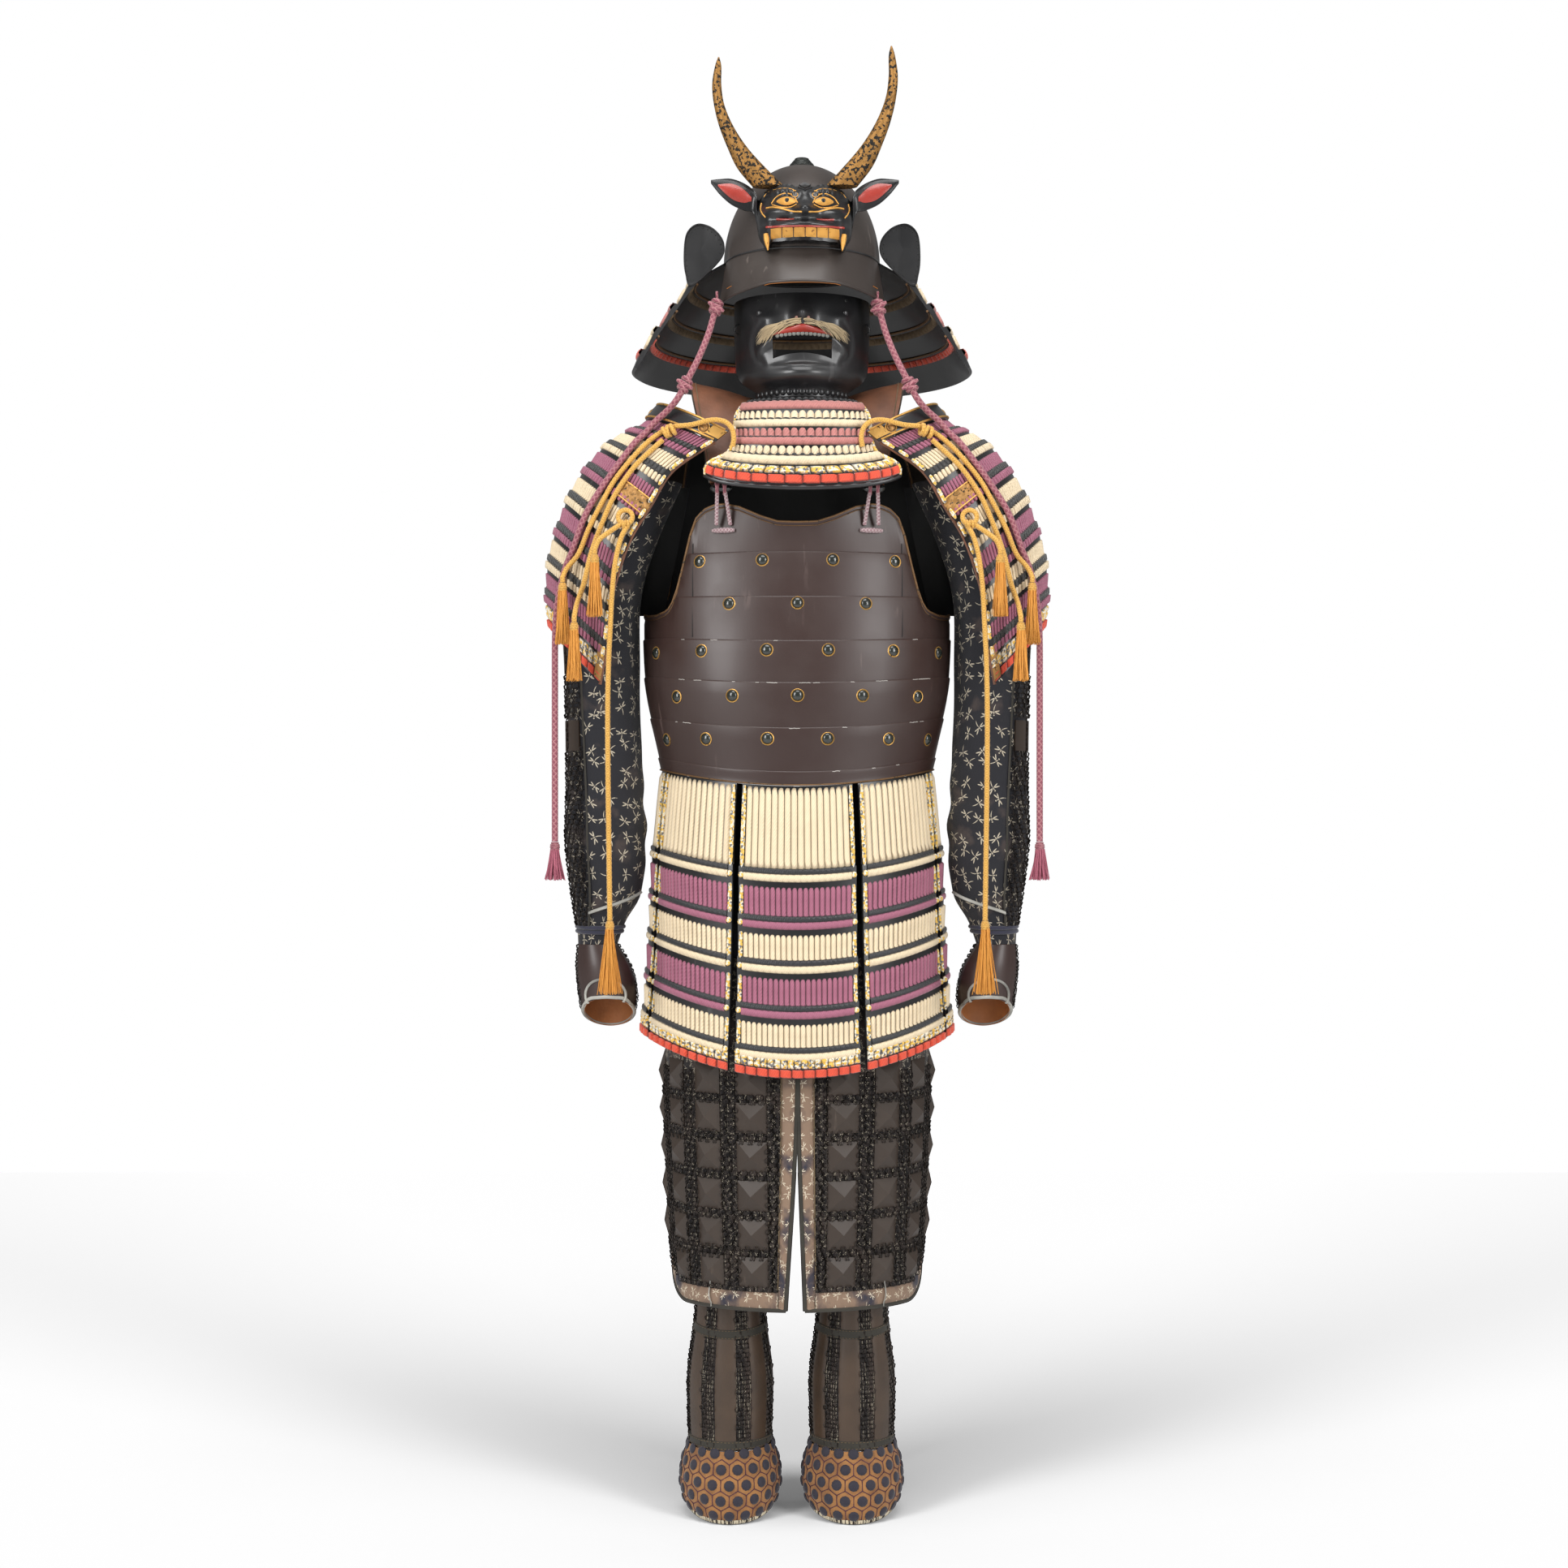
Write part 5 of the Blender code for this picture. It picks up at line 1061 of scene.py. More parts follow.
def make_helmet():
    bowl = Piece("bowl")
    patch = Patch(bowl_surface, (0.0, 360.0), (CROWN, 1.0), side=-1.0, cells=(121, 61))
    uu, tt = np.meshgrid(np.linspace(0, 360, 97)[:-1], np.linspace(CROWN, 1.0, 40), indexing="ij")
    flat = np.stack([uu * 0.002, tt * 0.1], axis=2)
    bowl.grid(patch.points(uu, tt, 0.0), HELMET_BROWN, flat, wrap=True)
    bowl.grid(patch.points(uu, tt, -0.0030)[:, ::-1], LINING_BLACK, flat, wrap=True)
    low = uu[:, -1]
    rim = [patch.points(low, 1.0, height) for height in (0.0, -0.0030)]
    bowl.grid(np.stack(rim, axis=1), HELMET_BROWN, wrap=True)
    seam = np.linspace(-75, 75, 90)
    bowl.tube(patch.points(seam % 360, 0.997, 0.0004), 0.0011, SATIN_BLACK, sides=6)
    bowl.done(slot="brown_lacquer", replaces=("helmet_bowl",))

    brim = Piece("brim")
    patch = Patch(brim_surface, (-75.0, 75.0), (0.0, 1.0), side=-1.0, cells=(121, 31))
    shell(brim, patch, 0.0026, HELMET_BROWN, LINING_BLACK, us=90, ts=12)
    us = np.linspace(-74.5, 74.5, 120)
    brim.tube(patch.points(us, 1.0, -0.0010), 0.0019, HELMET_BROWN, sides=8)
    middle = np.linspace(-26, 26, 50)
    bare = patch.points(middle, 1.0, -0.0016) - np.array([0, 0, 0.0014])
    brim.tube(bare, 0.0007, ORANGE_EDGE, sides=5)
    for start in (-62, 56):
        worn = np.linspace(start, start + 6, 8)
        brim.tube(patch.points(worn, 0.75, 0.0002), 0.0005, ORANGE_EDGE, sides=5)
    brim.done(slot="brown_lacquer", replaces=("helmet_brim",))

    finial = Piece("finial")
    z = bowl_surface(0, CROWN)[2]
    centre = np.array([HEAD_X, BOWL_BACK, 0.0])
    profile = (
        (0.0155, 0.0004), (0.0157, 0.0018), (0.0150, 0.0030), (0.0124, 0.0036), (0.0124, 0.0062),
        (0.0112, 0.0072), (0.0088, 0.0078), (0.0092, 0.0092), (0.0088, 0.0108), (0.0070, 0.0115),
        (0.0066, 0.0098), (0.0064, 0.0050),
    )
    rows = []
    for i, angle in enumerate(circle(48)):
        notch = 1.0 - 0.035 * (i % 4 == 0)
        x, y = notch * math.cos(angle), notch * math.sin(angle)
        rows.append([centre + np.array([r * x, r * y, z + h]) for r, h in profile])
    finial.grid(np.array(rows), IRON, wrap=True)
    torus(finial, (HEAD_X, BOWL_BACK, z + 0.0034), (0, 0, 1), 0.0136, 0.0011, IRON, sides=60, twist=44)
    torus(finial, (HEAD_X, BOWL_BACK, z + 0.0076), (0, 0, 1), 0.0100, 0.0010, IRON, sides=48, twist=32)
    finial.done(slot="black_lacquer", replaces=("helmet_finial",))


TURNBACK = (
    (0.1000, 0.1850), (0.0950, 0.2060), (0.1080, 0.2240), (0.1270, 0.2300), (0.1410, 0.2180),
    (0.1445, 0.1920), (0.1425, 0.1680), (0.1345, 0.1545),
)
TURNBACK_Y = -0.0240
# share of the outline, height over the back face
EAR_PLATE = (
    (0.02, 0.0034), (0.3, 0.0034), (0.6, 0.0032), (0.86, 0.0028), (0.93, 0.0027), (0.955, 0.0040),
    (1.0, 0.0038), (1.0, 0.0), (0.95, 0.0), (0.5, 0.0), (0.02, 0.0),
)


def blend_closed(points, per_span):
    """A closed smooth curve through flat points."""
    curve, count = [], len(points)
    for i in range(count):
        p0, p1, p2, p3 = (points[(i + j - 1) % count] for j in range(4))
        for step in range(per_span):
            s = step / per_span
            curve.append([
                0.5 * (2 * p1[c] + (p2[c] - p0[c]) * s + (2 * p0[c] - 5 * p1[c] + 4 * p2[c] - p3[c]) * s ** 2
                       + (3 * p1[c] - p0[c] - 3 * p2[c] + p3[c]) * s ** 3)
                for c in range(2)
            ])
    return np.array(curve)


def make_turnbacks():
    for key, side in SIDES:
        outline = blend_closed(TURNBACK, 9)
        middle = outline.mean(0)
        piece = Piece("ear_plate_" + key)

        def place(share, depth):
            flat = middle + (outline - middle) * share
            y = TURNBACK_Y - depth - np.abs(0.10 * (flat[:, 0] - 0.120))
            return np.stack([HEAD_X + side * flat[:, 0], y, flat[:, 1]], axis=1)

        rings = [place(share, depth) for share, depth in EAR_PLATE]
        piece.grid(np.stack(rings, axis=1), SATIN_BLACK, wrap=True)
        piece.face(list(rings[0]), SATIN_BLACK)
        piece.face(list(rings[-1]), SATIN_BLACK)
        dots = place(0.85, 0.0030)
        for i in range(0, len(dots), 3):
            stud(piece, dots[i], (0, -1, 0), 0.0008, 0.0005, IRON, sides=8, rows=4)
        piece.done(slot="black_lacquer", replaces=("turnback_" + key,))


# Crest

CREST_X = HEAD_X + 0.003
CREST_COLUMNS = (
    (0.0000, 0.2640, 0.1890, 0.030), (0.0055, 0.2605, 0.1885, 0.030), (0.0105, 0.2570, 0.1892, 0.029),
    (0.0165, 0.2600, 0.1885, 0.028), (0.0225, 0.2612, 0.1890, 0.028), (0.0290, 0.2612, 0.1885, 0.027),
    (0.0350, 0.2600, 0.1890, 0.026), (0.0400, 0.2585, 0.1885, 0.025), (0.0455, 0.2560, 0.1790, 0.024),
    (0.0500, 0.2520, 0.1900, 0.021), (0.0550, 0.2460, 0.2000, 0.016), (0.0600, 0.2560, 0.2280, 0.006),
    (0.0720, 0.2650, 0.2330, 0.005), (0.0880, 0.2705, 0.2400, 0.005), (0.1020, 0.2700, 0.2520, 0.004),
    (0.1125, 0.2688, 0.2650, 0.003),
)
CREST_HEAD = 0.057


def bump(x, z, centre_x, centre_z, wide, high):
    return math.exp(-((x - centre_x) / wide) ** 2 - ((z - centre_z) / high) ** 2)


def bowl_front(x, z):
    up = max(z - BOWL_RIM_Z, 0.0) / BOWL_H
    inside = 1.0 - ((x - HEAD_X) / BOWL_A) ** 2 - up ** 2
    lip = 0.75 * max(BOWL_RIM_Z + 0.004 - z, 0.0)
    return BOWL_BACK - BOWL_B * math.sqrt(max(inside, 0.0)) - lip


def crest_relief(x, z):
    side = abs(x)
    if side > CREST_HEAD:
        return 0.002 * bump(side, z, 0.082, 0.254, 0.020, 0.009)
    relief = 0.0075 * bump(side, z, 0.028, 0.2500, 0.020, 0.0045)
    relief += 0.0045 * bump(side, z, 0.0225, 0.2355, 0.009, 0.0050)
    relief += 0.0130 * bump(x, z, 0.0, 0.2240, 0.0100, 0.0070)
    relief += 0.0050 * bump(side, z, 0.040, 0.2240, 0.018, 0.0055)
    relief -= 0.0050 * bump(side, z, 0.022, 0.2140, 0.014, 0.0030)
    relief += 0.0070 * bump(x, z, 0.0, 0.2055, 0.060, 0.0045)
    return relief


def crest_back(x, z):
    """How far back the crest reaches: onto the bowl, and free of it at the ears."""
    if abs(x) > CREST_HEAD:
        return -0.079 - 0.10 * (abs(x) - CREST_HEAD)
    return bowl_front(CREST_X + x, z) - 0.0012


def crest_place(x, z, lift=0.0):
    """The face of the crest at a distance from its middle and a height."""
    top, bottom, depth = at(CREST_COLUMNS, abs(x))
    share = (z - top) / (bottom - top)
    base = crest_back(x, z)
    edge = 0.35 + 0.65 * math.sin(math.pi * min(max(share, 0.06), 0.94)) ** 0.5
    return np.array([CREST_X + x, base - depth * edge - crest_relief(x, z) - lift, z])


# gold lines round the eyes, on the brows and the cheeks: thickness, then places
CREST_LINES = (
    (0.0008, (0.009, 0.2320), (0.014, 0.2430), (0.024, 0.2462), (0.034, 0.2430), (0.0400, 0.2350)),
    (0.0008, (0.010, 0.2300), (0.018, 0.2270), (0.028, 0.2275), (0.0390, 0.2330)),
    (0.0010, (0.004, 0.2190), (0.014, 0.2210), (0.026, 0.2250), (0.038, 0.2290), (0.0460, 0.2300)),
    (0.0008, (0.013, 0.2500), (0.022, 0.2540), (0.033, 0.2550), (0.043, 0.2530), (0.049, 0.2480)),
    (0.0008, (0.047, 0.2180), (0.051, 0.2240), (0.053, 0.2320), (0.052, 0.2400)),
)


def make_crest():
    piece = Piece("crest")
    columns = np.concatenate([-np.linspace(0.1125, 0.0575, 20), np.linspace(-0.0565, 0.0565, 84),
                              np.linspace(0.0575, 0.1125, 20)])
    front, back = [], []
    for x in columns:
        top, bottom, _ = at(CREST_COLUMNS, abs(x))
        lobes = 0.0012 * abs(math.sin(abs(x) / 0.0058 * math.pi)) if 0.010 < abs(x) < 0.05 else 0.0
        column, rear = [], []
        for share in np.linspace(0, 1, 46):
            z = top + (bottom - top) * share
            point = crest_place(x, z)
            if abs(x) <= CREST_HEAD:
                curl = math.hypot(abs(x) - 0.0115, z - 0.2445)
                point[1] -= 0.0016 * math.sin(curl / 0.0045 * math.pi) * math.exp(-(curl / 0.009) ** 2)
                for row in (0.2415, 0.2335):
                    point[1] -= 0.0012 * bump(abs(x), z, 0.030, row, 0.020, 0.0014)
                brow = 0.2500 + 0.16 * (abs(x) - 0.02)
                ridges = abs(math.sin(abs(x) / 0.0062 * math.pi)) if abs(x) > 0.012 else 0.0
                point[1] -= 0.0022 * ridges * bump(0, z, 0, brow, 1, 0.0060)
                point[1] -= 0.0018 * bump(abs(x), z, 0.0145, 0.2140, 0.0055, 0.0035)
            point[2] += lobes * max(1 - share * 6, 0)
            column.append(point)
            rear.append([CREST_X + x, crest_back(x, z), z])
        front.append(column)
        back.append(rear)
    front, back = np.array(front), np.array(back)
    piece.grid(front, BLACK)
    piece.grid(back[:, ::-1], BLACK)
    piece.close(front, back, BLACK)
    for side in (-1, 1):
        # bulging gold eyes with a dark pupil
        rows = []
        for turn in circle(28):
            column = []
            for ring in np.linspace(0.02, 1, 7):
                across, up = math.cos(turn), math.sin(turn)
                x = side * (0.0222 + 0.0118 * ring * across)
                z = 0.2355 + ring * (0.0062 * up * (1 - 0.35 * across ** 2) + 0.0009 * across)
                column.append(crest_place(x, z, 0.0010 + 0.0034 * math.sqrt(1 - ring * ring * 0.98)))
            rows.append(column)
        start = piece.grid(np.array(rows), GOLD_PAINT, wrap=True)
        piece.cap(start, 7, 28, GOLD_PAINT)
        stud(piece, crest_place(side * 0.0215, 0.2350, 0.0040), (0, -1, 0), 0.0026, 0.0012, BLACK, sides=14)
        # gold lines over and under the eyes, on the brows and along the cheeks
        for thick, *line in CREST_LINES:
            keyed = [(float(i), *p) for i, p in enumerate(line)]
            spots = [at(keyed, k) for k in np.linspace(0, len(line) - 1, 26)]
            piece.tube([crest_place(side * x, z, 0.0006) for x, z in spots], thick, GOLD_PAINT, sides=6)
        curl = []
        for a in np.linspace(0, 4.2, 34):
            reach = 0.0012 + 0.0010 * a
            x, z = 0.0115 + reach * math.cos(1.9 * a), 0.2445 + reach * math.sin(1.9 * a)
            curl.append(crest_place(side * x, z, 0.0007))
        piece.tube(curl, 0.0007, GOLD_PAINT, sides=6)
        # red slits above the lip, red inside the ears
        slit = [crest_place(side * x, 0.2110 + 0.10 * x, 0.0004) for x in np.linspace(0.013, 0.034, 14)]
        piece.tube(slit, 0.0014, RED_LACQUER, sides=7)
        rows = []
        for share in np.linspace(0, 1, 16):
            x = 0.0640 + 0.0400 * share
            top, bottom, _ = at(CREST_COLUMNS, x)
            half = 0.30 * (top - bottom) * math.sin(math.pi * min(max(share, 0.03), 0.985)) ** 0.5
            middle = (top + bottom) / 2
            rows.append([crest_place(side * x, middle + half * s, 0.0009 - 0.0006 * s * s)
                         for s in np.linspace(1, -1, 7)])
        rows = np.array(rows)
        piece.grid(rows if side > 0 else rows[:, ::-1], RED_LACQUER)
        # fangs
        tip = crest_place(side * 0.0455, 0.1900, 0.0035)
        fang = [tip + i * np.array([side * 0.0005, 0.0004, 0.0040]) for i in (-3.0, -2.2, -1.0, 0.5, 2.0)]
        piece.tube(fang, (0.0004, 0.0014, 0.0026, 0.0034, 0.0030), GOLD_PAINT, sides=9)
    # lip edge, teeth
    xs = np.linspace(-0.046, 0.046, 60)
    lip = [crest_place(x, 0.2050 - 0.0022 * math.cos(x / 0.046 * math.pi / 2), 0.0008) for x in xs]
    piece.tube(lip, 0.0013, RED_LACQUER, sides=7)
    for number in range(6):
        x = -0.0345 + 0.0138 * number
        rows = []
        for s in np.linspace(0, 1, 9):
            side_by, full = x + 0.0128 * (s - 0.5), 0.0022 * math.sin(math.pi * s) ** 0.4
            rows.append([crest_place(side_by, 0.2030 - 0.0105 * v, full * math.sin(math.pi * v) ** 0.4)
                         for v in np.linspace(0, 1, 7)])
        piece.grid(np.array(rows), GOLD_PAINT)
    # chevron on the forehead plate
    for low, wide in ((0.2500, 0.0080), (0.2540, 0.0066)):
        spots = [(wide * share, low + 0.006 * abs(share)) for share in (-1, -0.5, 0, 0.5, 1)]
        piece.tube([crest_place(x, z, 0.0006) for x, z in spots], 0.0008, BLACK, sides=6)
    piece.done(slot="black_lacquer", replaces=("crest_head",), sharp=60)


HORN = (
    (0.2617, 0.0630, 0.0240, 0.0120, -0.082), (0.2827, 0.0809, 0.0462, 0.0120, -0.086),
    (0.3048, 0.0920, 0.0675, 0.0108, -0.091), (0.3299, 0.1022, 0.0850, 0.0090, -0.096),
    (0.3549, 0.1085, 0.0960, 0.0075, -0.100), (0.3780, 0.1105, 0.0995, 0.0058, -0.103),
    (0.4000, 0.1070, 0.0995, 0.0036, -0.105), (0.4098, 0.1035, 0.1018, 0.0010, -0.106),
)
HORN_STRETCH = {"l": 1.0, "r": 1.09}


def make_horns():
    for key, side in SIDES:
        piece = Piece("horn_" + key)
        rows = []
        heights = np.linspace(HORN[0][0], HORN[-1][0], 44)
        for turn in circle(20):
            column = []
            for z in heights:
                out, inn, depth, y = at(HORN, z)
                height = HORN[0][0] + (z - HORN[0][0]) * HORN_STRETCH[key]
                column.append([CREST_X + side * ((out + inn) / 2 + (out - inn) / 2 * math.cos(turn)),
                               y + depth * math.sin(turn), height])
            rows.append(column)
        rows = np.array(rows)
        start = piece.grid(rows if side > 0 else rows[::-1], HORN_GILT, wrap=True)
        for end in (0, 43):
            piece.cap(start + end, 44, 20, HORN_GILT)
        piece.done(slot="gilt", replaces=("crest_horn_" + key,))


make_helmet()
make_turnbacks()
make_crest()
make_horns()


# Mask

MOUTH_HALF, MOUTH_TURN = 0.0360, 25.6
MASK = (
    (-0.1360, 0.0835, 0.0800), (-0.1100, 0.0835, 0.0880), (-0.0850, 0.0830, 0.0900),
    (-0.0560, 0.0815, 0.0900), (-0.0380, 0.0780, 0.0930), (-0.0300, 0.0740, 0.0900),
    (-0.0220, 0.0660, 0.0790), (-0.0118, 0.0640, 0.0765),
)
MASK_TOP, MASK_LOW = -0.1360, -0.0118
JAW_TURN, JAW_RISE = 50.0, 0.0380


def mask_surface(turn, low):
    a, b = at(MASK, low)
    angle = math.radians(turn)
    x, z = a * math.sin(angle), -low
    swell = 0.0220 * bump(x, z, 0.0, 0.1080, 0.0100, 0.0120)
    swell += 0.0070 * bump(abs(x), z, 0.0480, 0.1020, 0.0170, 0.0130)
    swell += 0.0060 * bump(x, z, 0.0, 0.0380, 0.0300, 0.0090)
    swell += 0.0035 * bump(abs(x), z, 0.0480, 0.0620, 0.0100, 0.0200)
    moustache = 0.0920 - 9.0 * x * x
    swell += 0.0050 * bump(0.0, z, 0.0, moustache, 1.0, 0.0060) * (1.0 if abs(x) < 0.054 else 0.0)
    groove = abs(math.hypot(abs(x) - 0.0400, (z - 0.0760) * 0.72) - 0.0190)
    if abs(x) > 0.046:
        swell -= 0.0026 * math.exp(-(groove / 0.0022) ** 2)
    swell += 0.0020 * math.exp(-((z - 0.0470) / 0.0022) ** 2) * max(1 - abs(x) / 0.05, 0)
    return HEAD_X + x, 0.002 - b * math.cos(angle) - swell, z


def mask_point(x, z, lift=0.0):
    """The mask's face at a distance from its middle."""
    turn = math.degrees(math.asin(min(max(x / at(MASK, -z)[0], -0.99), 0.99)))
    point = np.array(mask_surface(turn, -z))
    out = np.array([math.sin(math.radians(turn)), -math.cos(math.radians(turn)), 0.0])
    return point + out * lift


def make_mask():
    piece = Piece("mask")
    stretches = ((-86, -MOUTH_TURN, 26), (-MOUTH_TURN, MOUTH_TURN, 41), (MOUTH_TURN, 86, 26))
    turns = np.unique(np.concatenate([np.linspace(*stretch) for stretch in stretches]))
    blocks = {"upper": [], "mouth": [], "lower": []}
    for turn in turns:
        x = at(MASK, -0.07)[0] * math.sin(math.radians(turn))
        arch = max(1.0 - (x / MOUTH_HALF) ** 2, 0.0)
        top, low = -0.0830 - 0.0035 * arch, -0.0560 - 0.0060 * arch
        jaw = max(abs(turn) - JAW_TURN, 0.0) / (86 - JAW_TURN)
        blocks["upper"].append([(turn, v) for v in np.linspace(MASK_TOP, top, 34)])
        blocks["mouth"].append([(turn, v) for v in np.linspace(top, low, 12)])
        cheek = JAW_RISE * jaw / (MASK_LOW - low)
        blocks["lower"].append([(turn, v - cheek * (v - low)) for v in np.linspace(low, MASK_LOW, 30)])
    inside = np.abs(turns) <= MOUTH_TURN + 0.01
    left, right = np.where(turns <= -MOUTH_TURN + 0.01)[0], np.where(turns >= MOUTH_TURN - 0.01)[0]
    grids = {}
    for name, columns in blocks.items():
        outer = np.array([[mask_surface(*spot) for spot in column] for column in columns])
        normal = np.cross(np.gradient(outer, axis=0), np.gradient(outer, axis=1))
        normal /= np.maximum(np.linalg.norm(normal, axis=2, keepdims=True), 1e-12)
        grids[name] = (outer, outer + normal * 0.0026)
    for outer, inner in (grids["upper"], grids["lower"]):
        piece.grid(outer, SATIN_BLACK)
        piece.grid(inner[:, ::-1], LINING_BLACK)
    for side in (left, right):
        piece.grid(grids["mouth"][0][side], SATIN_BLACK)
        piece.grid(grids["mouth"][1][side][:, ::-1], LINING_BLACK)
        column = side[-1] if side is left else side[0]
        a, b = grids["mouth"][0][column], grids["mouth"][1][column]
        piece.grid(np.stack([a, b] if side is left else [b, a]), SATIN_BLACK)
    whole = np.ones(len(turns), bool)
    for name, columns, row, order in (("upper", inside, -1, 1), ("lower", inside, 0, -1),
                                      ("upper", whole, 0, -1), ("lower", whole, -1, 1)):
        rim = [wall[columns][:, row] for wall in grids[name]]
        piece.grid(np.stack(rim[::order], axis=1), SATIN_BLACK)
    for outer, inner in grids.values():
        piece.grid(np.stack([inner[0], outer[0]]), SATIN_BLACK)
        piece.grid(np.stack([outer[-1], inner[-1]]), SATIN_BLACK)
    # red lip over the mouth, scalloped teeth under it
    rows = []
    for x in np.linspace(-0.036, 0.036, 40):
        arch = max(1.0 - (x / MOUTH_HALF) ** 2, 0.02)
        low = 0.0826 + 0.0035 * arch
        full = 0.0085 * arch ** 0.7
        rows.append([mask_point(x, low + full * v, 0.0004 + 0.0022 * math.sin(math.pi * v) ** 0.5)
                     for v in np.linspace(1, 0, 9)])
    piece.grid(np.array(rows), RED_LACQUER)
    for number in range(13):
        x = -0.0300 + 0.0050 * number
        arch = 1.0 - (x / MOUTH_HALF) ** 2
        tooth = mask_point(x, 0.0812 + 0.0035 * arch, 0.0002)
        stud(piece, tooth, (0, -1, -0.2), 0.0026, 0.0016, TEETH, sides=10, rows=4)
    # nostrils, cheek knobs with their square holes, side hooks
    for side in (-1, 1):
        nostril = mask_point(side * 0.0062, 0.1010, -0.0002)
        stud(piece, nostril, (side * 0.5, -0.8, -0.6), 0.0034, 0.0008, NOSTRIL, sides=12, rows=4)
        knob = mask_point(side * 0.0525, 0.1130, -0.0004)
        stud(piece, knob, (side * 0.6, -0.8, 0), 0.0042, 0.0024, SATIN_BLACK, sides=16)
        hole = mask_point(side * 0.0525, 0.1290, 0.0002)
        torus(piece, hole, (side * 0.6, -0.8, 0), 0.0016, 0.0005, IRON, sides=4, around=5)
        bends = ((0.106, -0.001), (0.105, 0.003), (0.101, 0.0055), (0.0955, 0.0055), (0.0935, 0.002))
        hook = [mask_point(side * 0.0770, z, lift) for z, lift in bends]
        piece.tube(hook, 0.0012, SATIN_BLACK, sides=7)
    # the neck band's scallops
    for number in range(17):
        turn = -56 + 7.0 * number
        spot = np.array(mask_surface(turn, -0.0175))
        out = (math.sin(math.radians(turn)), -math.cos(math.radians(turn)), -0.1)
        stud(piece, spot, out, 0.0042, 0.0022, BLACK, sides=12, rows=5)
    piece.done(slot="black_lacquer", replaces=("face_mask",), weld=True)
    make_moustache()


def make_moustache():
    """A horsehair moustache combed out to both sides of the lip."""
    hair = Piece("moustache")
    chance = np.random.default_rng(7)
    for number in range(430):
        side = 1 if number % 2 else -1
        share = chance.uniform(0, 1)
        root_x = 0.001 + 0.031 * share
        root_z = 0.0975 - 0.004 * share + chance.uniform(-0.0028, 0.0028)
        reach = chance.uniform(0.016, 0.027) * (1.15 - 0.3 * share)
        drop = chance.uniform(0.006, 0.017) * (0.5 + 0.8 * share)
        lift = chance.uniform(0.0014, 0.0050)
        line = []
        for step in (0.0, 0.25, 0.5, 0.75, 1.0):
            x = min(root_x + reach * step, 0.0600)
            z = root_z - drop * step ** 1.4 + 0.002 * math.sin(3 * step)
            line.append(mask_point(side * x, z, lift * (0.5 + 1.2 * math.sin(2.4 * step)) + 0.0004))
        dark = chance.uniform() < 0.16 and share < 0.4
        hair.tube(line, (0.00040, 0.00050, 0.00044, 0.00035, 0.00014), LEATHER_DARK if dark else FUR, sides=3)
    hair.done(slot="leather")


# Cuirass

BODY_RING = (
    (0.020, 0.1590, 0.0960), (0.100, 0.1680, 0.1040), (0.180, 0.1800, 0.1150), (0.245, 0.1870, 0.1240),
    (0.315, 0.1875, 0.1310), (0.356, 0.1830, 0.1310), (0.400, 0.1740, 0.1270), (0.437, 0.1675, 0.1230),
    (0.470, 0.1665, 0.1220),
)
SEAMS = (0.1785, 0.2321, 0.2847, 0.3344, 0.3880, 0.4397)
PLATE_STEP = 0.0014
RIM = 0.0016
FRONT_EDGE = (
    (0.0000, 0.1424), (0.0237, 0.1415), (0.0439, 0.1347), (0.0689, 0.1232), (0.0880, 0.1190),
    (0.1000, 0.1200), (0.1110, 0.1245), (0.1209, 0.1343), (0.1290, 0.1570), (0.1394, 0.2033),
    (0.1472, 0.2315), (0.1559, 0.2451), (0.1700, 0.2500), (0.1800, 0.2495), (0.1868, 0.2455),
)
BACK_EDGE = (
    (0.0000, 0.0360), (0.0350, 0.0350), (0.0600, 0.0290), (0.0900, 0.0260), (0.1180, 0.0300),
    (0.1360, 0.0450), (0.1460, 0.0850), (0.1530, 0.1500), (0.1600, 0.2150), (0.1690, 0.2400),
    (0.1790, 0.2450), (0.1868, 0.2455),
)
SIDE_TURN = 89.88
# height of each row of rivets, and how far from the middle they sit
RIVETS = (
    (0.1881, (0.0418, 0.1165)), (0.2399, (0.0, 0.0810)), (0.2956, (0.0364, 0.1140, 0.1700)),
    (0.3494, (0.0, 0.0770, 0.1440)), (0.4002, (0.0355, 0.1085, 0.1570)),
)


def sag(low, turn):
    share = np.clip((low - 0.18) / (HEM_Z - 0.18), 0.0, 1.0)
    return low - HEM_RISE * share * np.sin(np.radians(turn)) ** 2


def body_surface(turn, low, facing=-1):
    a, b = at(BODY_RING, low)
    angle = math.radians(turn)
    return a * math.sin(angle), facing * b * math.cos(angle), -low


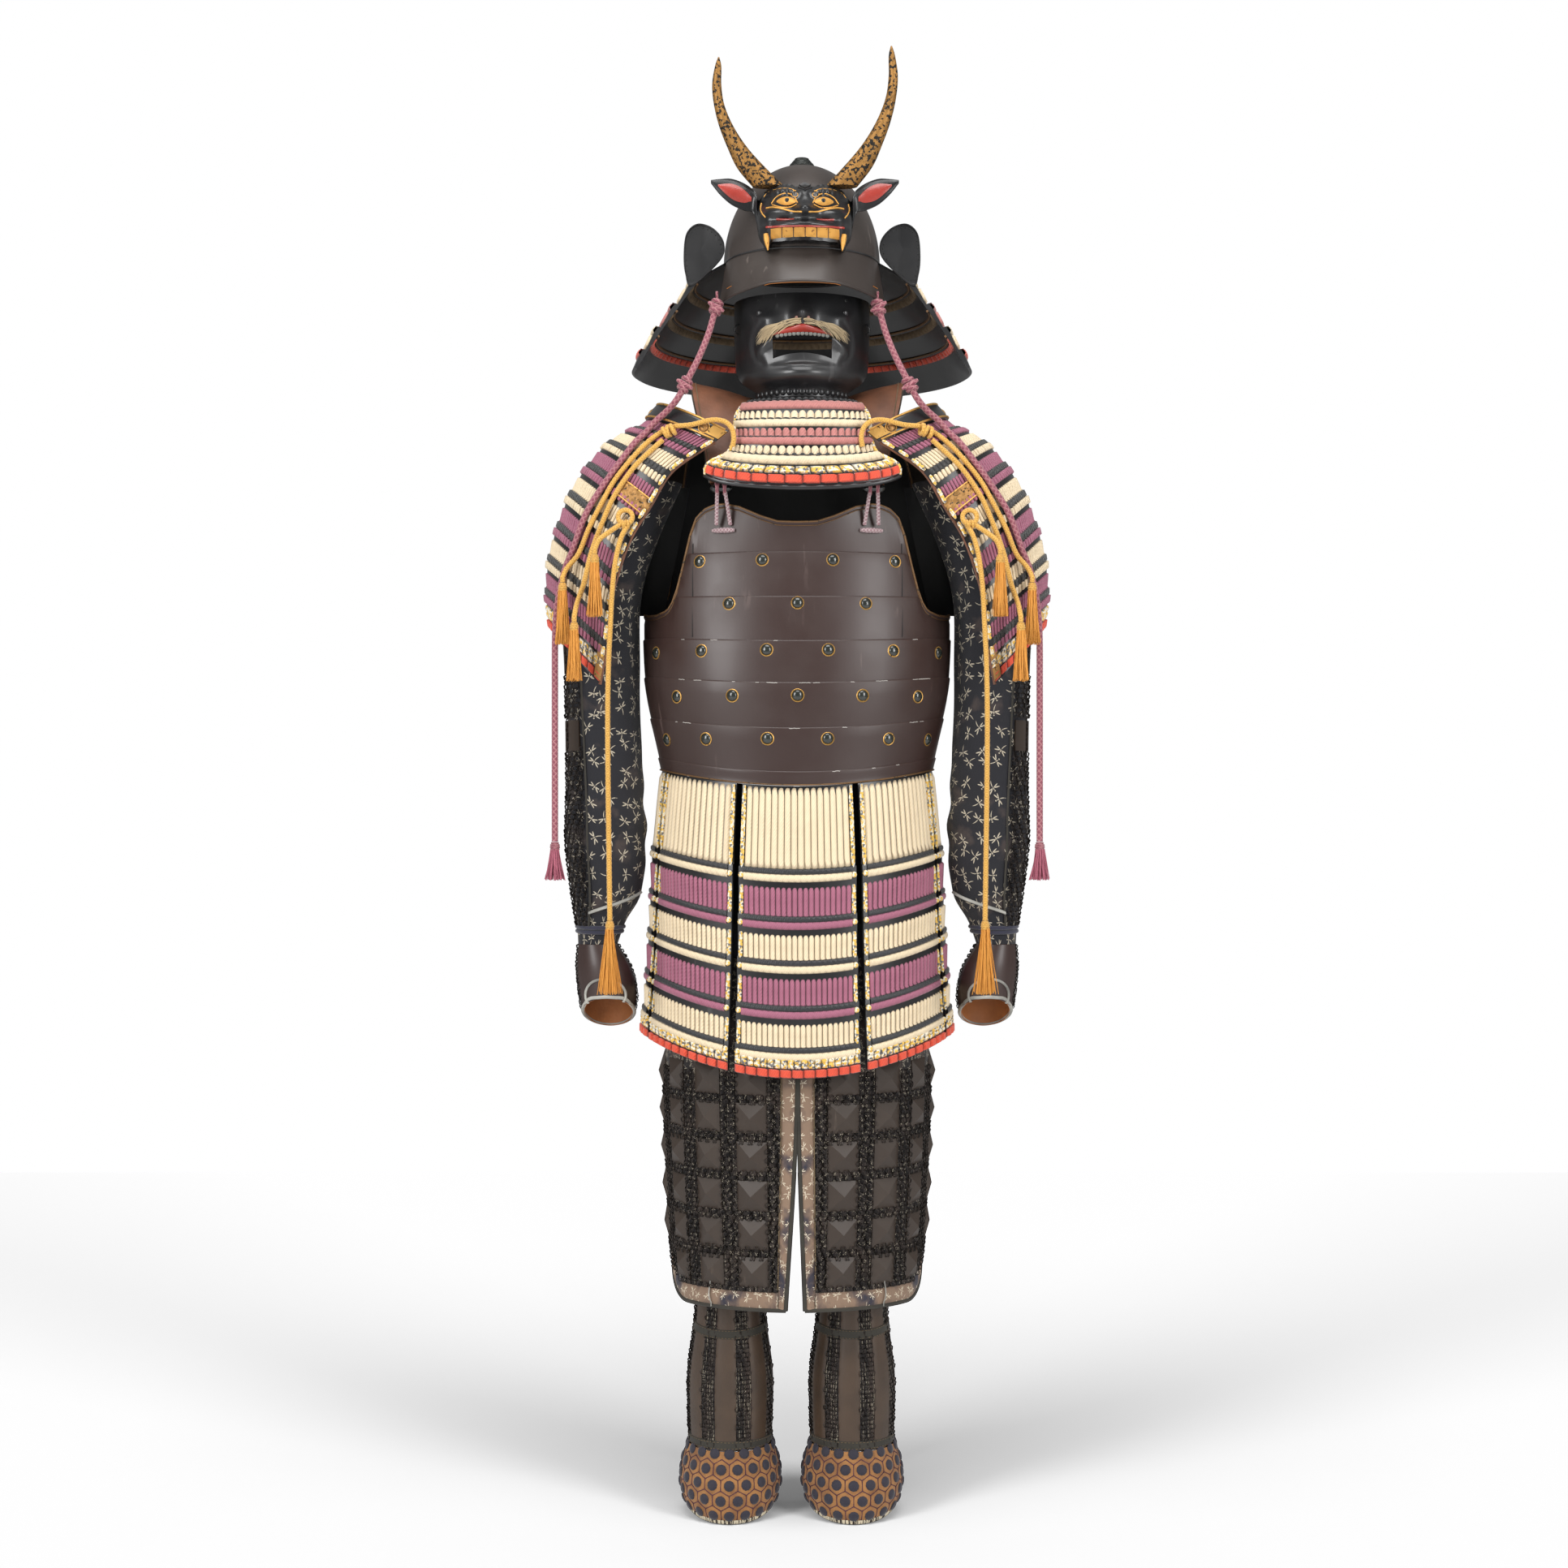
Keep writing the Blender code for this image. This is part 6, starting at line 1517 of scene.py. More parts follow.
def make_cuirass_half(name, node, edge, facing):
    turns = [math.degrees(math.asin(min(x / at(BODY_RING, low)[0], 1.0))) for x, low in edge]
    turns[-1] = SIDE_TURN
    patch = Patch(lambda turn, low: body_surface(turn, low, facing), (-SIDE_TURN, SIDE_TURN), (0.020, 0.470),
                  side=facing * 1.0, cells=(121, 121))
    columns = np.linspace(-SIDE_TURN, SIDE_TURN, 80)
    top = np.interp(np.abs(columns), turns, [low for _, low in edge])
    rows = [top, top + 0.0005, top + 0.0040, top + 0.0048, top + 0.0056]
    heights = [0.0006, RIM, RIM, 0.0003, 0.0]
    for number, seam in enumerate(SEAMS):
        after = SEAMS[number + 1] if number + 1 < len(SEAMS) else HEM_Z
        for step, high in ((-0.0007, 0.0), (0.0, PLATE_STEP * 0.8), (0.0012, PLATE_STEP)):
            rows.append(sag(seam + step, columns))
            heights.append(high)
        for share in (0.3, 0.6, 0.85):
            rows.append(sag(seam + (after - seam) * share, columns))
            heights.append(PLATE_STEP * (1 - share))
    rows.append(sag(HEM_Z, columns))
    heights.append(0.0006)
    lows, rise = np.array(rows).T, np.tile(heights, (len(columns), 1))
    for k in range(1, lows.shape[1]):
        short = lows[:, k] < lows[:, k - 1] + 0.0002
        lows[short, k] = lows[short, k - 1] + 0.0002
        rise[short, k] = rise[short, k - 1] if k < 4 else 0.0
    uu = np.repeat(columns[:, None], lows.shape[1], axis=1)
    piece = Piece(name)
    front = patch.points(uu, lows, rise)
    back = patch.points(uu, lows, -0.0026)
    back[:, 0, 2], back[:, -1, 2] = front[:, 0, 2], front[:, -1, 2]
    flat = np.stack([uu * 0.003, lows], axis=2)
    piece.grid(front, BROWN, flat)
    piece.grid(back[:, ::-1], LINING_BLACK, flat)
    piece.close(front, back, BROWN)
    piece.tube(patch.points(columns, top + 0.0008, 0.0006), 0.0015, BRONZE_RIM, sides=8)
    piece.tube(patch.points(columns, top + 0.0052, 0.0004), 0.0005, BRONZE_RIM, sides=6)
    piece.tube(patch.points(columns, sag(HEM_Z - 0.0008, columns), 0.0008), 0.0010, BRONZE_RIM, sides=7)
    chance = np.random.default_rng(31 + facing)
    for seam, count in ((0.2847, 4), (0.3344, 16), (0.3880, 7), (0.4397, 3)):
        for _ in range(count):
            middle, span = chance.uniform(-60, 60), chance.uniform(1.0, 5.5)
            line = np.linspace(middle - span / 2, middle + span / 2, 10)
            jitter = chance.uniform(-0.0003, 0.0003, 10)
            scratch = patch.points(line, sag(seam + 0.0004, line) + jitter, PLATE_STEP * 0.9)
            piece.tube(scratch, 0.00035, SCRATCH, sides=4)
    for side in (-1, 1):
        lows_here = np.linspace(0.166, 0.2785, 24)
        spots = np.degrees(np.arcsin(0.1250 / np.array([at(BODY_RING, low)[0] for low in lows_here])))
        piece.tube(patch.points(side * spots, lows_here, 0.0006), 0.0005, LINING_BLACK, sides=5)
    for low, places in RIVETS:
        for x in sorted({-p for p in places} | set(places)):
            turn = math.degrees(math.asin(x / at(BODY_RING, low)[0]))
            seat, out = patch.seat(turn, low, 0.0009)
            stud(piece, seat, out, 0.0066, 0.0036, RIVET, sides=14, rows=5)
            torus(piece, seat, out, 0.0073, 0.00085, GILT, sides=26, around=4, twist=13)
    piece.done(slot="brown_lacquer", replaces=(node,))
    return patch


STRAP = (
    (0.0, 0.0830, -0.0255, 0.0600, 0.1150, 0.000), (1.0, 0.0660, 0.0010, 0.0560, 0.1230, 0.006),
    (2.0, 0.0380, 0.0160, 0.0530, 0.1290, 0.016), (3.0, 0.0050, 0.0190, 0.0510, 0.1310, 0.021),
    (4.0, -0.0280, 0.0090, 0.0530, 0.1290, 0.021), (5.0, -0.0560, -0.0120, 0.0580, 0.1230, 0.012),
    (6.0, -0.0760, -0.0420, 0.0680, 0.1140, 0.004), (7.0, -0.0910, -0.0740, 0.0760, 0.1080, 0.000),
    (8.0, -0.0975, -0.0960, 0.0780, 0.1040, 0.000),
)


def make_straps():
    for key, side in SIDES:
        def surface(u, t):
            y, z, inn, out, lean = at(STRAP, t)
            return side * (inn + (out - inn) * u), y, z + lean * u + 0.003 * math.sin(math.pi * u)
        patch = Patch(surface, (0.0, 1.0), (0.0, 8.0), side=-side, cells=(25, 81))
        piece = Piece("strap_" + key)
        shell(piece, patch, 0.0045, LEATHER, LEATHER_DARK, us=16, ts=60,
              height=lambda u, t: 0.0015 * np.exp(-(np.minimum(u, 1 - u) / 0.10) ** 2))
        ts = np.linspace(0.05, 7.95, 70)
        bound, stitched = (LEATHER_DARK, 0.0018, -0.0006), (STITCH, 0.0006, 0.0012)
        for u, (material, radius, lift) in ((0.0, bound), (1.0, bound), (0.075, stitched), (0.925, stitched)):
            piece.tube(patch.points(u, ts, lift), radius, material, sides=6)
        piece.done(slot="leather", replaces=("shoulder_strap_" + key,))


def make_fasteners(front):
    """Toggles, their wraps, the braided loop strands and the capsule stitches on the breast plate."""
    for key, side in SIDES:
        piece = Piece("toggle_" + key)
        ends = [np.array([side * x, -0.1000, -0.1022]) for x in np.linspace(0.0780, 0.1040, 12)]
        radius = 0.0070 * np.array([0.55, 0.85, 1, 1, 1, 0.92, 0.92, 1, 1, 1, 0.85, 0.55])
        piece.tube(ends, radius, TOGGLE_BLACK, sides=8, flat=0.8)
        for x in (0.0865, 0.0955):
            wrap(piece, (side * x, -0.1000, -0.1022), (1, 0, 0), 0.0070, 0.0014, ROSE_CORD, turns=2, lean=0.1)
        for top, low in ((0.0865, 0.0800), (0.0955, 0.0965)):
            line = smooth_line(((side * top, -0.1030, -0.1030), (side * (top + low) / 2, -0.1040, -0.1240),
                                (side * low, -0.1007, -0.1450)), 0.0007)
            piece.tube(line, 0.0025, LOOP_CORD, sides=10, bulge=braid_bulge(0.0042, 2, 0.22))
            stud(piece, line[-1] + np.array([0, 0, 0.001]), (0, 0, -1), 0.0025, 0.0022, LOOP_CORD, sides=12)
        half = at(BODY_RING, 0.1520)[0]
        turns = [math.degrees(math.asin(side * x / half)) for x in np.linspace(0.0745, 0.1005, 16)]
        swell = 0.0050 * np.sin(np.linspace(0.25, math.pi - 0.25, 16)) ** 0.35
        piece.tube(front.points(turns, 0.1520, 0.0018), swell, LOOP_CORD, sides=10, flat=0.7,
                   bulge=braid_bulge(0.0042, 2, 0.2))
        piece.done(slot="rose_cord", replaces=("fastener_" + key,))


def make_guard_tops():
    """Lacquered top plates with worn gilt fittings, and the engraved fitting on each guard's front edge."""
    for key, side in SIDES:
        patch = Patch(guard_surface(side), (-90.0, 90.0), (-1.0, -0.01), side=-side, cells=(61, 17))
        piece = Piece("top_plate_" + key)
        shell(piece, patch, 0.0010, SATIN_BLACK, LEATHER_DARK, us=60, ts=9,
              height=lambda u, t: 0.001 + 0.0025 * np.clip(np.minimum(t + 1.0, -t) / 0.15, 0, 1))
        for row in (-0.93, -0.08):
            us = np.linspace(-88, 88, 90)
            piece.tube(patch.points(us, row, 0.0030), 0.0013, GILT, sides=7)
        for turn in (-76, -40, 0, 40, 76):
            seat, out = patch.seat(turn, -0.5, 0.0034)
            stud(piece, seat, out, 0.0052, 0.0024, ENGRAVED, sides=18)
            torus(piece, seat, out, 0.0066, 0.0009, GILT, sides=30, around=6, twist=16)
        block = Patch(guard_surface(side), (-90.0, -80.0), (-0.85, -0.20), side=-side, cells=(9, 9))
        shell(piece, block, 0.0004, GILT, GILT, us=9, ts=9, height=0.0050)
        piece.done(slot="black_lacquer", replaces=("guard_top_" + key,))
        fitting = Piece("engraved_fitting_" + key)
        plate = Patch(guard_surface(side), (-90.0, -67.0), (2.86, 3.34), side=-side, cells=(17, 13))
        shell(fitting, plate, 0.0008, ENGRAVED, LEATHER_DARK, us=30, ts=16,
              height=lambda u, t: 0.0034 + 0.0009 * np.sin(u * 0.8) * np.sin(t * 26))
        for row in (2.88, 3.32):
            us = np.linspace(-89.5, -67.5, 30)
            fitting.tube(plate.points(us, row, 0.0040), 0.0009, GILT, sides=6)
        for row in (7.55, 8.10):
            corner = Patch(guard_surface(side), (-90.0, -84.0), (row - 0.35, row), side=-side, cells=(7, 7))
            shell(fitting, corner, 0.0008, ENGRAVED, LEATHER_DARK, us=8, ts=10,
                  height=0.0030)
        fitting.done(slot="gilt")


TEETH = plain("grey teeth", (0.20, 0.20, 0.18), 0.4, coat=0.3)
NOSTRIL = plain("nostril inside", (0.42, 0.22, 0.17), 0.7)
SCRATCH = plain("bare scratch", (0.55, 0.52, 0.48), 0.8)
RIVET = plain("glossy rivet", (0.016, 0.020, 0.016), 0.12, coat=0.6, depth=0.0002)
TOGGLE_BLACK = plain("toggle lacquer", (0.010, 0.011, 0.011), 0.15, coat=0.6, depth=0.0002)
LOOP_CORD = braid_silk("loop cord", (0.30, 0.16, 0.18), (0.52, 0.42, 0.42), 0.0042, 0.5)

make_mask()
front_patch = make_cuirass_half("breast_plate", "cuirass_front", FRONT_EDGE, -1)
make_cuirass_half("back_plate", "cuirass_back", BACK_EDGE, 1)
make_straps()
make_fasteners(front_patch)
make_guard_tops()


# Printed cloth, mail and hexagon cloth

def make_dragonfly_group():
    """Small dragonflies scattered at random, each a body, a bent tail and four wings."""
    tree, given, result = start_group(
        "dragonfly print", (("Place", VECTOR, None), ("Count", FLOAT, 50.0)),
        (("Mask", FLOAT), ("Tone", FLOAT)),
    )
    place, many = given["Place"], given["Count"]
    cells = wire(tree, "ShaderNodeTexVoronoi", {"Vector": place, "Scale": many, "Randomness": 0.6},
                 voronoi_dimensions="2D")
    apart = wire(tree, "ShaderNodeVectorMath", {0: place, 1: cells.outputs["Position"]}, operation="SUBTRACT")
    scaled = wire(tree, "ShaderNodeVectorMath", {0: apart.outputs[0], "Scale": many}, operation="SCALE")
    tone = wire(tree, "ShaderNodeSeparateColor", {"Color": cells.outputs["Color"]}).outputs[0]
    angle = maths(tree, "MULTIPLY", tone, 2 * math.pi)
    turned = wire(tree, "ShaderNodeVectorRotate", {"Vector": scaled.outputs[0], "Angle": angle},
                  rotation_type="Z_AXIS")
    parts = wire(tree, "ShaderNodeSeparateXYZ", {"Vector": turned.outputs[0]})
    x, y = parts.outputs[0], parts.outputs[1]
    mirrored = maths(tree, "ABSOLUTE", x)
    bent = maths(tree, "SUBTRACT", x, maths(tree, "MULTIPLY", maths(tree, "MULTIPLY", y, y), 0.9))
    mask = None
    for across, centre_x, centre_y, lean, wide, high in (
        (mirrored, 0.23, 0.14, 0.45, 0.17, 0.034), (mirrored, 0.20, 0.02, -0.15, 0.16, 0.032),
        (x, 0.0, 0.09, 0.0, 0.030, 0.08), (x, 0.0, 0.24, 0.0, 0.045, 0.035),
        (bent, 0.0, -0.20, 0.0, 0.024, 0.19),
    ):
        dx, dy = maths(tree, "SUBTRACT", across, centre_x), maths(tree, "SUBTRACT", y, centre_y)
        c, s = math.cos(lean), math.sin(lean)
        u = maths(tree, "MULTIPLY_ADD", dx, c / wide, maths(tree, "MULTIPLY", dy, s / wide))
        v = maths(tree, "MULTIPLY_ADD", dx, -s / high, maths(tree, "MULTIPLY", dy, c / high))
        far = maths(tree, "ADD", maths(tree, "MULTIPLY", u, u), maths(tree, "MULTIPLY", v, v))
        dot = ramp(tree, far, 1.25, 0.75)
        mask = dot if mask is None else maths(tree, "MAXIMUM", mask, dot)
    tree.links.new(mask, result["Mask"])
    tree.links.new(tone, result["Tone"])
    return tree


DRAGONFLY = make_dragonfly_group()


def weave(made, count):
    """Height of threads that cross."""
    parts = wire(made.tree, "ShaderNodeSeparateXYZ", {"Vector": made.flat}).outputs
    threads = [maths(made.tree, "SINE", maths(made.tree, "MULTIPLY", parts[axis], count)) for axis in (0, 1)]
    return maths(made.tree, "MULTIPLY", *threads)


def printed(name, ground, faded, count, share, spread):
    """Indigo cloth with faded patches, a fine weave and a cream dragonfly print."""
    made = Finish(name, ground, 0.86, sheen=0.12)
    slow = noise(made.tree, made.flat, 26.0, 5.0)
    made.lay(ramp(made.tree, slow, *spread), faded)
    print_mask = made.group(DRAGONFLY, Place=made.flat, Count=count)
    worn = noise(made.tree, made.flat, 700.0, 3.0)
    kept = maths(made.tree, "MULTIPLY", print_mask["Mask"], ramp(made.tree, worn, 0.30, 0.44))
    made.lay(kept, (0.66, 0.58, 0.44), share)
    made.raise_by(weave(made, 5200.0), 0.0003, 0.35)
    made.raise_by(worn, 0.0006, 0.3)
    return made.done()


def hexagon_cloth(name):
    """Ochre cloth, rubbed and stained."""
    made = Finish(name, (0.36, 0.165, 0.050), 0.8, sheen=0.15)
    slow = noise(made.tree, made.place, 45.0, 7.0)
    made.lay(ramp(made.tree, slow, 0.40, 0.66), (0.20, 0.085, 0.030), 0.8)
    made.raise_by(weave(made, 4200.0), 0.0004, 0.45)
    return made.done()


SLEEVE_PRINT = printed("sleeve print", (0.0070, 0.0070, 0.0110), (0.040, 0.029, 0.027),
                       47.0, 0.70, (0.56, 0.66))
BORDER_PRINT = printed("border print", (0.030, 0.027, 0.040), (0.235, 0.155, 0.105),
                       66.0, 1.0, (0.36, 0.52))
MAIL_GROUND = printed("cloth under mail", (0.012, 0.009, 0.009), (0.060, 0.042, 0.034),
                      120.0, 0.75, (0.52, 0.62))
HEXAGON = hexagon_cloth("hexagon cloth")
PURPLE_STITCH = plain("purple stitches", (0.085, 0.030, 0.050), 0.8)
PAD_CORD = silk("stitched pads", (0.016, 0.013, 0.026), (0.006, 0.005, 0.010), fibre=3000.0)


def mail(piece, patch, us, ts, radius=0.0027, thick=0.00062, lift=0.0012, lean=0.65):
    """Linked rings at the places given, neighbours leaning opposite ways."""
    sides = 5
    us, ts = np.asarray(us, float), np.asarray(ts, float)
    centre, out = patch.points(us, ts, lift), patch.look_up(patch.normal, us, ts)
    out /= np.linalg.norm(out, axis=1, keepdims=True)
    down = np.array([0.0, 0.0, 1.0]) - out * out[:, 2:3]
    down /= np.linalg.norm(down, axis=1, keepdims=True)
    across = np.cross(out, down)
    chance = np.random.default_rng(len(us))
    tilt = lean * np.where(np.arange(len(us)) % 2, 1.0, -1.0) + chance.uniform(-0.3, 0.3, len(us))
    cos, sin = np.cos(tilt)[:, None], np.sin(tilt)[:, None]
    turned, normal = across * cos - out * sin, across * sin + out * cos
    theta = circle(sides)[None, :, None]
    phi = (np.arange(3) * 2 * math.pi / 3)[None, None, :, None]
    radial = np.cos(theta) * down[:, None] + np.sin(theta) * turned[:, None]
    rings = (centre[:, None, None] + radial[:, :, None] * (radius + thick * np.cos(phi))
             + normal[:, None, None] * thick * np.sin(phi))
    start, count = len(piece.verts), rings.shape[0] * sides * 3
    piece.verts.extend(rings.reshape(-1, 3).tolist())
    piece.flat.extend([(0.0, 0.0)] * count)
    piece.depth.extend([1.0] * count)
    s, p = np.meshgrid(np.arange(sides), np.arange(3), indexing="ij")
    far, next_p = (s + 1) % sides, (p + 1) % 3
    quad = np.stack([s * 3 + p, far * 3 + p, far * 3 + next_p, s * 3 + next_p], axis=-1).reshape(-1, 4)
    faces = start + (np.arange(len(us)) * sides * 3)[:, None, None] + quad[None]
    piece.faces.extend(map(tuple, faces.reshape(-1, 4).tolist()))
    piece.finish.extend([piece.slot_of(MAIL_IRON)] * (len(us) * len(quad)))


def lattice(u0, u1, t0, t1, step_u, step_t):
    """Staggered places over a stretch of a patch, as two flat lists."""
    rows = np.arange(t0, t1, step_t)
    spots = [(u, t) for k, t in enumerate(rows) for u in np.arange(u0 + (k % 2) * step_u / 2, u1, step_u)]
    return np.array(spots).reshape(-1, 2)


def sock(piece, patch, thick, outside, inside, us, ts, height):
    """A closed tube of cloth: outer face, inner face and its two ends."""
    uu, tt = np.meshgrid(np.linspace(*patch.us, us)[:-1], np.linspace(*patch.ts, ts), indexing="ij")
    rise = height(uu, tt) if callable(height) else height
    front, back = patch.points(uu, tt, rise), patch.points(uu, tt, -thick)
    flat = np.stack([uu * 0.00087, tt], axis=2)
    piece.grid(front, outside, flat, wrap=True)
    piece.grid(back[:, ::-1], inside, flat[:, ::-1], wrap=True)
    piece.grid(np.stack([back[:, 0], front[:, 0]], axis=1), inside, wrap=True)
    piece.grid(np.stack([front[:, -1], back[:, -1]], axis=1), inside, wrap=True)


def square_plate(piece, patch, u, t, half_u, half_t, low, high, material):
    """A square plate that rises to a point."""
    corners = [(-1, -1), (-1, 1), (1, 1), (1, -1)]
    foot = [patch.points(u + half_u * a, t + half_t * b, -0.0008) for a, b in corners]
    rim = [patch.points(u + half_u * 0.97 * a, t + half_t * 0.97 * b, low) for a, b in corners]
    top, out = patch.seat(u, t, high)
    for k in range(4):
        after = (k + 1) % 4
        for shape in ((rim[k], rim[after], top), (foot[k], foot[after], rim[after], rim[k])):
            facing = np.cross(shape[1] - shape[0], shape[2] - shape[0])
            away = facing @ out if len(shape) == 3 else facing @ (shape[0] - top)
            piece.face(shape if away > 0 else shape[::-1], material)


# Sleeves and hand guards

SLEEVE = (
    (0.085, 0.1900, 0.0480, 0.0540), (0.150, 0.2180, 0.0480, 0.0560), (0.230, 0.2390, 0.0455, 0.0560),
    (0.320, 0.2385, 0.0445, 0.0550), (0.420, 0.2365, 0.0450, 0.0540), (0.490, 0.2345, 0.0475, 0.0520),
    (0.520, 0.2340, 0.0490, 0.0510), (0.590, 0.2345, 0.0405, 0.0460), (0.622, 0.2410, 0.0290, 0.0360),
    (0.650, 0.2450, 0.0235, 0.0280),
)
HAND_TOP, HAND_FRONT, HAND_BACK = 0.6504, 0.7150, 0.7550
HAND = ((0.00, 0.2450, 0.0240, 0.0285), (0.35, 0.2375, 0.0330, 0.0340), (0.70, 0.2330, 0.0350, 0.0350),
        (1.00, 0.2320, 0.0320, 0.0340))


def make_arms():
    for key, side in SIDES:
        def sleeve(turn, low):
            middle, a, b = at(SLEEVE, low)
            angle = math.radians(turn)
            return side * middle + a * math.sin(angle), -b * math.cos(angle), -low

        def hand(turn, t):
            middle, a, b = at(HAND, t)
            angle = math.radians(turn)
            low = (HAND_FRONT + HAND_BACK) / 2 - (HAND_BACK - HAND_FRONT) / 2 * math.cos(angle)
            return side * middle + a * math.sin(angle), -b * math.cos(angle), -HAND_TOP - (low - HAND_TOP) * t

        patch = Patch(sleeve, (-180.0, 180.0), (0.085, 0.650), side=-1.0, cells=(73, 121))
        cloth = Piece("sleeve_cloth_" + key)

        def folds(u, t):
            turn = np.radians(u * side)
            bend = np.exp(-((t - 0.50) / 0.055) ** 2)
            shallow = 0.0007 * np.sin(38 * t + 2.2 * np.sin(turn)) + 0.0006 * np.sin(5 * turn + 14 * t)
            ripple = 0.0018 * bend * np.sin(120 * t + 1.4 * turn) * (0.6 - 0.4 * np.sin(turn))
            return 0.0005 + shallow + ripple

        sock(cloth, patch, 0.0020, SLEEVE_PRINT, LINING_BLACK, us=49, ts=90, height=folds)
        made = cloth.done(slot="blue_cloth", replaces=("sleeve_" + key,), weld=True)
        outer = Piece("sleeve_mail_" + key)
        spots = lattice(28, 168, 0.205, 0.628, 7.1, 0.0059)
        plates = [(u, t) for t in (0.300, 0.395) for u in (48, 84, 120)]
        keep = np.ones(len(spots), bool)
        for u, t in plates:
            keep &= ~((np.abs(spots[:, 0] - u) < 14) & (np.abs(spots[:, 1] - t) < 0.020))
        shift = 16 * np.clip((0.50 - spots[:, 1]) / 0.25, 0, 1)
        keep &= spots[:, 0] > 28 + shift * 0.6
        spots = spots[keep]
        mail(outer, patch, spots[:, 0] * side, spots[:, 1], radius=0.0032, thick=0.00075, lift=0.0022)
        for u, t in plates:
            small = Patch(sleeve, (u * side - 12.5, u * side + 12.5), (t - 0.0185, t + 0.0185),
                          side=-1.0, cells=(9, 9))
            shell(outer, small, 0.0002, PLATE_BROWN, PLATE_BROWN, us=5, ts=5,
                  height=0.0034)
        edge_t = np.linspace(0.205, 0.628, 90)
        edge_u = 27 + 0.6 * 16 * np.clip((0.50 - edge_t) / 0.25, 0, 1)
        for start in (edge_u - 3, 170.0):
            outer.tube(patch.points(start * side, edge_t, 0.0018), 0.0014, DARK_BINDING, sides=6)
        cuff = np.linspace(-75, 24, 60)
        binding = patch.points(cuff * side, np.linspace(0.586, 0.610, 60), 0.0024)
        outer.tube(binding, 0.0028, PALE_BINDING, sides=8, flat=0.6)
        for low in (0.6290, 0.6345):
            ring = patch.points(np.linspace(-180, 180, 61)[:-1], low, 0.0014)
            outer.tube(ring, 0.0026, NAVY_CORD, sides=9, closed=True)
        outer.done(slot="brown_lacquer")
        glove = Piece("hand_plate_" + key)
        patch = Patch(hand, (-180.0, 180.0), (0.0, 1.0), side=-1.0, cells=(73, 31))
        sock(glove, patch, 0.0026, BROWN, PALM_LEATHER, us=61, ts=20,
             height=lambda u, t: 0.0003 + 0.0010 * np.exp(-((np.abs(u) - 62) / 5.0) ** 2))
        for u0, u1, step_u, step_t, lift in ((70, 170, 8.6, 0.058, 0.0010), (-170, -78, 10.0, 0.070, 0.0008)):
            spots = lattice(u0, u1, 0.04, 0.93, step_u, step_t)
            mail(glove, patch, spots[:, 0] * side, spots[:, 1], radius=0.0024, lift=lift)
        rim_u = np.linspace(-180, 180, 81)[:-1]
        wave = 0.978 - 0.030 * np.exp(-((np.abs(rim_u) - 40) / 16) ** 2)
        glove.tube(patch.points(rim_u, wave, -0.0006), 0.0023, PALE_BINDING, sides=9, closed=True)
        lobe = np.linspace(-0.5, math.pi + 0.5, 40)
        bow = patch.points(4 * side + 46 * np.cos(lobe), 0.90 - 0.26 * np.sin(lobe), 0.0012)
        glove.tube(bow, 0.0016, PALE_BINDING, sides=7)
        loop = circle(24)
        ring = patch.points(-10 * side + 11 * np.cos(loop), 0.84 + 0.05 * np.sin(loop), 0.0012)
        glove.tube(ring, 0.0011, DARK_BINDING, sides=7, closed=True)
        glove.done(slot="leather", replaces=("hand_guard_" + key,))


# Thigh guards and belt

THIGH_TOP, THIGH_LOW = 0.6620, 1.0790
THIGH = ((0.620, 0.1560, 0.1100), (0.780, 0.1620, 0.1150), (0.920, 0.1580, 0.1150), (1.090, 0.1490, 0.1110))
THIGH_END = 102.0
PLATE_TURNS = (20.0, 42.0, 65.0, 88.0)
PLATE_LOWS = (0.8055, 0.8510, 0.8970, 0.9435, 0.9895, 1.0345)
PYRAMID = 0.0085
PRINT_TURN, PRINT_HIGH = 6.6, 0.0210
SLIT = {"l": (0.0012, 0.0141), "r": (0.0012, 0.0090)}


def thigh_hem(turn):
    return THIGH_LOW - 0.075 * (np.maximum(turn - 62.0, 0.0) / 40.0) ** 2


def thigh_surface(key, side):
    """Turn from the slit, and rows: 0 the top, 1 where the printed border starts, 2 the hem."""
    def surface(turn, t):
        hem = float(thigh_hem(turn))
        low = THIGH_TOP + (hem - PRINT_HIGH - THIGH_TOP) * t if t < 1 else hem - PRINT_HIGH * (2 - t)
        a, b = at(THIGH, low)
        opening = at(((THIGH_TOP, SLIT[key][0]), (0.85, SLIT[key][0]), (THIGH_LOW, SLIT[key][1])), low)[0]
        here = turn + math.degrees(opening / a) * max(1 - turn / 12.0, 0.0)
        angle = math.radians(here) * side
        return a * math.sin(angle), -b * math.cos(angle), -low
    return surface


def row_at(turn, low):
    hem = thigh_hem(turn)
    inside = (low - THIGH_TOP) / (hem - PRINT_HIGH - THIGH_TOP)
    return np.where(inside < 1, inside, 2 - (hem - low) / PRINT_HIGH)


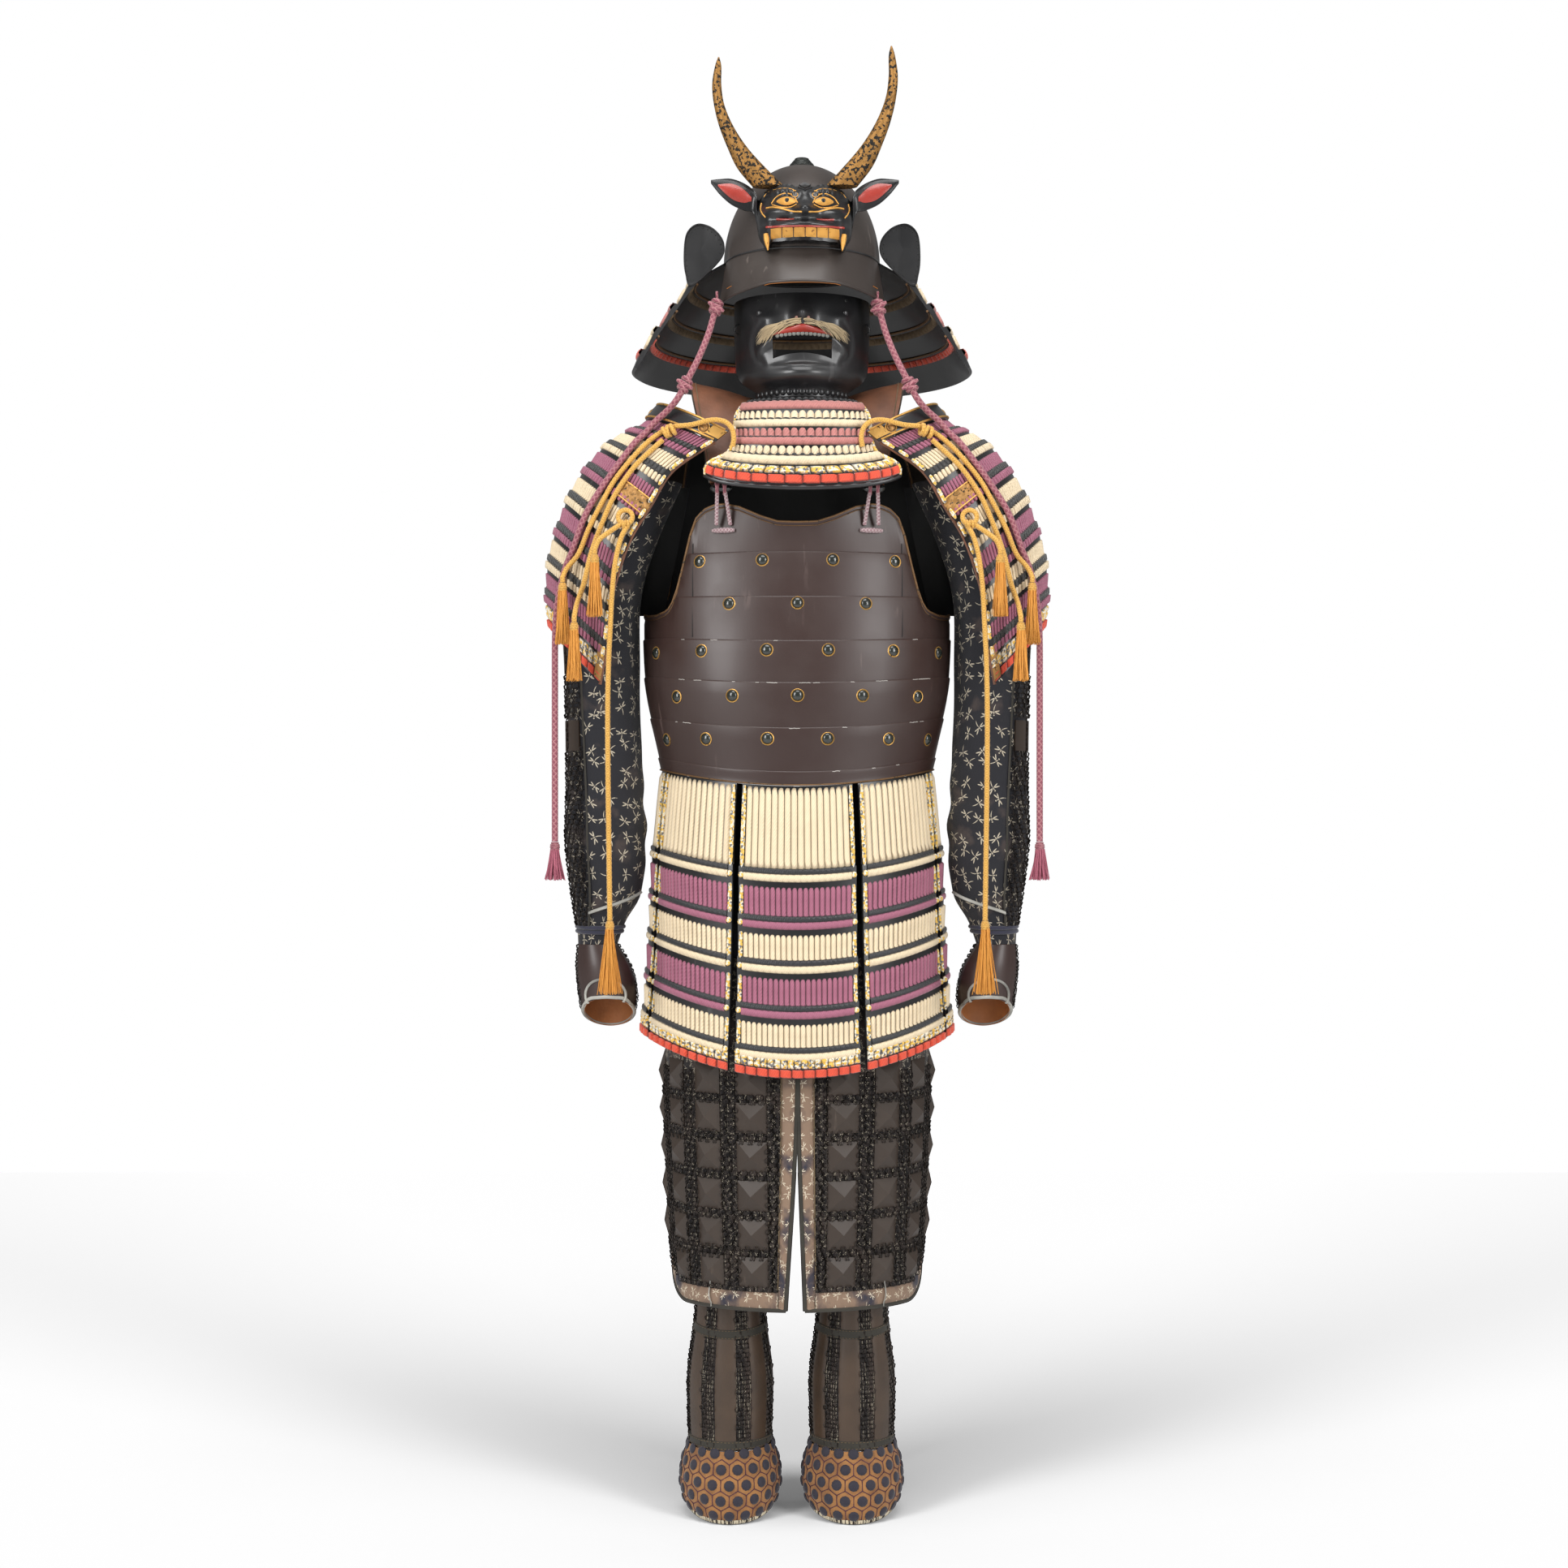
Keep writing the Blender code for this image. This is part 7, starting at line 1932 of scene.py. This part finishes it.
def make_thigh_guards():
    for key, side in SIDES:
        patch = Patch(thigh_surface(key, side), (0.0, THIGH_END), (0.0, 2.0), side=-side, cells=(103, 161))
        cloth = Piece("thigh_cloth_" + key)
        for (u0, u1, nu), (t0, t1, nt), material in (
            ((0.0, PRINT_TURN, 9), (0.0, 2.0, 130), BORDER_PRINT),
            ((PRINT_TURN, THIGH_END, 50), (0.0, 1.0, 40), MAIL_GROUND),
            ((PRINT_TURN, THIGH_END, 100), (1.0, 2.0, 9), BORDER_PRINT),
        ):
            uu, tt = np.meshgrid(np.linspace(u0, u1, nu), np.linspace(t0, t1, nt), indexing="ij")
            lows = -patch.points(uu, tt)[..., 2]
            if material is MAIL_GROUND:
                rise = 0.0004 * np.sin(2.1 * uu) * np.sin(190 * lows)
            else:
                upright = u0 == 0.0
                across = (uu - u0) / (u1 - u0) if upright else tt - 1
                along = 520 * lows if upright else 2.3 * uu
                pinch = 0.7 * np.sin(along + 1.7 * np.sin(61 * lows + 0.31 * uu))
                rise = np.sin(math.pi * np.clip(across, 0, 1)) ** 0.7 * (0.0020 + 0.0006 * pinch)
            flat = np.stack([uu * 0.00275, lows], axis=2)
            cloth.grid(patch.points(uu, tt, rise), material, flat)
            cloth.grid(patch.points(uu, tt, -0.0022)[:, ::-1], LINING_BLACK, flat)
        rows = np.linspace(0, 2, 140)
        for u, order in ((0.0, 1), (THIGH_END, -1)):
            a, b = patch.points(u, rows), patch.points(u, rows, -0.0022)
            cloth.grid(np.stack([a, b][::order]), DARK_BINDING)
        turns = np.linspace(0, THIGH_END, 140)
        for t, order in ((0.0, -1), (2.0, 1)):
            a, b = patch.points(turns, t), patch.points(turns, t, -0.0022)
            cloth.grid(np.stack([a, b][::order], axis=1), DARK_BINDING)
        made = cloth.done(slot="blue_cloth", replaces=("thigh_guard_" + key,))
        trim = Piece("thigh_plates_" + key)
        trim.tube(patch.points(0.0, rows, 0.0004), 0.0026, DARK_BINDING, sides=9)
        trim.tube(patch.points(turns, 2.0, 0.0002), 0.0025, DARK_BINDING, sides=9)
        trim.tube(patch.points(PRINT_TURN + 0.2, rows * 0.495, 0.0010), 0.0009, STITCH, sides=5)
        plates = [(u, low) for u in PLATE_TURNS for low in PLATE_LOWS
                  if low + 0.012 <= thigh_hem(u) - PRINT_HIGH]
        for u, low in plates:
            half_t = 0.0185 / (thigh_hem(u) - PRINT_HIGH - THIGH_TOP)
            middle = float(row_at(u, low))
            square_plate(trim, patch, u, middle, 7.2, half_t, 0.0016, PYRAMID, PLATE_BROWN)
        spots = lattice(PRINT_TURN + 0.9, THIGH_END - 0.8, 0.800, THIGH_LOW - PRINT_HIGH, 2.15, 0.0053)
        keep = spots[:, 1] < thigh_hem(spots[:, 0]) - PRINT_HIGH - 0.0012
        for u, low in plates:
            keep &= ~((np.abs(spots[:, 0] - u) < 6.7) & (np.abs(spots[:, 1] - low) < 0.0168))
        spots = spots[keep]
        mail(trim, patch, spots[:, 0], row_at(spots[:, 0], spots[:, 1]), radius=0.0031, thick=0.0007,
             lift=0.0022, lean=0.75)
        tie = patch.points([43.0, 43.6, 43.2, 42.4, 42.8], [0.97, 1.2, 1.5, 1.8, 2.02],
                           [0.001, 0.004, 0.005, 0.004, 0.003])
        trim.tube(tie, 0.0008, PALE_BINDING, sides=6)
        trim.done(slot="brown_lacquer", sharp=16.0)

    def belt(turn, low):
        angle = math.radians(turn)
        return THIGH[0][1] * math.sin(angle), -THIGH[0][2] * math.cos(angle), -low

    patch = Patch(belt, (-180.0, 180.0), (0.6320, 0.6608), side=-1.0, cells=(73, 5))
    piece = Piece("belt")
    sock(piece, patch, 0.0024, NAVY_CLOTH, LINING_BLACK, us=90, ts=10,
         height=lambda u, t: 0.0008 + 0.0004 * np.sin(u * 0.9))
    made = piece.done(slot="blue_cloth", replaces=("thigh_belt",), weld=True)


def make_underarms():
    """The dark cloth under each arm, between the sleeve and the back plate."""
    for key, side in SIDES:
        def surface(u, t):
            inner, outer = 0.1330 + 0.0320 * t, 0.1560 + 0.0660 * t
            depth = 0.0300 + 0.0060 * math.sin(3 * u + 5 * t)
            return side * (inner + (outer - inner) * u), depth, -0.085 - 0.160 * t
        patch = Patch(surface, (0.0, 1.0), (0.0, 1.0), side=side, cells=(13, 25))
        piece = Piece("underarm_cloth_" + key)
        shell(piece, patch, 0.0012, NAVY_CLOTH, LINING_BLACK, us=8, ts=16)
        piece.done(slot="blue_cloth", weld=True)


NAVY_CLOTH = plain("navy cloth", (0.012, 0.012, 0.022), 0.85, scale=900.0, sheen=0.1)
make_arms()
make_underarms()
make_thigh_guards()


# Shin guards and foot covers

LEG_APART, SHIN_REACH, SPLINTS = 0.0750, 128.0, 5
SHIN = ((1.045, 0.0400, 0.0480), (1.110, 0.0420, 0.0500), (1.180, 0.0505, 0.0540), (1.262, 0.0490, 0.0520))
FOOT_TOP, FOOT_LOW = 1.2624, 1.3460
FOOT = ((0.00, 0.0510, 0.0540), (0.30, 0.0580, 0.0620), (0.60, 0.0605, 0.0680), (0.85, 0.0570, 0.0680),
        (1.00, 0.0500, 0.0640))


def make_legs():
    for key, side in SIDES:
        centre = LEG_X + side * LEG_APART

        def shin(turn, low):
            a, b = at(SHIN, low)
            angle = math.radians(turn)
            return centre + a * math.sin(angle), -b * math.cos(angle), -low

        def foot(turn, t):
            a, b = at(FOOT, t)
            angle = math.radians(turn)
            low = FOOT_LOW - 0.020 * (1 - math.cos(angle)) / 2
            return centre + a * math.sin(angle), -b * math.cos(angle), -FOOT_TOP - (low - FOOT_TOP) * t

        patch = Patch(shin, (-SHIN_REACH, SHIN_REACH), (1.045, 1.262), side=-1.0, cells=(97, 61))
        cloth = Piece("shin_cloth_" + key)
        shell(cloth, patch, 0.0022, MAIL_GROUND, LEATHER_DARK, us=60, ts=24)
        made = cloth.done(slot="leather", replaces=("shin_guard_" + key,), weld=True)
        metal = Piece("shin_splints_" + key)
        pitch = 2 * SHIN_REACH / SPLINTS
        for number in range(SPLINTS):
            first = -SHIN_REACH + pitch * (number + 0.10)
            last = first + pitch * 0.58
            splint = Patch(shin, (first, last), (1.045, 1.262), side=-1.0, cells=(17, 61))

            def rounded(u, _):
                return 0.0008 + 0.0010 * np.clip(np.minimum(u - first, last - u) / 2.5, 0, 1)

            shell(metal, splint, 0.0002, SPLINT, SPLINT, us=9, ts=24, height=rounded)
            beyond = min(last + pitch * 0.42, SHIN_REACH - 1) - 1.0
            spots = lattice(last + 1.5, beyond, 1.060, 1.2600, 5.8, 0.0054)
            mail(metal, patch, spots[:, 0], spots[:, 1], radius=0.0031, thick=0.0007, lift=0.0012)
        for top, low, dip in ((1.1150, 1.1270, 0.004), (1.2495, 1.2605, 0.0)):
            turns = np.linspace(-SHIN_REACH, SHIN_REACH, 80)
            section = ((top, 0.0006), (top + 0.0008, 0.0025), ((top + low) / 2, 0.0028),
                       (low - 0.0008, 0.0025), (low, 0.0006))
            strap = np.array([patch.points(turns, row + dip * (np.cos(np.radians(turns)) - 1), rise)
                              for row, rise in section])
            metal.grid(strap.transpose(1, 0, 2), DARK_BINDING)
            for row in (top + 0.0016, low - 0.0016):
                for start in np.arange(-SHIN_REACH + 1, SHIN_REACH - 3, 5.0):
                    stitch = np.linspace(start, start + 2.8, 3)
                    lows = row + dip * (np.cos(np.radians(stitch)) - 1)
                    metal.tube(patch.points(stitch, lows, 0.0028), 0.00035, STITCH, sides=4)
        metal.done(slot="leather")
        patch = Patch(foot, (-SHIN_REACH, SHIN_REACH), (0.0, 1.0), side=-1.0, cells=(97, 31))
        around, tall, size = 0.00104, 0.0836, 0.0205
        centres = []
        for row in range(6):
            t = 0.03 + row * size * 0.866 / tall
            for column in range(-7, 8):
                u = (column + (row % 2) / 2) * size / around
                if abs(u) < SHIN_REACH - 4 and t < 0.97:
                    centres.append((u, t))
        centres = np.array(centres)
        cloth = Piece("foot_cloth_" + key)

        def puffed(u, t):
            apart_u, apart_t = u[..., None] - centres[:, 0], t[..., None] - centres[:, 1]
            far = np.min(np.hypot(apart_u * around, apart_t * tall), axis=-1)
            return 0.0018 * np.clip(1 - (far / (size * 0.56)) ** 3, 0, 1) - 0.0004

        shell(cloth, patch, 0.0045, HEXAGON, LEATHER_DARK, us=86, ts=36, height=puffed)
        made = cloth.done(slot="hexagon_cloth", replaces=("foot_cover_" + key,), weld=True)
        trim = Piece("foot_stitching_" + key)
        for u, t in centres:
            seat, out = patch.seat(u, t, 0.0012)
            stud(trim, seat, out, 0.0066, 0.0024, PAD_CORD, sides=10, rows=4)
            reach, bearings = size / math.sqrt(3), np.radians((0, 60, 120, 180))
            corners = [(u + reach * math.sin(a) / around, t + reach * math.cos(a) / tall) for a in bearings]
            for (u0, t0), (u1, t1) in zip(corners, corners[1:]):
                if max(abs(u0), abs(u1)) < SHIN_REACH - 1 and 0.0 <= min(t0, t1) and max(t0, t1) <= 1.0:
                    line = patch.points(np.linspace(u0, u1, 3), np.linspace(t0, t1, 3), 0.0004)
                    trim.tube(line, 0.0006, PURPLE_STITCH, sides=4)
        chance = np.random.default_rng(12)
        for turn in np.arange(-126, 127, 1.1):
            pale = chance.uniform() < 0.62
            line = [patch.points(turn + chance.uniform(-0.8, 0.8), t, lift)
                    for t, lift in ((0.945, 0.0006), (0.97, 0.0018), (0.995, 0.0012))]
            trim.tube(line, 0.00075, CREAM_PRINT if pale else LEATHER_DARK, sides=4)
        trim.done(slot="leather")


make_legs()


# Camera, light and floor

def make_stage():
    camera = bpy.data.cameras.new("camera")
    camera.lens = 55.90
    camera.sensor_width = 36.0
    seat = bpy.data.objects.new("camera", camera)
    seat.location = (-0.016, -3.0, -0.454)
    seat.rotation_euler = (math.pi / 2, 0.0, 0.0)
    bpy.context.scene.collection.objects.link(seat)
    bpy.context.scene.camera = seat
    mesh = bpy.data.meshes.new("floor")
    far, near, wide = 2.6, -6.0, 7.0
    corners = ((-wide, near), (wide, near), (wide, far), (-wide, far))
    mesh.from_pydata([(x, y, FLOOR_Z) for x, y in corners], [], [(0, 1, 2, 3)])
    floor = bpy.data.objects.new("floor", mesh)
    white = bpy.data.materials.new("pale floor")
    white.use_nodes = True
    white.node_tree.nodes["Principled BSDF"].inputs["Base Color"].default_value = (0.86, 0.86, 0.86, 1)
    white.node_tree.nodes["Principled BSDF"].inputs["Roughness"].default_value = 0.9
    mesh.materials.append(white)
    bpy.context.scene.collection.objects.link(floor)
    floor.is_shadow_catcher = True
    bpy.context.scene.view_settings.view_transform = "Standard"
    world = bpy.data.worlds.new("studio")
    world.use_nodes = True
    tree = world.node_tree
    seen = wire(tree, "ShaderNodeLightPath").outputs["Is Camera Ray"]
    tree.nodes["Background"].inputs["Color"].default_value = (1.0, 1.0, 1.0, 1)
    tree.links.new(maths(tree, "MULTIPLY_ADD", seen, 0.70, 0.30), tree.nodes["Background"].inputs["Strength"])
    bpy.context.scene.world = world
    for name, place, size, power in LIGHTS:
        light = bpy.data.lights.new(name, "AREA")
        light.shape = "RECTANGLE"
        light.size, light.size_y = size
        light.energy = power
        lamp = bpy.data.objects.new(name, light)
        lamp.location = place
        aim = Vector((0.0, 0.0, -0.45)) - Vector(place)
        lamp.rotation_euler = aim.to_track_quat("-Z", "Y").to_euler()
        bpy.context.scene.collection.objects.link(lamp)


FLOOR_Z = -1.3475
# name, place, size, watts
LIGHTS = (
    ("left softbox", (-2.2, -2.3, 0.5), (1.0, 2.2), 72.0),
    ("right softbox", (2.2, -2.3, 0.4), (1.0, 2.2), 64.0),
    ("top softbox", (0.0, -1.0, 2.2), (2.0, 1.4), 52.0),
)
make_stage()
